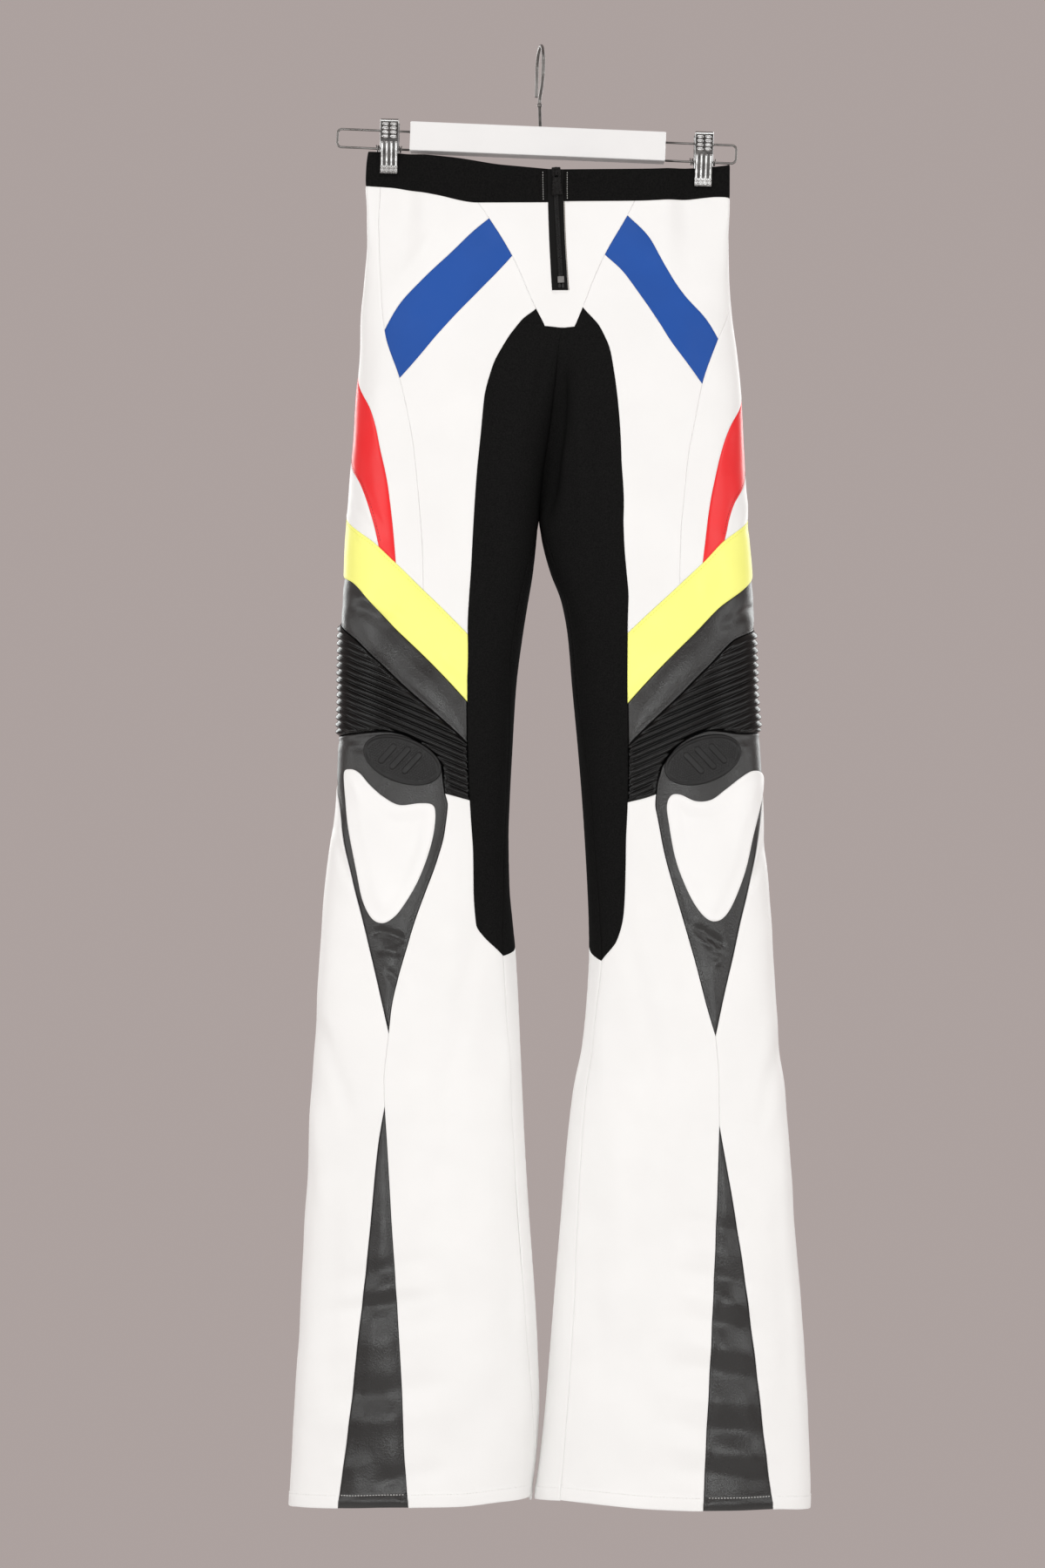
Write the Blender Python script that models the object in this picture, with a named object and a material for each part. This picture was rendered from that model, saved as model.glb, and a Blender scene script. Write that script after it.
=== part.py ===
"""Biker pants hung from a two-clip hanger.

Lengths in the tables are millimetres; the mesh is made in metres, +Z up.
X runs across the pants, the front faces -Y, and the origin is the inside
top of the hanger's hook.

The garment is one hollow skin.  Each half of it is a tube read by two
numbers: s goes round it (0 = outer side, +1 = centre front or inseam coming
over the front, -1 = the same line coming over the back) and z is height.
SECTIONS gives the tube's outline row by row, the seam tables lay the cutting
lines on it, and every cut piece is the wall between its own seams.
"""

import math

import bmesh
import bpy
import numpy as np
from mathutils import Matrix, Vector
from mathutils.geometry import delaunay_2d_cdt

for old in list(bpy.data.objects):
    bpy.data.objects.remove(old, do_unlink=True)

# ------------------------------------------------------------ sizes (mm)
SEAM_GAP = 0.3        # between two pieces at a seam
CLOTH = 1.5           # wall of the faux leather and of the stretch cloth
BAND = 1.7            # wall of the doubled waistband
FLATNESS = 0.25       # squares the sections a little: 0 is an ellipse
SIDE_SEAM = -0.15     # where the coloured panels end, just behind the side
ROW = 26.0            # spacing of points along a seam
CELL_U, CELL_Z = 24.0, 50.0   # spacing of points inside a piece
FOLD_U = (0.0, 9.0)           # and the columns of points at the outer fold
CLIP_X = (-135.5, 145.5)      # where the clips press front and back together
CLIP_FLAT, CLIP_FADE = 11.5, 24.0
PRESSED = 2.5         # half thickness of the pressed waistband
CROTCH_Z = -424.7
BACK_GUSSET_TOP = -385.0
# the crest of the right leg's slanting inner wall: height and place
CREST_Z = (-424.0, -367.0, -312.0, -272.0, -258.0)
CREST_X = (23.5, 22.5, 21.8, 20.5, 17.5)

TILT = math.radians(2.4)      # the hanger hangs a little lower on its right
BAR_LEN, BAR_H, BAR_T = 228.5, 26.0, 17.0
BAR_AT = (-2.8, 0.0, -84.6)
WIRE_R = 1.0
WIRE_UP, WIRE_DOWN = 5.0, -11.2       # the two wires, from the bar's middle
WIRE_END_L, WIRE_END_R = -182.0, 175.0
CLIP_W, CLIP_H = 16.7, 48.0
CLIP_MID_Z = (-89.0, -100.4)          # middle height of each clip
HOOK_R, HOOK_WIRE = 20.0, 1.5

# half widths and depths of the sections, one row for each level:
# xo = outer side, xi = centre or inseam side, bf and bb = half depth in
# front and behind, wf and wb = how far the front and back still run straight
# across to the other half (1) or close as a leg of their own (0)
COLUMNS = ("z", "xoL", "xiL", "xiR", "xoR", "bf", "bb", "wf", "wb", "ycL", "ycR")
SECTIONS = (
    (-89.3, -154.4, 13.1, 13.5, 169.1, 11.5, 11.5, 1.0, 1.0, 0.0, 0.0),
    (-106.5, -156.2, 13.2, 13.6, 169.4, 12.6, 13.1, 1.0, 1.0, 0.0, 0.0),
    (-123.6, -156.9, 13.3, 13.7, 169.3, 14.0, 15.0, 1.0, 1.0, 0.0, 0.0),
    (-143.9, -156.1, 13.6, 14.0, 169.1, 17.1, 19.7, 1.0, 1.0, 0.0, 0.0),
    (-171.2, -155.9, 14.4, 14.8, 168.0, 22.1, 27.1, 1.0, 1.0, 0.0, 0.0),
    (-206.3, -158.1, 16.2, 16.6, 168.5, 28.4, 36.1, 1.0, 1.0, 0.0, 0.0),
    (-242.2, -160.8, 18.3, 18.7, 171.7, 34.0, 44.0, 1.0, 1.0, 0.0, 0.0),
    (-250.8, -161.2, 18.5, 18.9, 172.8, 35.2, 45.5, 0.985, 1.0, 0.0, 0.0),
    (-265.6, -161.8, 16.0, 16.4, 174.5, 37.0, 47.8, 0.93, 1.0, 0.0, 0.0),
    (-292.9, -163.4, 13.1, 13.5, 177.2, 39.9, 51.1, 0.75, 1.0, 0.0, 0.0),
    (-321.0, -166.2, 9.8, 10.2, 179.6, 42.1, 53.0, 0.55, 0.98, 0.0, 0.0),
    (-349.1, -168.0, 6.3, 6.7, 181.5, 43.6, 53.0, 0.36, 0.832, 0.0, 0.0),
    (-383.4, -170.7, 1.4, 1.8, 183.2, 44.5, 51.1, 0.15, 0.45, 0.0, 0.0),
    (-413.0, -173.3, -1.5, -0.8, 184.6, 45.0, 48.0, 0.03, 0.08, 0.0, 0.0),
    (-424.7, -174.2, -2.5, -1.1, 185.3, 45.0, 47.0, 0.0, 0.0, 0.0, 0.0),
    (-435.6, -175.0, -3.4, 0.0, 186.4, 45.0, 46.4, 0.0, 0.0, 0.0, 0.0),
    (-449.7, -175.8, -4.7, 2.8, 187.8, 45.0, 45.8, 0.0, 0.0, 0.0, 0.0),
    (-471.5, -176.6, -7.2, 9.1, 189.6, 45.0, 45.0, 0.0, 0.0, 0.0, 0.0),
    (-494.9, -177.2, -11.1, 18.1, 190.7, 44.7, 44.3, 0.0, 0.0, 0.0, 0.0),
    (-525.3, -181.0, -16.0, 23.9, 191.9, 43.7, 43.6, 0.0, 0.0, 0.0, 0.0),
    (-572.9, -181.5, -22.0, 28.0, 193.9, 42.1, 42.1, 0.0, 0.0, 0.0, 0.0),
    (-630.6, -181.8, -25.5, 33.4, 196.7, 40.0, 40.0, 0.0, 0.0, 0.0, 0.0),
    (-672.8, -183.6, -27.7, 36.8, 199.0, 38.8, 38.8, 0.0, 0.0, 0.0, 0.0),
    (-705.5, -187.4, -28.8, 39.0, 200.4, 38.0, 38.0, 0.0, 0.0, 0.0, 0.0),
    (-751.5, -193.6, -27.9, 41.6, 203.9, 36.9, 36.9, 0.0, 0.0, 0.0, 0.0),
    (-783.5, -196.4, -25.0, 42.8, 206.5, 36.2, 36.2, 0.0, 0.0, 0.0, 0.0),
    (-806.9, -198.0, -22.7, 43.1, 208.0, 36.0, 36.0, 0.0, 0.0, 0.0, 0.0),
    (-853.7, -200.5, -20.0, 40.8, 210.8, 36.2, 36.2, 0.0, 0.0, 0.0, 0.0),
    (-892.7, -202.3, -18.3, 36.9, 213.7, 36.7, 36.7, 0.0, 0.0, 0.1, -0.1),
    (-931.7, -204.5, -16.6, 29.0, 218.3, 37.3, 37.3, 0.0, 0.0, 0.2, -0.2),
    (-982.4, -207.5, -14.2, 23.1, 221.7, 38.0, 38.0, 0.0, 0.0, 0.4, -0.4),
    (-1048.7, -211.4, -10.1, 17.6, 226.8, 38.9, 38.9, 0.0, 0.0, 0.7, -0.7),
    (-1109.6, -214.6, -5.7, 12.4, 231.9, 39.7, 39.7, 0.0, 0.0, 1.0, -1.0),
    (-1160.2, -217.3, -2.9, 8.4, 235.8, 40.3, 40.3, 0.0, 0.0, 1.3, -1.3),
    (-1211.0, -220.5, -1.3, 4.2, 238.5, 40.9, 40.9, 0.0, 0.0, 1.5, -1.5),
    (-1259.3, -223.5, -3.8, -1.0, 240.3, 41.4, 41.4, 0.0, 0.0, 1.8, -1.8),
    (-1290.5, -225.0, -7.6, -5.1, 241.6, 41.7, 41.7, 0.0, 0.0, 1.9, -1.9),
    (-1313.9, -225.6, -9.5, -6.5, 241.4, 42.0, 42.0, 0.0, 0.0, 2.0, -2.0),
)

# seams that run up and down: rows of (z, s)
UPRIGHT = {
    "L": {
        "fly": ((-141.1, 0.558), (-155.5, 0.595), (-190.1, 0.676), (-238.3, 0.769), (-254.0, 0.813)),
        "side": ((-124.2, 0.182), (-160.3, 0.163), (-229.4, 0.206), (-255.6, 0.229), (-299.3, 0.309),
                 (-328.8, 0.351), (-370.9, 0.394), (-412.6, 0.425), (-453.3, 0.448), (-488.1, 0.460)),
        "inner": ((-238.3, 0.769), (-248.5, 0.706), (-269.6, 0.652), (-291.0, 0.617), (-319.7, 0.602),
                  (-384.9, 0.606), (-439.4, 0.611), (-494.5, 0.620), (-548.9, 0.646), (-631.0, 0.667),
                  (-673.2, 0.685), (-721.9, 0.709), (-760.4, 0.712), (-783.6, 0.716), (-793.7, 0.744),
                  (-811.5, 0.838)),
        "red_in": ((-265.6, -0.150), (-292.1, 0.000), (-327.3, 0.194), (-364.6, 0.259), (-398.3, 0.308),
                   (-433.8, 0.339), (-464.1, 0.358)),
        "red_out": ((-338.9, -0.150), (-367.8, 0.000), (-393.8, 0.165), (-417.0, 0.233), (-444.6, 0.280),
                    (-452.8, 0.290)),
        "inseam": ((-424.7, 1.000), (-433.3, 0.965), (-457.3, 0.900), (-491.4, 0.865), (-527.0, 0.856),
                   (-574.2, 0.879), (-658.7, 0.912), (-736.3, 0.900), (-811.5, 0.838), (-929.6, 0.852),
                   (-1055.9, 0.862), (-1131.0, 0.866), (-1207.7, 0.892), (-1267.1, 0.955), (-1313.9, 0.970)),
        "knee_in": ((-642.6, 0.567), (-667.2, 0.586), (-677.9, 0.598), (-701.0, 0.593), (-724.8, 0.572),
                    (-752.5, 0.536), (-781.0, 0.496), (-806.4, 0.467), (-834.1, 0.439), (-857.2, 0.422),
                    (-879.5, 0.414)),
        "knee_out": ((-653.2, -0.150), (-661.5, 0.000), (-686.9, 0.124), (-713.0, 0.184), (-740.5, 0.250),
                     (-775.8, 0.308), (-811.5, 0.350), (-848.0, 0.386), (-879.5, 0.414)),
        "tip": ((-879.5, 0.414), (-920.2, 0.402), (-942.9, 0.406)),
        "gusset_out": ((-942.9, 0.406), (-977.9, 0.388), (-1053.3, 0.368), (-1170.6, 0.333),
                       (-1245.7, 0.316), (-1298.2, 0.303)),
        "gusset_in": ((-942.9, 0.406), (-977.8, 0.416), (-1053.0, 0.434), (-1170.0, 0.459),
                      (-1244.8, 0.476), (-1297.0, 0.499)),
        "zip": ((-95.0, 0.866), (-141.1, 0.868), (-221.7, 0.868)),
    },
    "R": {
        "fly": ((-139.4, 0.533), (-152.8, 0.560), (-189.0, 0.653), (-237.0, 0.774), (-254.6, 0.829)),
        "side": ((-134.6, -0.060), (-182.9, -0.030), (-221.9, 0.000), (-238.9, 0.097), (-263.2, 0.209),
                 (-304.2, 0.303), (-328.7, 0.330), (-370.8, 0.365), (-412.5, 0.382), (-453.2, 0.406),
                 (-480.8, 0.425)),
        "inner": ((-237.0, 0.774), (-254.0, 0.694), (-273.3, 0.644), (-290.9, 0.626), (-324.0, 0.602),
                  (-371.1, 0.580), (-412.3, 0.566), (-467.0, 0.584), (-521.4, 0.621), (-603.4, 0.647),
                  (-674.9, 0.671), (-704.9, 0.686), (-735.7, 0.698), (-774.3, 0.716), (-797.6, 0.751),
                  (-815.8, 0.840)),
        "red_in": ((-284.3, -0.150), (-310.5, 0.000), (-341.1, 0.177), (-366.7, 0.235), (-398.0, 0.274),
                   (-431.4, 0.305), (-464.1, 0.337)),
        "red_out": ((-353.0, -0.150), (-381.5, 0.000), (-410.6, 0.168), (-436.2, 0.223), (-447.7, 0.244),
                    (-452.6, 0.250)),
        "inseam": ((-424.7, 1.000), (-441.6, 0.918), (-469.0, 0.892), (-499.1, 0.900), (-536.1, 0.915),
                   (-575.7, 0.910), (-615.3, 0.883), (-658.7, 0.864), (-736.1, 0.855), (-815.8, 0.840),
                   (-875.6, 0.860), (-937.2, 0.844), (-1055.2, 0.830), (-1129.6, 0.817), (-1205.1, 0.816),
                   (-1255.0, 0.812), (-1306.3, 0.803)),
        "knee_in": ((-642.6, 0.534), (-659.0, 0.558), (-667.9, 0.564), (-678.4, 0.569), (-687.2, 0.564),
                    (-720.7, 0.546), (-762.1, 0.511), (-796.4, 0.479), (-823.9, 0.452), (-858.3, 0.419),
                    (-881.8, 0.393)),
        "knee_out": ((-653.2, -0.150), (-662.6, 0.000), (-703.5, 0.117), (-736.0, 0.191), (-759.5, 0.239),
                     (-781.0, 0.278), (-812.4, 0.320), (-845.7, 0.359), (-881.8, 0.393)),
        "tip": ((-881.8, 0.393), (-920.2, 0.384), (-959.2, 0.384)),
        "gusset_out": ((-959.2, 0.384), (-1023.2, 0.350), (-1085.5, 0.324), (-1160.5, 0.301),
                       (-1227.8, 0.280), (-1298.1, 0.251)),
        "gusset_in": ((-959.2, 0.384), (-1003.1, 0.391), (-1077.4, 0.406), (-1164.6, 0.423),
                      (-1226.5, 0.432), (-1299.2, 0.436)),
        "zip": ((-95.0, 0.866), (-141.1, 0.870), (-221.7, 0.868)),
    },
}
# the back edge of the inner panel: rows of (z, e), where e runs on past 1
# from the inseam over the back (e - 2 is the same line counted as s)
BACK_INNER = ((-385.0, 1.000), (-405.0, 1.075), (-440.0, 1.150), (-500.0, 1.215), (-600.0, 1.262),
              (-700.0, 1.275), (-765.0, 1.255), (-795.0, 1.140), (-806.0, 1.000))

# seams that run across: rows of (s, z)
ACROSS = {
    "L": {
        "wb_top": ((0.030, -92.6), (0.224, -93.6), (0.312, -95.4), (0.469, -99.5), (0.652, -106.8), (0.923, -110.8), (1.000, -111.0)),
        "wb_bot": ((0.019, -123.5), (0.243, -125.4), (0.412, -133.3), (0.558, -141.1), (0.866, -141.0), (1.000, -140.5)),
        "blue_top": ((0.229, -255.5), (0.254, -245.3), (0.293, -231.4), (0.355, -214.8), (0.451, -190.4),
                     (0.547, -165.5), (0.595, -155.5)),
        "blue_low": ((0.309, -299.3), (0.370, -281.5), (0.456, -252.1), (0.547, -224.9), (0.676, -190.1)),
        "yellow_top": ((-0.150, -409.1), (0.000, -419.2), (0.246, -442.9), (0.358, -464.1), (0.460, -487.8),
                       (0.637, -527.1)),
        "yellow_low": ((-0.150, -463.7), (0.000, -473.1), (0.140, -479.4), (0.298, -505.0), (0.434, -533.7),
                       (0.659, -586.8)),
        "band_low": ((-0.150, -509.0), (0.000, -515.2), (0.182, -528.7), (0.319, -551.1), (0.429, -574.3),
                     (0.531, -595.5), (0.665, -623.3)),
        "rib_low": ((-0.150, -616.6), (0.000, -616.2), (0.185, -614.2), (0.351, -612.2), (0.421, -614.9),
                    (0.476, -621.5), (0.515, -628.9), (0.567, -642.6)),
        "rib_foot": ((0.586, -667.2), (0.646, -670.9), (0.685, -673.2)),
        "hem": ((-1.200, -1296.0), (-0.600, -1304.0), (0.000, -1304.0), (0.149, -1301.0), (0.499, -1297.0),
                (0.629, -1296.7), (0.774, -1294.4), (1.000, -1294.4)),
    },
    "R": {
        "wb_top": ((0.022, -104.4), (0.309, -107.8), (0.481, -109.9), (0.708, -110.6), (1.000, -111.0)),
        "wb_bot": ((0.000, -134.6), (0.173, -133.6), (0.372, -137.2), (0.533, -139.4), (0.857, -140.1), (1.000, -140.5)),
        "blue_top": ((0.209, -263.1), (0.267, -245.8), (0.348, -226.6), (0.421, -199.5), (0.482, -172.0),
                     (0.560, -152.8)),
        "blue_low": ((0.303, -304.5), (0.418, -267.5), (0.516, -228.8), (0.585, -204.0), (0.653, -189.0)),
        "yellow_top": ((-0.150, -410.7), (0.000, -420.5), (0.235, -443.2), (0.337, -464.1), (0.485, -495.7),
                       (0.623, -525.8)),
        "yellow_low": ((-0.150, -465.3), (0.000, -473.5), (0.269, -499.6), (0.410, -529.8), (0.639, -586.8)),
        "band_low": ((-0.150, -515.2), (0.000, -521.0), (0.207, -530.0), (0.357, -557.3), (0.462, -582.0),
                     (0.563, -605.0), (0.652, -624.9)),
        "rib_low": ((-0.150, -613.5), (0.000, -612.7), (0.217, -613.7), (0.349, -611.4), (0.417, -615.7),
                    (0.486, -627.2), (0.534, -642.6)),
        "rib_foot": ((0.564, -667.9), (0.606, -671.3), (0.671, -674.9)),
        "hem": ((-1.200, -1293.0), (-0.600, -1305.0), (0.000, -1305.5), (0.132, -1302.6), (0.251, -1299.5),
                (0.435, -1299.2), (0.558, -1297.6), (0.660, -1294.8), (0.804, -1292.6), (1.000, -1294.0)),
    },
}

# outline of the padded knee shield: rows of (s, z), walked round
SHIELD = {
    "L": ((0.150, -650.5), (0.191, -645.6), (0.245, -649.0), (0.297, -659.2), (0.360, -670.2),
          (0.422, -677.2), (0.495, -675.6), (0.540, -677.0), (0.554, -685.0), (0.552, -703.0),
          (0.533, -724.8), (0.501, -747.5), (0.457, -767.2), (0.425, -776.9), (0.389, -781.6),
          (0.350, -777.4), (0.312, -762.0), (0.275, -735.8), (0.224, -707.3), (0.178, -679.0)),
    "R": ((0.050, -652.0), (0.110, -647.6), (0.175, -647.6), (0.239, -653.3), (0.310, -663.5),
          (0.370, -672.6), (0.427, -673.8), (0.480, -668.0), (0.512, -669.0), (0.528, -677.9),
          (0.525, -693.0), (0.509, -724.8), (0.480, -749.5), (0.446, -767.9), (0.410, -778.2),
          (0.375, -779.6), (0.340, -774.0), (0.300, -760.5), (0.240, -735.0), (0.180, -704.0),
          (0.120, -680.0), (0.062, -664.0)),
}
SHIELD_RISE, SHIELD_EDGE, OVERLAY_GAP = 5.0, 2.0, 0.3
# the oval rubber patch above it: middle (s, z), half lengths, slant
PATCH = {"L": (0.424, -637.5, 36.0, 20.0, -20.0), "R": (0.391, -637.5, 36.0, 20.0, -20.0)}
PATCH_T, PATCH_GAP = 2.6, 0.9

WHITE, BLUE, RED, YELLOW = (0.90, 0.89, 0.86), (0.024, 0.073, 0.35), (0.75, 0.012, 0.016), (0.95, 0.98, 0.15)
BLACK, LEATHER, RUBBER = (0.006, 0.006, 0.006), (0.022, 0.021, 0.020), (0.027, 0.027, 0.028)
CHROME, LACQUER = (0.75, 0.75, 0.76), (0.86, 0.86, 0.86)


# ------------------------------------------------------------ the skin
def spline(xk, yk, xq):
    """Smooth curve through a short table, with no overshoot between rows."""
    xk, yk = np.asarray(xk, float), np.asarray(yk, float)
    if xk[0] > xk[-1]:
        xk, yk = xk[::-1], yk[::-1]
    h = np.diff(xk)
    d = np.diff(yk) / h
    m = np.zeros_like(yk)
    m[0], m[-1] = d[0], d[-1]
    if len(xk) > 2:
        a, b = d[:-1], d[1:]
        w1, w2 = 2 * h[1:] + h[:-1], h[1:] + 2 * h[:-1]
        with np.errstate(divide="ignore", invalid="ignore"):
            v = (w1 + w2) / (w1 / a + w2 / b)
        m[1:-1] = np.where(a * b > 0, v, 0.0)
    xq = np.asarray(xq, float)
    i = np.clip(np.searchsorted(xk, xq) - 1, 0, len(xk) - 2)
    t = (xq - xk[i]) / h[i]
    c = np.clip(t, 0, 1)
    y = ((2 * c**3 - 3 * c**2 + 1) * yk[i] + (c**3 - 2 * c**2 + c) * h[i] * m[i]
         + (-2 * c**3 + 3 * c**2) * yk[i + 1] + (c**3 - c**2) * h[i] * m[i + 1])
    return y + np.where(t < 0, t * h[i] * m[i], 0) + np.where(t > 1, (t - 1) * h[i] * m[i + 1], 0)


LEVELS = np.arange(-1335.0, -60.0, 1.0)
PROFILE = {name: spline([r[0] for r in SECTIONS], [r[i] for r in SECTIONS], LEVELS)
           for i, name in enumerate(COLUMNS) if i}


def column(name, z):
    return np.interp(z, LEVELS, PROFILE[name])


def skin(side, s, z):
    """Points on the outer face of one half, as an (n, 3) array."""
    s, z = np.broadcast_arrays(np.asarray(s, float), np.asarray(z, float))
    s = np.where(s > 1, s - 2, s)
    s = np.where(s < -1, s + 2, s)
    c, a = np.cos(np.pi * s), np.abs(s)
    q = (1 + c) / 2
    closed = np.sin(np.pi * a) * (1 + FLATNESS * c * c)
    straight = np.sqrt(np.maximum(0, 1 - q * q)) * (1 + FLATNESS * q * q)
    xo, xi = column("xo" + side, z), column("xi" + side, z)
    x = xo + (xi - xo) * (1 - c) / 2
    front = s >= 0
    w = np.where(front, column("wf", z), column("wb", z))
    b = np.where(front, column("bf", z), column("bb", z))
    deep = b * (w * straight + (1 - w) * closed)
    press = np.interp(z, [-240, -215, -175, -145, -126], [0, 0.05, 0.35, 0.8, 1.0])
    near = sum(0.5 + 0.5 * np.cos(np.pi * np.clip((np.abs(x - cx) - CLIP_FLAT) / CLIP_FADE, 0, 1))
               for cx in CLIP_X)
    near = np.clip(near, 0, 1) * press
    deep = deep * (1 - near) + near * PRESSED * np.tanh(a / 0.07)
    if side == "R":
        # in front, this leg falls back in a slanting wall beside the crotch
        crest = np.interp(z, CREST_Z, CREST_X)
        wide = crest - xi
        inner = front & (wide > 0.5) & (x > xi - 1e-9) & (x < crest)
        t = np.clip((x - xi) / np.maximum(wide, 0.5), 0, 1)
        qc = np.clip((crest - xo) / (xi - xo), 0, 1)
        ac = np.arccos(np.clip(1 - 2 * qc, -1, 1)) / np.pi
        cc = np.cos(np.pi * ac)
        q1 = (1 + cc) / 2
        deep_c = b * (w * np.sqrt(np.maximum(0, 1 - q1 * q1)) * (1 + FLATNESS * q1 * q1)
                      + (1 - w) * np.sin(np.pi * ac) * (1 + FLATNESS * cc * cc))
        deep_0 = b * w
        wall = np.interp(z, [CROTCH_Z, CROTCH_Z + 22], [0, 1])
        wall = wall * np.interp(z, [CREST_Z[-1] - 14, CREST_Z[-1]], [1, 0])
        deep = np.where(inner, deep + wall * (deep_0 + (deep_c - deep_0) * (1 - (1 - t) ** 1.6) - deep), deep)
    y = column("yc" + side, z) + np.where(front, -deep, deep)
    return np.stack([x, y, z], -1)


def outward(side, s, z):
    """Unit normals that point out of the garment."""
    s, z = np.broadcast_arrays(np.asarray(s, float), np.asarray(z, float))
    hi, lo = s + 0.012, s - 0.012
    joined = z > CROTCH_Z
    hi = np.where(joined, np.minimum(hi, np.where(s <= 1, 1.0, hi)), hi)
    lo = np.where(joined, np.maximum(lo, np.where(s >= -1, -1.0, lo)), lo)
    du = skin(side, hi, z) - skin(side, lo, z)
    dz = skin(side, s, z + 3) - skin(side, s, z - 3)
    n = np.cross(du, dz) * (1 if side == "L" else -1)
    return n / np.linalg.norm(n, axis=-1, keepdims=True)


# arc length round each half, so that pieces are laid out in real lengths
S_GRID = np.round(np.linspace(-1.35, 1.35, 271), 6)
Z_GRID = np.arange(-1330.0, -70.0, 6.0)


def arc_table(side):
    p = skin(side, S_GRID[None, :], Z_GRID[:, None])
    step = np.linalg.norm(np.diff(p[..., :2], axis=1), axis=-1)
    u = np.concatenate([np.zeros((len(Z_GRID), 1)), np.cumsum(step, 1)], 1)
    return u - u[:, [135]]


ARC = {side: arc_table(side) for side in "LR"}


def lay(side, s, z):
    """(s, z) to real length u round the half, measured from the outer side."""
    s, z = np.asarray(s, float), np.asarray(z, float)
    f = np.clip((z - Z_GRID[0]) / 6.0, 0, len(Z_GRID) - 1.001)
    g = np.clip((s - S_GRID[0]) / 0.01, 0, len(S_GRID) - 1.001)
    i, j = f.astype(int), g.astype(int)
    f, g = f - i, g - j
    t = ARC[side]
    return ((1 - f) * ((1 - g) * t[i, j] + g * t[i, j + 1]) + f * ((1 - g) * t[i + 1, j] + g * t[i + 1, j + 1]))


def unlay(side, u, z):
    """The way back: real length to s."""
    u, z = np.asarray(u, float), np.asarray(z, float)
    out = np.empty(u.shape)
    for k in range(len(u)):
        f = min(max((z[k] - Z_GRID[0]) / 6.0, 0), len(Z_GRID) - 1.001)
        i = int(f)
        f -= i
        out[k] = np.interp(u[k], (1 - f) * ARC[side][i] + f * ARC[side][i + 1], S_GRID)
    return out


class Half:
    """Lay-out of a piece that stays on one half."""

    def __init__(self, side):
        self.side, self.sign = side, (1 if side == "L" else -1)

    def flat(self, pts):
        return np.stack([lay(self.side, pts[:, 0], pts[:, 1]), pts[:, 1]], -1)

    def solid(self, flat):
        s = unlay(self.side, flat[:, 0], flat[:, 1])
        return skin(self.side, s, flat[:, 1]), outward(self.side, s, flat[:, 1])


class Across:
    """Lay-out of a piece that spans both halves, in front or behind."""

    def __init__(self, front):
        self.front, self.sign = front, (1 if front else -1)

    def flat(self, pts):
        return pts

    def solid(self, flat):
        x, z = flat[:, 0], flat[:, 1]
        pos, nor = np.empty((len(x), 3)), np.empty((len(x), 3))
        for side in "LR":
            xo, xi = column("xo" + side, z), column("xi" + side, z)
            mine = x <= xi + 0.2 if side == "L" else x > xi - 0.2
            s = np.arccos(np.clip(1 - 2 * (x - xo) / (xi - xo), -1, 1)) / np.pi
            s = s if self.front else -s
            p, n = skin(side, s, z), outward(side, s, z)
            p[:, 0] = x
            pos[mine], nor[mine] = p[mine], n[mine]
        return pos, nor


# ------------------------------------------------------------ seams
def up(side, name, z):
    rows = BACK_INNER if name == "back_inner" else UPRIGHT[side][name]
    return spline([r[0] for r in rows], [r[1] for r in rows], z)


def over(side, name, s):
    rows = ACROSS[side][name]
    if name.startswith("wb"):
        s = np.abs(s)
    return spline([r[0] for r in rows], [r[1] for r in rows], s)


def meet(side, upright, across, z=-400.0):
    """Where an upright seam crosses one that runs across: (s, z)."""
    for _ in range(60):
        z = 0.5 * z + 0.5 * float(over(side, across, float(up(side, upright, z))))
    return float(up(side, upright, z)), z


def folds(side, z):
    """Where the skin turns from front to back at this level, as u."""
    at = [0.0]
    if z < CROTCH_Z - 25:
        at += [float(lay(side, 1.0, z)), float(lay(side, -1.0, z))]
    return at


def spaced(side, pts, step=ROW):
    """Points at even real distances along a dense run, the last left out.
    A run that goes round a fold also has points on the fold."""
    flat = np.stack([lay(side, pts[:, 0], pts[:, 1]), pts[:, 1]], -1)
    d = np.concatenate([[0], np.cumsum(np.linalg.norm(np.diff(flat, axis=0), axis=1))])
    stops, near = [0.0, d[-1]], np.full(len(d), 1e9)
    turns = [folds(side, z) for z in flat[:, 1]]
    for k in range(min(len(a) for a in turns)):
        u = flat[:, 0] - np.array([a[k] for a in turns])
        near = np.minimum(near, np.abs(u))
        for mark in {m * v for m in (-1, 1) for v in FOLD_U}:
            for i in np.nonzero((u[:-1] - mark) * (u[1:] - mark) < 0)[0]:
                stops.append(d[i] + (mark - u[i]) / (u[i + 1] - u[i]) * (d[i + 1] - d[i]))
    stops = sorted(stops)
    stops = [stops[0]] + [a for a in stops[1:-1] if 3 < a < d[-1] - 3] + [stops[-1]]
    out = []
    for a, b in zip(stops, stops[1:]):
        close = float(np.interp((a + b) / 2, d, near)) < 14
        n = max(1, int(round((b - a) / (step * (0.5 if close else 1.0)))))
        out += [(float(np.interp(q, d, pts[:, 0])), float(np.interp(q, d, pts[:, 1])))
                for q in np.linspace(a, b, n + 1)[:-1]]
    return out


def run_up(side, name, *levels, shift=0.0, step=ROW):
    """Along an upright seam, from each level to the next."""
    out = []
    if name == "back_inner":
        step = 0.6 * step
    for z0, z1 in zip(levels, levels[1:]):
        z = np.linspace(z0, z1, 81)
        out += spaced(side, np.stack([up(side, name, z) + shift, z], -1), step)
    return out


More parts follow.
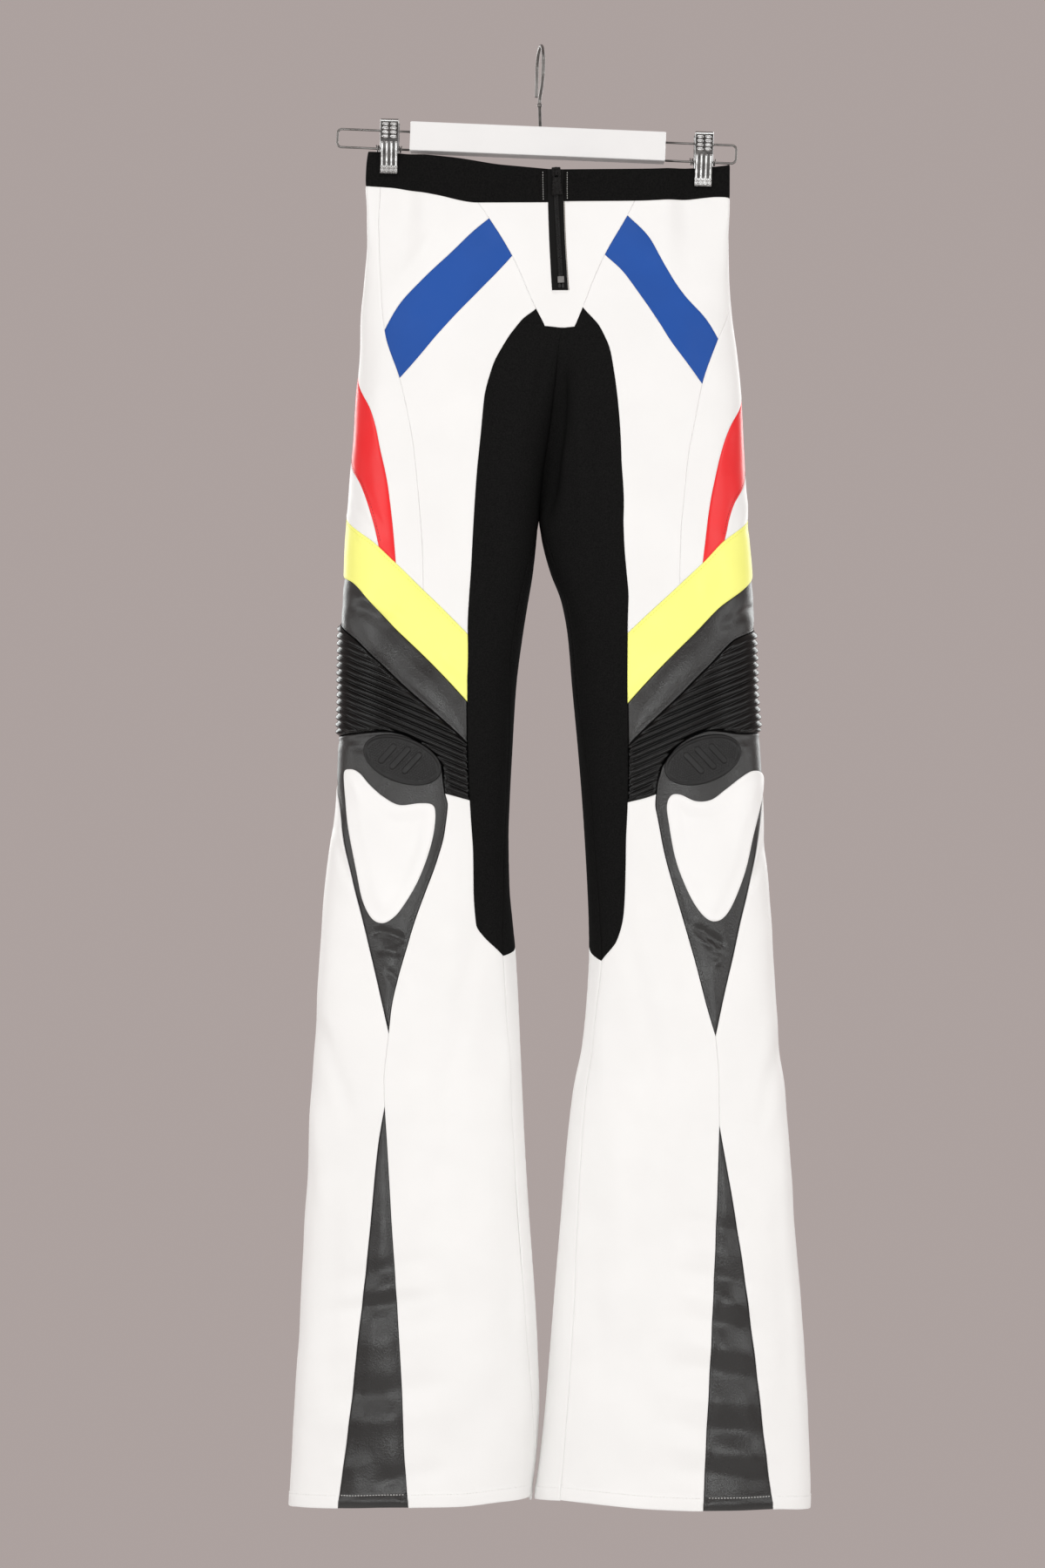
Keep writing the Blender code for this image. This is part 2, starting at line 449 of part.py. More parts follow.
def run_over(side, name, *places, step=ROW):
    out = []
    if name.startswith("wb"):
        step = step / 2
    for s0, s1 in zip(places, places[1:]):
        s = np.linspace(s0, s1, 81)
        out += spaced(side, np.stack([s, over(side, name, s)], -1), step)
    return out


def run_line(side, *corners, step=ROW):
    out = []
    for (s0, z0), (s1, z1) in zip(corners, corners[1:]):
        t = np.linspace(0, 1, 81)
        out += spaced(side, np.stack([s0 + (s1 - s0) * t, z0 + (z1 - z0) * t], -1), step)
    return out


def ring(rows, per=3):
    """A smooth closed loop through a table's rows."""
    p = np.asarray(rows, float)
    out = []
    for i in range(len(p)):
        a, b, c, d = p[i - 1], p[i], p[(i + 1) % len(p)], p[(i + 2) % len(p)]
        for k in range(per):
            t = k / per
            out.append(tuple(0.5 * (2 * b + (c - a) * t + (2 * a - 5 * b + 4 * c - d) * t * t
                                    + (3 * b - a - 3 * c + d) * t**3)))
    return out


# ------------------------------------------------------------ making pieces
def inset(loop, by):
    """The loop moved in by a distance, corner by corner."""
    p = np.asarray(loop, float)
    area = 0.5 * np.sum(p[:, 0] * np.roll(p[:, 1], -1) - np.roll(p[:, 0], -1) * p[:, 1])
    if area < 0:
        p = p[::-1].copy()
    e = np.roll(p, -1, 0) - p
    e /= np.linalg.norm(e, axis=1, keepdims=True)
    n = np.stack([-e[:, 1], e[:, 0]], -1)
    n0 = np.roll(n, 1, 0)
    m = n + n0
    k = np.maximum(np.sum(m * n, 1), 0.08)
    return p + m / k[:, None] * by


def inside(loop, pts):
    x, y = pts[:, 0], pts[:, 1]
    hit = np.zeros(len(pts), bool)
    for (x0, y0), (x1, y1) in zip(loop, np.roll(loop, -1, 0)):
        cross = (y0 > y) != (y1 > y)
        with np.errstate(divide="ignore", invalid="ignore"):
            hit ^= cross & (x < (x1 - x0) * (y - y0) / (y1 - y0) + x0)
    return hit


def clear_of(loop, pts, by):
    a, b = np.asarray(loop), np.roll(loop, -1, 0)
    d = b - a
    t = np.einsum("pkj,kj->pk", pts[:, None] - a[None], d) / np.maximum(np.sum(d * d, 1), 1e-9)
    near = a[None] + np.clip(t, 0, 1)[..., None] * d[None]
    return np.min(np.linalg.norm(pts[:, None] - near, axis=-1), 1) > by


def cells(loop, du, dz, keep, side=None):
    """Points inside a piece: staggered rows, closer together at the folds."""
    lo, hi = loop.min(0), loop.max(0)
    pts = []
    rows = max(1, int(round((hi[1] - lo[1]) / dz)))
    for r in range(1, rows):
        y = lo[1] + (hi[1] - lo[1]) * r / rows
        turns = folds(side, y) if side else []
        first = math.ceil(lo[0] / du - 0.5 * (r % 2))
        last = math.floor(hi[0] / du - 0.5 * (r % 2))
        pts += [(u, y) for u in ((k + 0.5 * (r % 2)) * du for k in range(first, last + 1))
                if all(abs(u - c) > FOLD_U[-1] + 4 for c in turns)]
        pts += [(c + k * u, y) for c in turns for u in FOLD_U for k in ((-1, 1) if u else (1,))]
    if not pts:
        return np.zeros((0, 2))
    pts = np.asarray(pts, float)
    pts = pts[inside(loop, pts)]
    return pts[clear_of(loop, pts, keep)] if len(pts) else pts


def fold_links(side, loop, pts, dz):
    """Edges down each fold, from one row of points to the next."""
    allp = np.concatenate([loop, pts]) if len(pts) else loop
    turns = [folds(side, z) for z in allp[:, 1]]
    links = []
    for k in range(max(len(a) for a in turns)):
        on = [i for i, a in enumerate(turns) if len(a) > k and abs(allp[i, 0] - a[k]) < 0.6]
        on.sort(key=lambda i: allp[i, 1])
        for i, j in zip(on, on[1:]):
            if allp[j, 1] - allp[i, 1] > 1.6 * dz or (max(i, j) < len(loop) and abs(i - j) in (1, len(loop) - 1)):
                continue
            mids = allp[i] + (allp[j] - allp[i]) * np.linspace(0.06, 0.94, 9)[:, None]
            if inside(loop, mids).all():
                links.append((i, j))
    return links


def paint(name, colour, rough, metal=0.0):
    m = bpy.data.materials.new(name)
    m.use_nodes = True
    p = m.node_tree.nodes["Principled BSDF"]
    p.inputs["Base Color"].default_value = (*colour, 1)
    p.inputs["Roughness"].default_value = rough
    p.inputs["Metallic"].default_value = metal
    m.diffuse_color = (*colour, 1)
    return m


def put(name, verts, faces, colour, rough, metal=0.0):
    me = bpy.data.meshes.new(name)
    me.from_pydata([tuple(v) for v in verts], [], faces)
    me.materials.append(paint(name, colour, rough, metal))
    ob = bpy.data.objects.new(name, me)
    bpy.context.scene.collection.objects.link(ob)
    return ob


def closed_wall(name, out, inn, tris, finish):
    """Two matching faces and the rim between them, as one closed body."""
    n = len(out)
    edges = {}
    for a, b, c in tris:
        for e in ((a, b), (b, c), (c, a)):
            edges[e] = edges.get(e, 0) + 1
    rim = [e for e in edges if (e[1], e[0]) not in edges]
    faces = [(a, b, c) for a, b, c in tris] + [(c + n, b + n, a + n) for a, b, c in tris]
    faces += [(b, a, a + n, b + n) for a, b in rim]
    used = sorted({i for t in tris for i in t})
    keep = {old: new for new, old in enumerate(used + [i + n for i in used])}
    both = np.concatenate([out, inn]) / 1000
    put(name, both[used + [i + n for i in used]], [tuple(keep[i] for i in f) for f in faces], *finish)


def cut(name, form, outline, finish, wall=CLOTH, sink=0.0, du=CELL_U, dz=CELL_Z, loops=()):
    """One cut piece: its outline laid flat, filled, put on the skin and
    given its wall inwards.  Loops are lines on it that other pieces follow."""
    flat = inset(form.flat(np.asarray(outline, float)), SEAM_GAP / 2)
    half = isinstance(form, Half)
    pts = cells(flat, du, dz, 5.0 if half else 0.36 * du, form.side if half else None)
    fixed, links, n = [flat], [], len(flat)
    shift = n
    for loop in loops:
        lf = form.flat(np.asarray(loop, float))
        links += [(n + i, n + (i + 1) % len(lf)) for i in range(len(lf))]
        fixed.append(lf)
        n += len(lf)
        if len(pts):
            pts = pts[clear_of(lf, pts, 0.3 * du)]
    if half:
        links += [(i + (n - shift) * (i >= shift), j + (n - shift) * (j >= shift))
                  for i, j in fold_links(form.side, flat, pts, dz)]
    allp = np.concatenate([*fixed, pts]) if len(pts) else np.concatenate(fixed)
    v, _, f, *_ = delaunay_2d_cdt([Vector(p) for p in allp], links, [list(range(len(flat)))], 1, 1e-4)
    flat_v = np.asarray([(p.x, p.y) for p in v])
    tris = [tuple(t) for t in f]
    if form.sign < 0:
        tris = [t[::-1] for t in tris]
    pos, nor = form.solid(flat_v)
    out = pos - nor * sink
    closed_wall(name, out, out - nor * wall, tris, finish)
    return flat_v, out, nor, tris


def pad(name, base, loop_flat, finish):
    """A padded piece on a panel, made from the panel's own points."""
    flat_v, out, nor, tris = base
    mid = np.asarray([flat_v[list(t)].mean(0) for t in tris])
    mine = inside(loop_flat, mid)
    tris = [t[::-1] for t, m in zip(tris, mine) if m]
    a, b = np.asarray(loop_flat), np.roll(loop_flat, -1, 0)
    d = b - a
    t = np.clip(np.einsum("pkj,kj->pk", flat_v[:, None] - a[None], d) / np.sum(d * d, 1), 0, 1)
    deep = np.min(np.linalg.norm(flat_v[:, None] - (a[None] + t[..., None] * d[None]), axis=-1), 1)
    rise = SHIELD_EDGE + (SHIELD_RISE - SHIELD_EDGE) * np.minimum(1, deep / 14.0)
    low = out + nor * OVERLAY_GAP
    closed_wall(name, low, low + nor * rise[:, None], tris, finish)


# ------------------------------------------------------------ the garment
white, black = (WHITE, 0.42), (BLACK, 0.85)
leather, rubber = (LEATHER, 0.45), (RUBBER, 0.6)
SS = SIDE_SEAM
edges_of_fly = {}
band_ends = {}

for side in "LR":
    h = Half(side)
    J = {}
    J["side_wb"] = meet(side, "side", "wb_bot", -130)
    J["fly_wb"] = meet(side, "fly", "wb_bot", -140)
    J["zip_wb"] = meet(side, "zip", "wb_bot", -140)
    J["zip_top"] = meet(side, "zip", "wb_top", -100)
    J["side_b1"] = meet(side, "side", "blue_top", -255)
    J["fly_b1"] = meet(side, "fly", "blue_top", -155)
    J["side_b2"] = meet(side, "side", "blue_low", -300)
    J["fly_b2"] = meet(side, "fly", "blue_low", -190)
    J["side_y"] = meet(side, "side", "yellow_top", -485)
    J["redi_y"] = meet(side, "red_in", "yellow_top", -464)
    J["redo_y"] = meet(side, "red_out", "yellow_top", -450)
    J["in_y1"] = meet(side, "inner", "yellow_top", -525)
    J["in_y2"] = meet(side, "inner", "yellow_low", -586)
    J["in_b"] = meet(side, "inner", "band_low", -624)
    fly_end = UPRIGHT[side]["fly"][-1][0]
    in_top = UPRIGHT[side]["inner"][0][0]
    in_foot = UPRIGHT[side]["inner"][-1][0]
    knee_top, knee_tip = UPRIGHT[side]["knee_in"][0][0], UPRIGHT[side]["knee_in"][-1][0]
    apex = UPRIGHT[side]["tip"][-1][0]
    foot_s, foot_z = ACROSS[side]["rib_foot"][0]
    in_ribs = ACROSS[side]["rib_foot"][-1]
    z_in_ribs = float(in_ribs[1])
    s_in_ribs = float(up(side, "inner", z_in_ribs))
    kout_top = UPRIGHT[side]["knee_out"][0][0]
    hem_gi = meet(side, "gusset_in", "hem", -1297)
    hem_go = meet(side, "gusset_out", "hem", -1298)
    hem_is = meet(side, "inseam", "hem", -1294)
    red_i0, red_o0 = UPRIGHT[side]["red_in"][0][0], UPRIGHT[side]["red_out"][0][0]
    zs = {n: float(over(side, n, SS)) for n in ("wb_top", "wb_bot", "yellow_top", "yellow_low", "band_low", "rib_low", "hem")}
    centre_low = -256.3

    def seam_back(*levels):
        return run_line(side, *[(SS, z) for z in levels])

    cut(f"hip_front_{side}", h,
        run_over(side, "wb_bot", J["side_wb"][0], J["fly_wb"][0])
        + run_up(side, "fly", J["fly_wb"][1], J["fly_b1"][1])
        + run_over(side, "blue_top", J["fly_b1"][0], J["side_b1"][0])
        + run_up(side, "side", J["side_b1"][1], J["side_wb"][1]), white)
    cut(f"blue_stripe_{side}", h,
        run_over(side, "blue_top", J["side_b1"][0], J["fly_b1"][0])
        + run_up(side, "fly", J["fly_b1"][1], J["fly_b2"][1])
        + run_over(side, "blue_low", J["fly_b2"][0], J["side_b2"][0])
        + run_up(side, "side", J["side_b2"][1], J["side_b1"][1]), (BLUE, 0.5))
    cut(f"thigh_front_{side}", h,
        run_over(side, "blue_low", J["side_b2"][0], J["fly_b2"][0])
        + run_up(side, "fly", J["fly_b2"][1], in_top)
        + run_up(side, "inner", in_top, J["in_y1"][1])
        + run_over(side, "yellow_top", J["in_y1"][0], J["side_y"][0])
        + run_up(side, "side", J["side_y"][1], J["side_b2"][1]), white)
    cut(f"side_panel_{side}", h,
        run_over(side, "wb_bot", SS, J["side_wb"][0])
        + run_up(side, "side", J["side_wb"][1], J["side_b1"][1], J["side_b2"][1], J["side_y"][1])
        + run_over(side, "yellow_top", J["side_y"][0], J["redi_y"][0])
        + run_up(side, "red_in", J["redi_y"][1], red_i0)
        + seam_back(red_i0, zs["wb_bot"]), white)
    cut(f"red_stripe_{side}", h,
        run_up(side, "red_in", red_i0, J["redi_y"][1])
        + run_over(side, "yellow_top", J["redi_y"][0], J["redo_y"][0])
        + run_up(side, "red_out", J["redo_y"][1], red_o0)
        + seam_back(red_o0, red_i0), (RED, 0.3))
    cut(f"side_lower_{side}", h,
        run_up(side, "red_out", red_o0, J["redo_y"][1])
        + run_over(side, "yellow_top", J["redo_y"][0], SS)
        + seam_back(zs["yellow_top"], red_o0), white)
    cut(f"yellow_stripe_{side}", h,
        run_over(side, "yellow_top", SS, J["redo_y"][0], J["redi_y"][0], J["side_y"][0], J["in_y1"][0])
        + run_up(side, "inner", J["in_y1"][1], J["in_y2"][1])
        + run_over(side, "yellow_low", J["in_y2"][0], SS)
        + seam_back(zs["yellow_low"], zs["yellow_top"]), (YELLOW, 0.4))
    cut(f"leather_band_{side}", h,
        run_over(side, "yellow_low", SS, J["in_y2"][0])
        + run_up(side, "inner", J["in_y2"][1], J["in_b"][1])
        + run_over(side, "band_low", J["in_b"][0], SS)
        + seam_back(zs["band_low"], zs["yellow_low"]), leather)
    cut(f"rib_panel_{side}", h,
        run_over(side, "band_low", SS, J["in_b"][0])
        + run_up(side, "inner", J["in_b"][1], z_in_ribs)
        + run_over(side, "rib_foot", s_in_ribs, foot_s)
        + run_up(side, "knee_in", foot_z, knee_top)
        + run_over(side, "rib_low", float(up(side, "knee_in", knee_top)), SS)
        + seam_back(zs["rib_low"], zs["band_low"]), leather)
    shield = ring(SHIELD[side], 2)
    base = cut(f"knee_base_{side}", h,
               run_over(side, "rib_low", SS, float(up(side, "knee_in", knee_top)))
               + run_up(side, "knee_in", knee_top, foot_z, knee_tip)
               + run_up(side, "knee_out", knee_tip, kout_top)
               + seam_back(kout_top, zs["rib_low"]), leather, du=20, dz=26, loops=[shield])
    pad(f"knee_shield_{side}", base, h.flat(np.asarray(shield)), white)
    ps, pz, pa, pb, slant = PATCH[side]
    pu = float(lay(side, ps, pz))
    oval = []
    for k in range(28):
        a, r = 2 * math.pi * k / 28, math.radians(slant)
        ex, ez = pa * math.cos(a), pb * math.sin(a)
        uu, zz = pu + ex * math.cos(r) - ez * math.sin(r), pz + ex * math.sin(r) + ez * math.cos(r)
        oval.append((float(unlay(side, np.array([uu]), np.array([zz]))[0]), zz))
    cut(f"knee_patch_{side}", h, oval, rubber, wall=PATCH_T, sink=-(PATCH_T + PATCH_GAP), du=12, dz=12)
    cut(f"lower_front_{side}", h,
        run_over(side, "rib_foot", foot_s, s_in_ribs)
        + run_up(side, "inner", z_in_ribs, in_foot)
        + run_up(side, "inseam", in_foot, hem_is[1])
        + run_over(side, "hem", hem_is[0], hem_gi[0])
        + run_up(side, "gusset_in", hem_gi[1], apex)
        + run_up(side, "tip", apex, knee_tip)
        + run_up(side, "knee_in", knee_tip, foot_z), white)
    cut(f"lower_outer_{side}", h,
        run_up(side, "knee_out", kout_top, knee_tip)
        + run_up(side, "tip", knee_tip, apex)
        + run_up(side, "gusset_out", apex, hem_go[1])
        + run_over(side, "hem", hem_go[0], SS)
        + seam_back(zs["hem"], kout_top), white)
    cut(f"hem_gusset_{side}", h,
        run_up(side, "gusset_in", apex, hem_gi[1])
        + run_over(side, "hem", hem_gi[0], hem_go[0])
        + run_up(side, "gusset_out", hem_go[1], apex), leather)
    cut(f"inner_panel_{side}", h,
        run_up(side, "fly", in_top, fly_end)
        + run_line(side, (float(up(side, "fly", fly_end)), fly_end), (1.0, centre_low), step=18)
        + run_line(side, (1.0, centre_low), (1.0, BACK_GUSSET_TOP), (1.0, CROTCH_Z))
        + run_up(side, "inseam", CROTCH_Z, in_foot)
        + run_up(side, "inner", in_foot, z_in_ribs, J["in_b"][1], J["in_y2"][1], J["in_y1"][1], in_top), black)
    foot_e = float(up(side, "inseam", in_foot))
    cut(f"inner_back_{side}", h,
        run_line(side, (-1.0, BACK_GUSSET_TOP), (-1.0, CROTCH_Z))
        + run_up(side, "inseam", CROTCH_Z, in_foot, shift=-2)
        + run_line(side, (foot_e - 2, in_foot), (-1.0, BACK_INNER[-1][0]))
        + run_up(side, "back_inner", BACK_INNER[-1][0], BACK_GUSSET_TOP, shift=-2), black)
    back_levels = (zs["hem"], kout_top, zs["rib_low"], zs["band_low"], zs["yellow_low"], zs["yellow_top"],
                   red_o0, red_i0, zs["wb_bot"])
    centre_wb = float(over(side, "wb_bot", 1.0))
    cut(f"back_panel_{side}", h,
        run_over(side, "wb_bot", SS, -1.0)
        + run_line(side, (-1.0, centre_wb), (-1.0, BACK_GUSSET_TOP))
        + run_up(side, "back_inner", BACK_GUSSET_TOP, BACK_INNER[-1][0], shift=-2)
        + run_line(side, (-1.0, BACK_INNER[-1][0]), (foot_e - 2, in_foot))
        + run_up(side, "inseam", in_foot, hem_is[1], shift=-2)
        + run_over(side, "hem", hem_is[0] - 2, SS)
        + seam_back(*back_levels), white)
    cut(f"waistband_front_{side}", h,
        run_over(side, "wb_top", SS, J["zip_top"][0])
        + run_up(side, "zip", J["zip_top"][1], J["zip_wb"][1])
        + run_over(side, "wb_bot", J["zip_wb"][0], J["fly_wb"][0], J["side_wb"][0], SS)
        + seam_back(zs["wb_bot"], zs["wb_top"]), black, wall=BAND, du=11, dz=20)

    def to_x(rows):
        a = np.asarray(rows, float)
        return [(float(x), float(z)) for x, z in zip(skin(side, a[:, 0], a[:, 1])[:, 0], a[:, 1])]

    zip_foot = (float(up(side, "zip", -221.7)), -221.7)
    edges_of_fly[side] = {
        "wb": to_x(run_over(side, "wb_bot", J["fly_wb"][0], J["zip_wb"][0]) + [J["zip_wb"]]),
        "zip": to_x(run_up(side, "zip", J["zip_wb"][1], -221.7) + [zip_foot]),
        "ziptop": to_x(run_up(side, "zip", J["zip_top"][1], J["zip_wb"][1]) + [J["zip_wb"]]),
        "fly": to_x(run_up(side, "fly", J["fly_wb"][1], J["fly_b1"][1], J["fly_b2"][1], in_top, fly_end)
                    + [(float(up(side, "fly", fly_end)), fly_end)]),
        "foot": to_x(run_line(side, (float(up(side, "fly", fly_end)), fly_end), (1.0, centre_low), step=18)
                     + [(1.0, centre_low)]),
    }
    band_ends[side] = {
        "top": to_x(run_over(side, "wb_top", SS, -1.0) + [(-1.0, float(over(side, "wb_top", 1.0)))]),
        "low": to_x(run_over(side, "wb_bot", SS, -1.0) + [(-1.0, centre_wb)]),
        "end": to_x(seam_back(zs["wb_bot"], zs["wb_top"]) + [(SS, zs["wb_top"])]),
    }

fl, fr = edges_of_fly["L"], edges_of_fly["R"]
cut("fly_panel", Across(True),
    fl["wb"][:-1] + fl["zip"] + fr["zip"][::-1] + fr["wb"][::-1][1:]
    + fr["fly"][1:-1] + fr["foot"][:-1] + fl["foot"][::-1][1:-1] + fl["fly"][::-1][:-1], white, du=20, dz=30)
cut("zip_tape", Across(True),
    fl["ziptop"][:-1] + fl["zip"] + fr["zip"][::-1] + fr["ziptop"][::-1][1:], (BLACK, 0.7),
    wall=1.0, sink=0.5, du=5, dz=25)
bl, br = band_ends["L"], band_ends["R"]
cut("waistband_back", Across(False),
    bl["end"][:-1] + bl["top"][:-1] + [tuple(0.5 * (np.asarray(bl["top"][-1]) + np.asarray(br["top"][-1])))]
    + br["top"][::-1][1:] + br["end"][::-1][1:-1] + br["low"][:-1]
    + [tuple(0.5 * (np.asarray(bl["low"][-1]) + np.asarray(br["low"][-1])))] + bl["low"][::-1][1:-1], black, wall=BAND, du=11, dz=20)


# ------------------------------------------------------------ the zip
def box(name, size, place, finish, bevel=0.0, segments=1):
    me = bpy.data.meshes.new(name)
    bm = bmesh.new()
    bmesh.ops.create_cube(bm, size=1.0)
    bmesh.ops.scale(bm, vec=Vector(size) / 1000, verts=bm.verts)
    if bevel:
        bmesh.ops.bevel(bm, geom=bm.edges[:], offset=bevel / 1000, segments=segments, affect="EDGES", profile=0.5)
    bm.to_mesh(me)
    bm.free()
    me.materials.append(paint(name, *finish))
    ob = bpy.data.objects.new(name, me)
    ob.matrix_world = place
    bpy.context.scene.collection.objects.link(ob)
    return ob


def joined(name, parts, finish, place):
    """One body from shapes that overlap."""
    base = parts[0]
    for other in parts[1:]:
        mod = base.modifiers.new("join", "BOOLEAN")
        mod.operation, mod.object, mod.solver = "UNION", other, "EXACT"
        other.hide_render, other.display_type = True, "WIRE"
    base.name = name
    base.data.materials.clear()
    base.data.materials.append(paint(name, *finish))
    return base


ZIP_Z, ZIP_FOOT_Z = -114.0, -212.2      # middle of the slider, middle of the stop
SLIDER_W, SLIDER_L, SLIDER_T = 8.0, 9.0, 2.4
BAIL_W, BAIL_T, BAIL_L, TUNNEL = 2.6, 0.9, 7.2, 2.0
PIN_R, PIN_L, ARM_W, ARM_L, TAB_L, TAB_W, TAB_T = 0.5, 6.0, 1.2, 5.0, 16.0, 9.4, 1.6


def zip_frame(z):
    """On the tape: X along the waist, Y out of the cloth, Z up the zip."""
    x = 0.5 * (np.interp(-z, [95, 141.1, 221.7], [np.interp(0, [0], [6.9]), 6.9, 11.4])
               + np.interp(-z, [95, 141.1, 221.7], [20.3, 20.3, 24.9]))
    pos, nor = Across(True).solid(np.array([[x, z]]))
    lo, _ = Across(True).solid(np.array([[x + 0.35, z - 8.0]]))
    upw = Vector(pos[0] - lo[0]).normalized()
    out = Vector(nor[0])
    side = upw.cross(out).normalized()
    out = side.cross(upw).normalized()
    m = Matrix((side, -out, upw)).transposed().to_4x4()
    return Matrix.Translation(Vector(pos[0]) / 1000) @ m


# in this frame -Y is out of the cloth, as on the whole garment
def at(frame, x, y, z):
    return frame @ Matrix.Translation(Vector((x, y, z)) / 1000)


zf = zip_frame(ZIP_Z)
face = 0.2                                  # the tape lies 0.5 in, 0.3 clear
top_y = face - SLIDER_T
axis_y = top_y - 0.5 * TUNNEL
metal = (RUBBER, 0.35, 0.6)
body = box("zip_slider", (SLIDER_W, SLIDER_T, SLIDER_L), at(zf, 0, face - SLIDER_T / 2, 0), metal, 0.6)
legs = [box(f"bail_leg_{k}", (BAIL_W, TUNNEL + BAIL_T + 0.4, BAIL_T),
            at(zf, 0, top_y + 0.4 - (TUNNEL + BAIL_T + 0.4) / 2, k * (BAIL_L - BAIL_T) / 2), metal) for k in (-1, 1)]
strap = box("bail_strap", (BAIL_W - 0.02, BAIL_T, BAIL_L - 0.02), at(zf, 0, top_y - TUNNEL - BAIL_T / 2, 0), metal)
joined("zip_slider", [body, *legs, strap], metal, zf)

pf = at(zf, 0, axis_y, 0)
tab = bpy.data.meshes.new("zip_pull")
bm = bmesh.new()


def bar(bm, size, at_mm, bevel=0.0):
    r = bmesh.ops.create_cube(bm, size=1.0)
    bmesh.ops.scale(bm, vec=Vector(size) / 1000, verts=r["verts"])
    bmesh.ops.translate(bm, vec=Vector(at_mm) / 1000, verts=r["verts"])


pull_parts = []
pin = bpy.data.meshes.new("pull_pin")
bmesh.ops.create_cone(bm, cap_ends=True, segments=12, radius1=PIN_R / 1000, radius2=PIN_R / 1000, depth=PIN_L / 1000,
                      matrix=Matrix.Rotation(math.pi / 2, 4, "Y"))
bm.to_mesh(pin)
bm.free()
pin_ob = bpy.data.objects.new("pull_pin", pin)
pin_ob.matrix_world = pf
bpy.context.scene.collection.objects.link(pin_ob)
arms = [box(f"pull_arm_{k}", (ARM_W - 0.02, 2 * PIN_R - 0.04, ARM_L + 0.8), at(pf, k * (PIN_L - ARM_W) / 2, 0, -(ARM_L + 0.4) / 2), metal)
        for k in (-1, 1)]
plate = box("pull_plate", (TAB_W, TAB_T, TAB_L), at(pf, 0, 0, -ARM_L - TAB_L / 2), metal, 0.5)
plate.data.transform(Matrix.Identity(4))
for v in plate.data.vertices:                 # the tab widens a little downwards
    v.co.x *= 0.80 + 0.20 * (0.5 - v.co.z / (TAB_L / 1000))
joined("zip_pull", [plate, pin_ob, *arms], metal, pf)
# the pull turns on its pin, so its own origin is put there
move = plate.matrix_world.inverted() @ pf
plate.data.transform(move.inverted())
plate.matrix_world = pf

sf = zip_frame(ZIP_FOOT_Z)
box("zip_stop", (5.8, 1.4, 6.0), at(sf, 0, face - 0.7, 0), ((0.17, 0.165, 0.16), 0.4, 0.2), 0.3)

# ------------------------------------------------------------ the hanger
HANG = Matrix.Translation(Vector(BAR_AT) / 1000) @ Matrix.Rotation(TILT, 4, "Y")


def hang(x, y, z):
    return HANG @ Matrix.Translation(Vector((x, y, z)) / 1000)


box("hanger_bar", (BAR_LEN, BAR_T, BAR_H), hang(0, 0, 0), (LACQUER, 0.25), 1.0, 2)


def rod(name, points, radius, finish, sides=2):
    cu = bpy.data.curves.new(name, "CURVE")
    cu.dimensions, cu.bevel_depth, cu.bevel_resolution = "3D", radius / 1000, sides
    cu.render_resolution_u, cu.use_fill_caps = 0, True
    sp = cu.splines.new("POLY")
    sp.points.add(len(points) - 1)
    for q, p in zip(sp.points, points):
        q.co = (*(Vector(p) / 1000), 1)
    cu.materials.append(paint(name, *finish))
    ob = bpy.data.objects.new(name, cu)
    bpy.context.scene.collection.objects.link(ob)
    return ob


def arc(cx, cz, r, a0, a1, n):
    return [(cx + r * math.cos(math.radians(a0 + (a1 - a0) * k / n)), cz + r * math.sin(math.radians(a0 + (a1 - a0) * k / n)))
            for k in range(n + 1)]


CORNER = 4.0
chrome = (CHROME, 0.18, 1.0)
for side, end, k in (("L", WIRE_END_L, -1), ("R", WIRE_END_R, 1)):
    reach = abs(end - BAR_AT[0]) / math.cos(TILT)
    start = BAR_LEN / 2 + 0.3
    path = [(start, WIRE_UP)] + arc(reach - CORNER, WIRE_UP - CORNER, CORNER, 90, 0, 5)
    path += arc(reach - CORNER, WIRE_DOWN + CORNER, CORNER, 0, -90, 5) + [(start, WIRE_DOWN)]
    ob = rod(f"hanger_wire_{side}", [(k * x, 0, z) for x, z in path], WIRE_R, chrome)
    ob.matrix_world = HANG

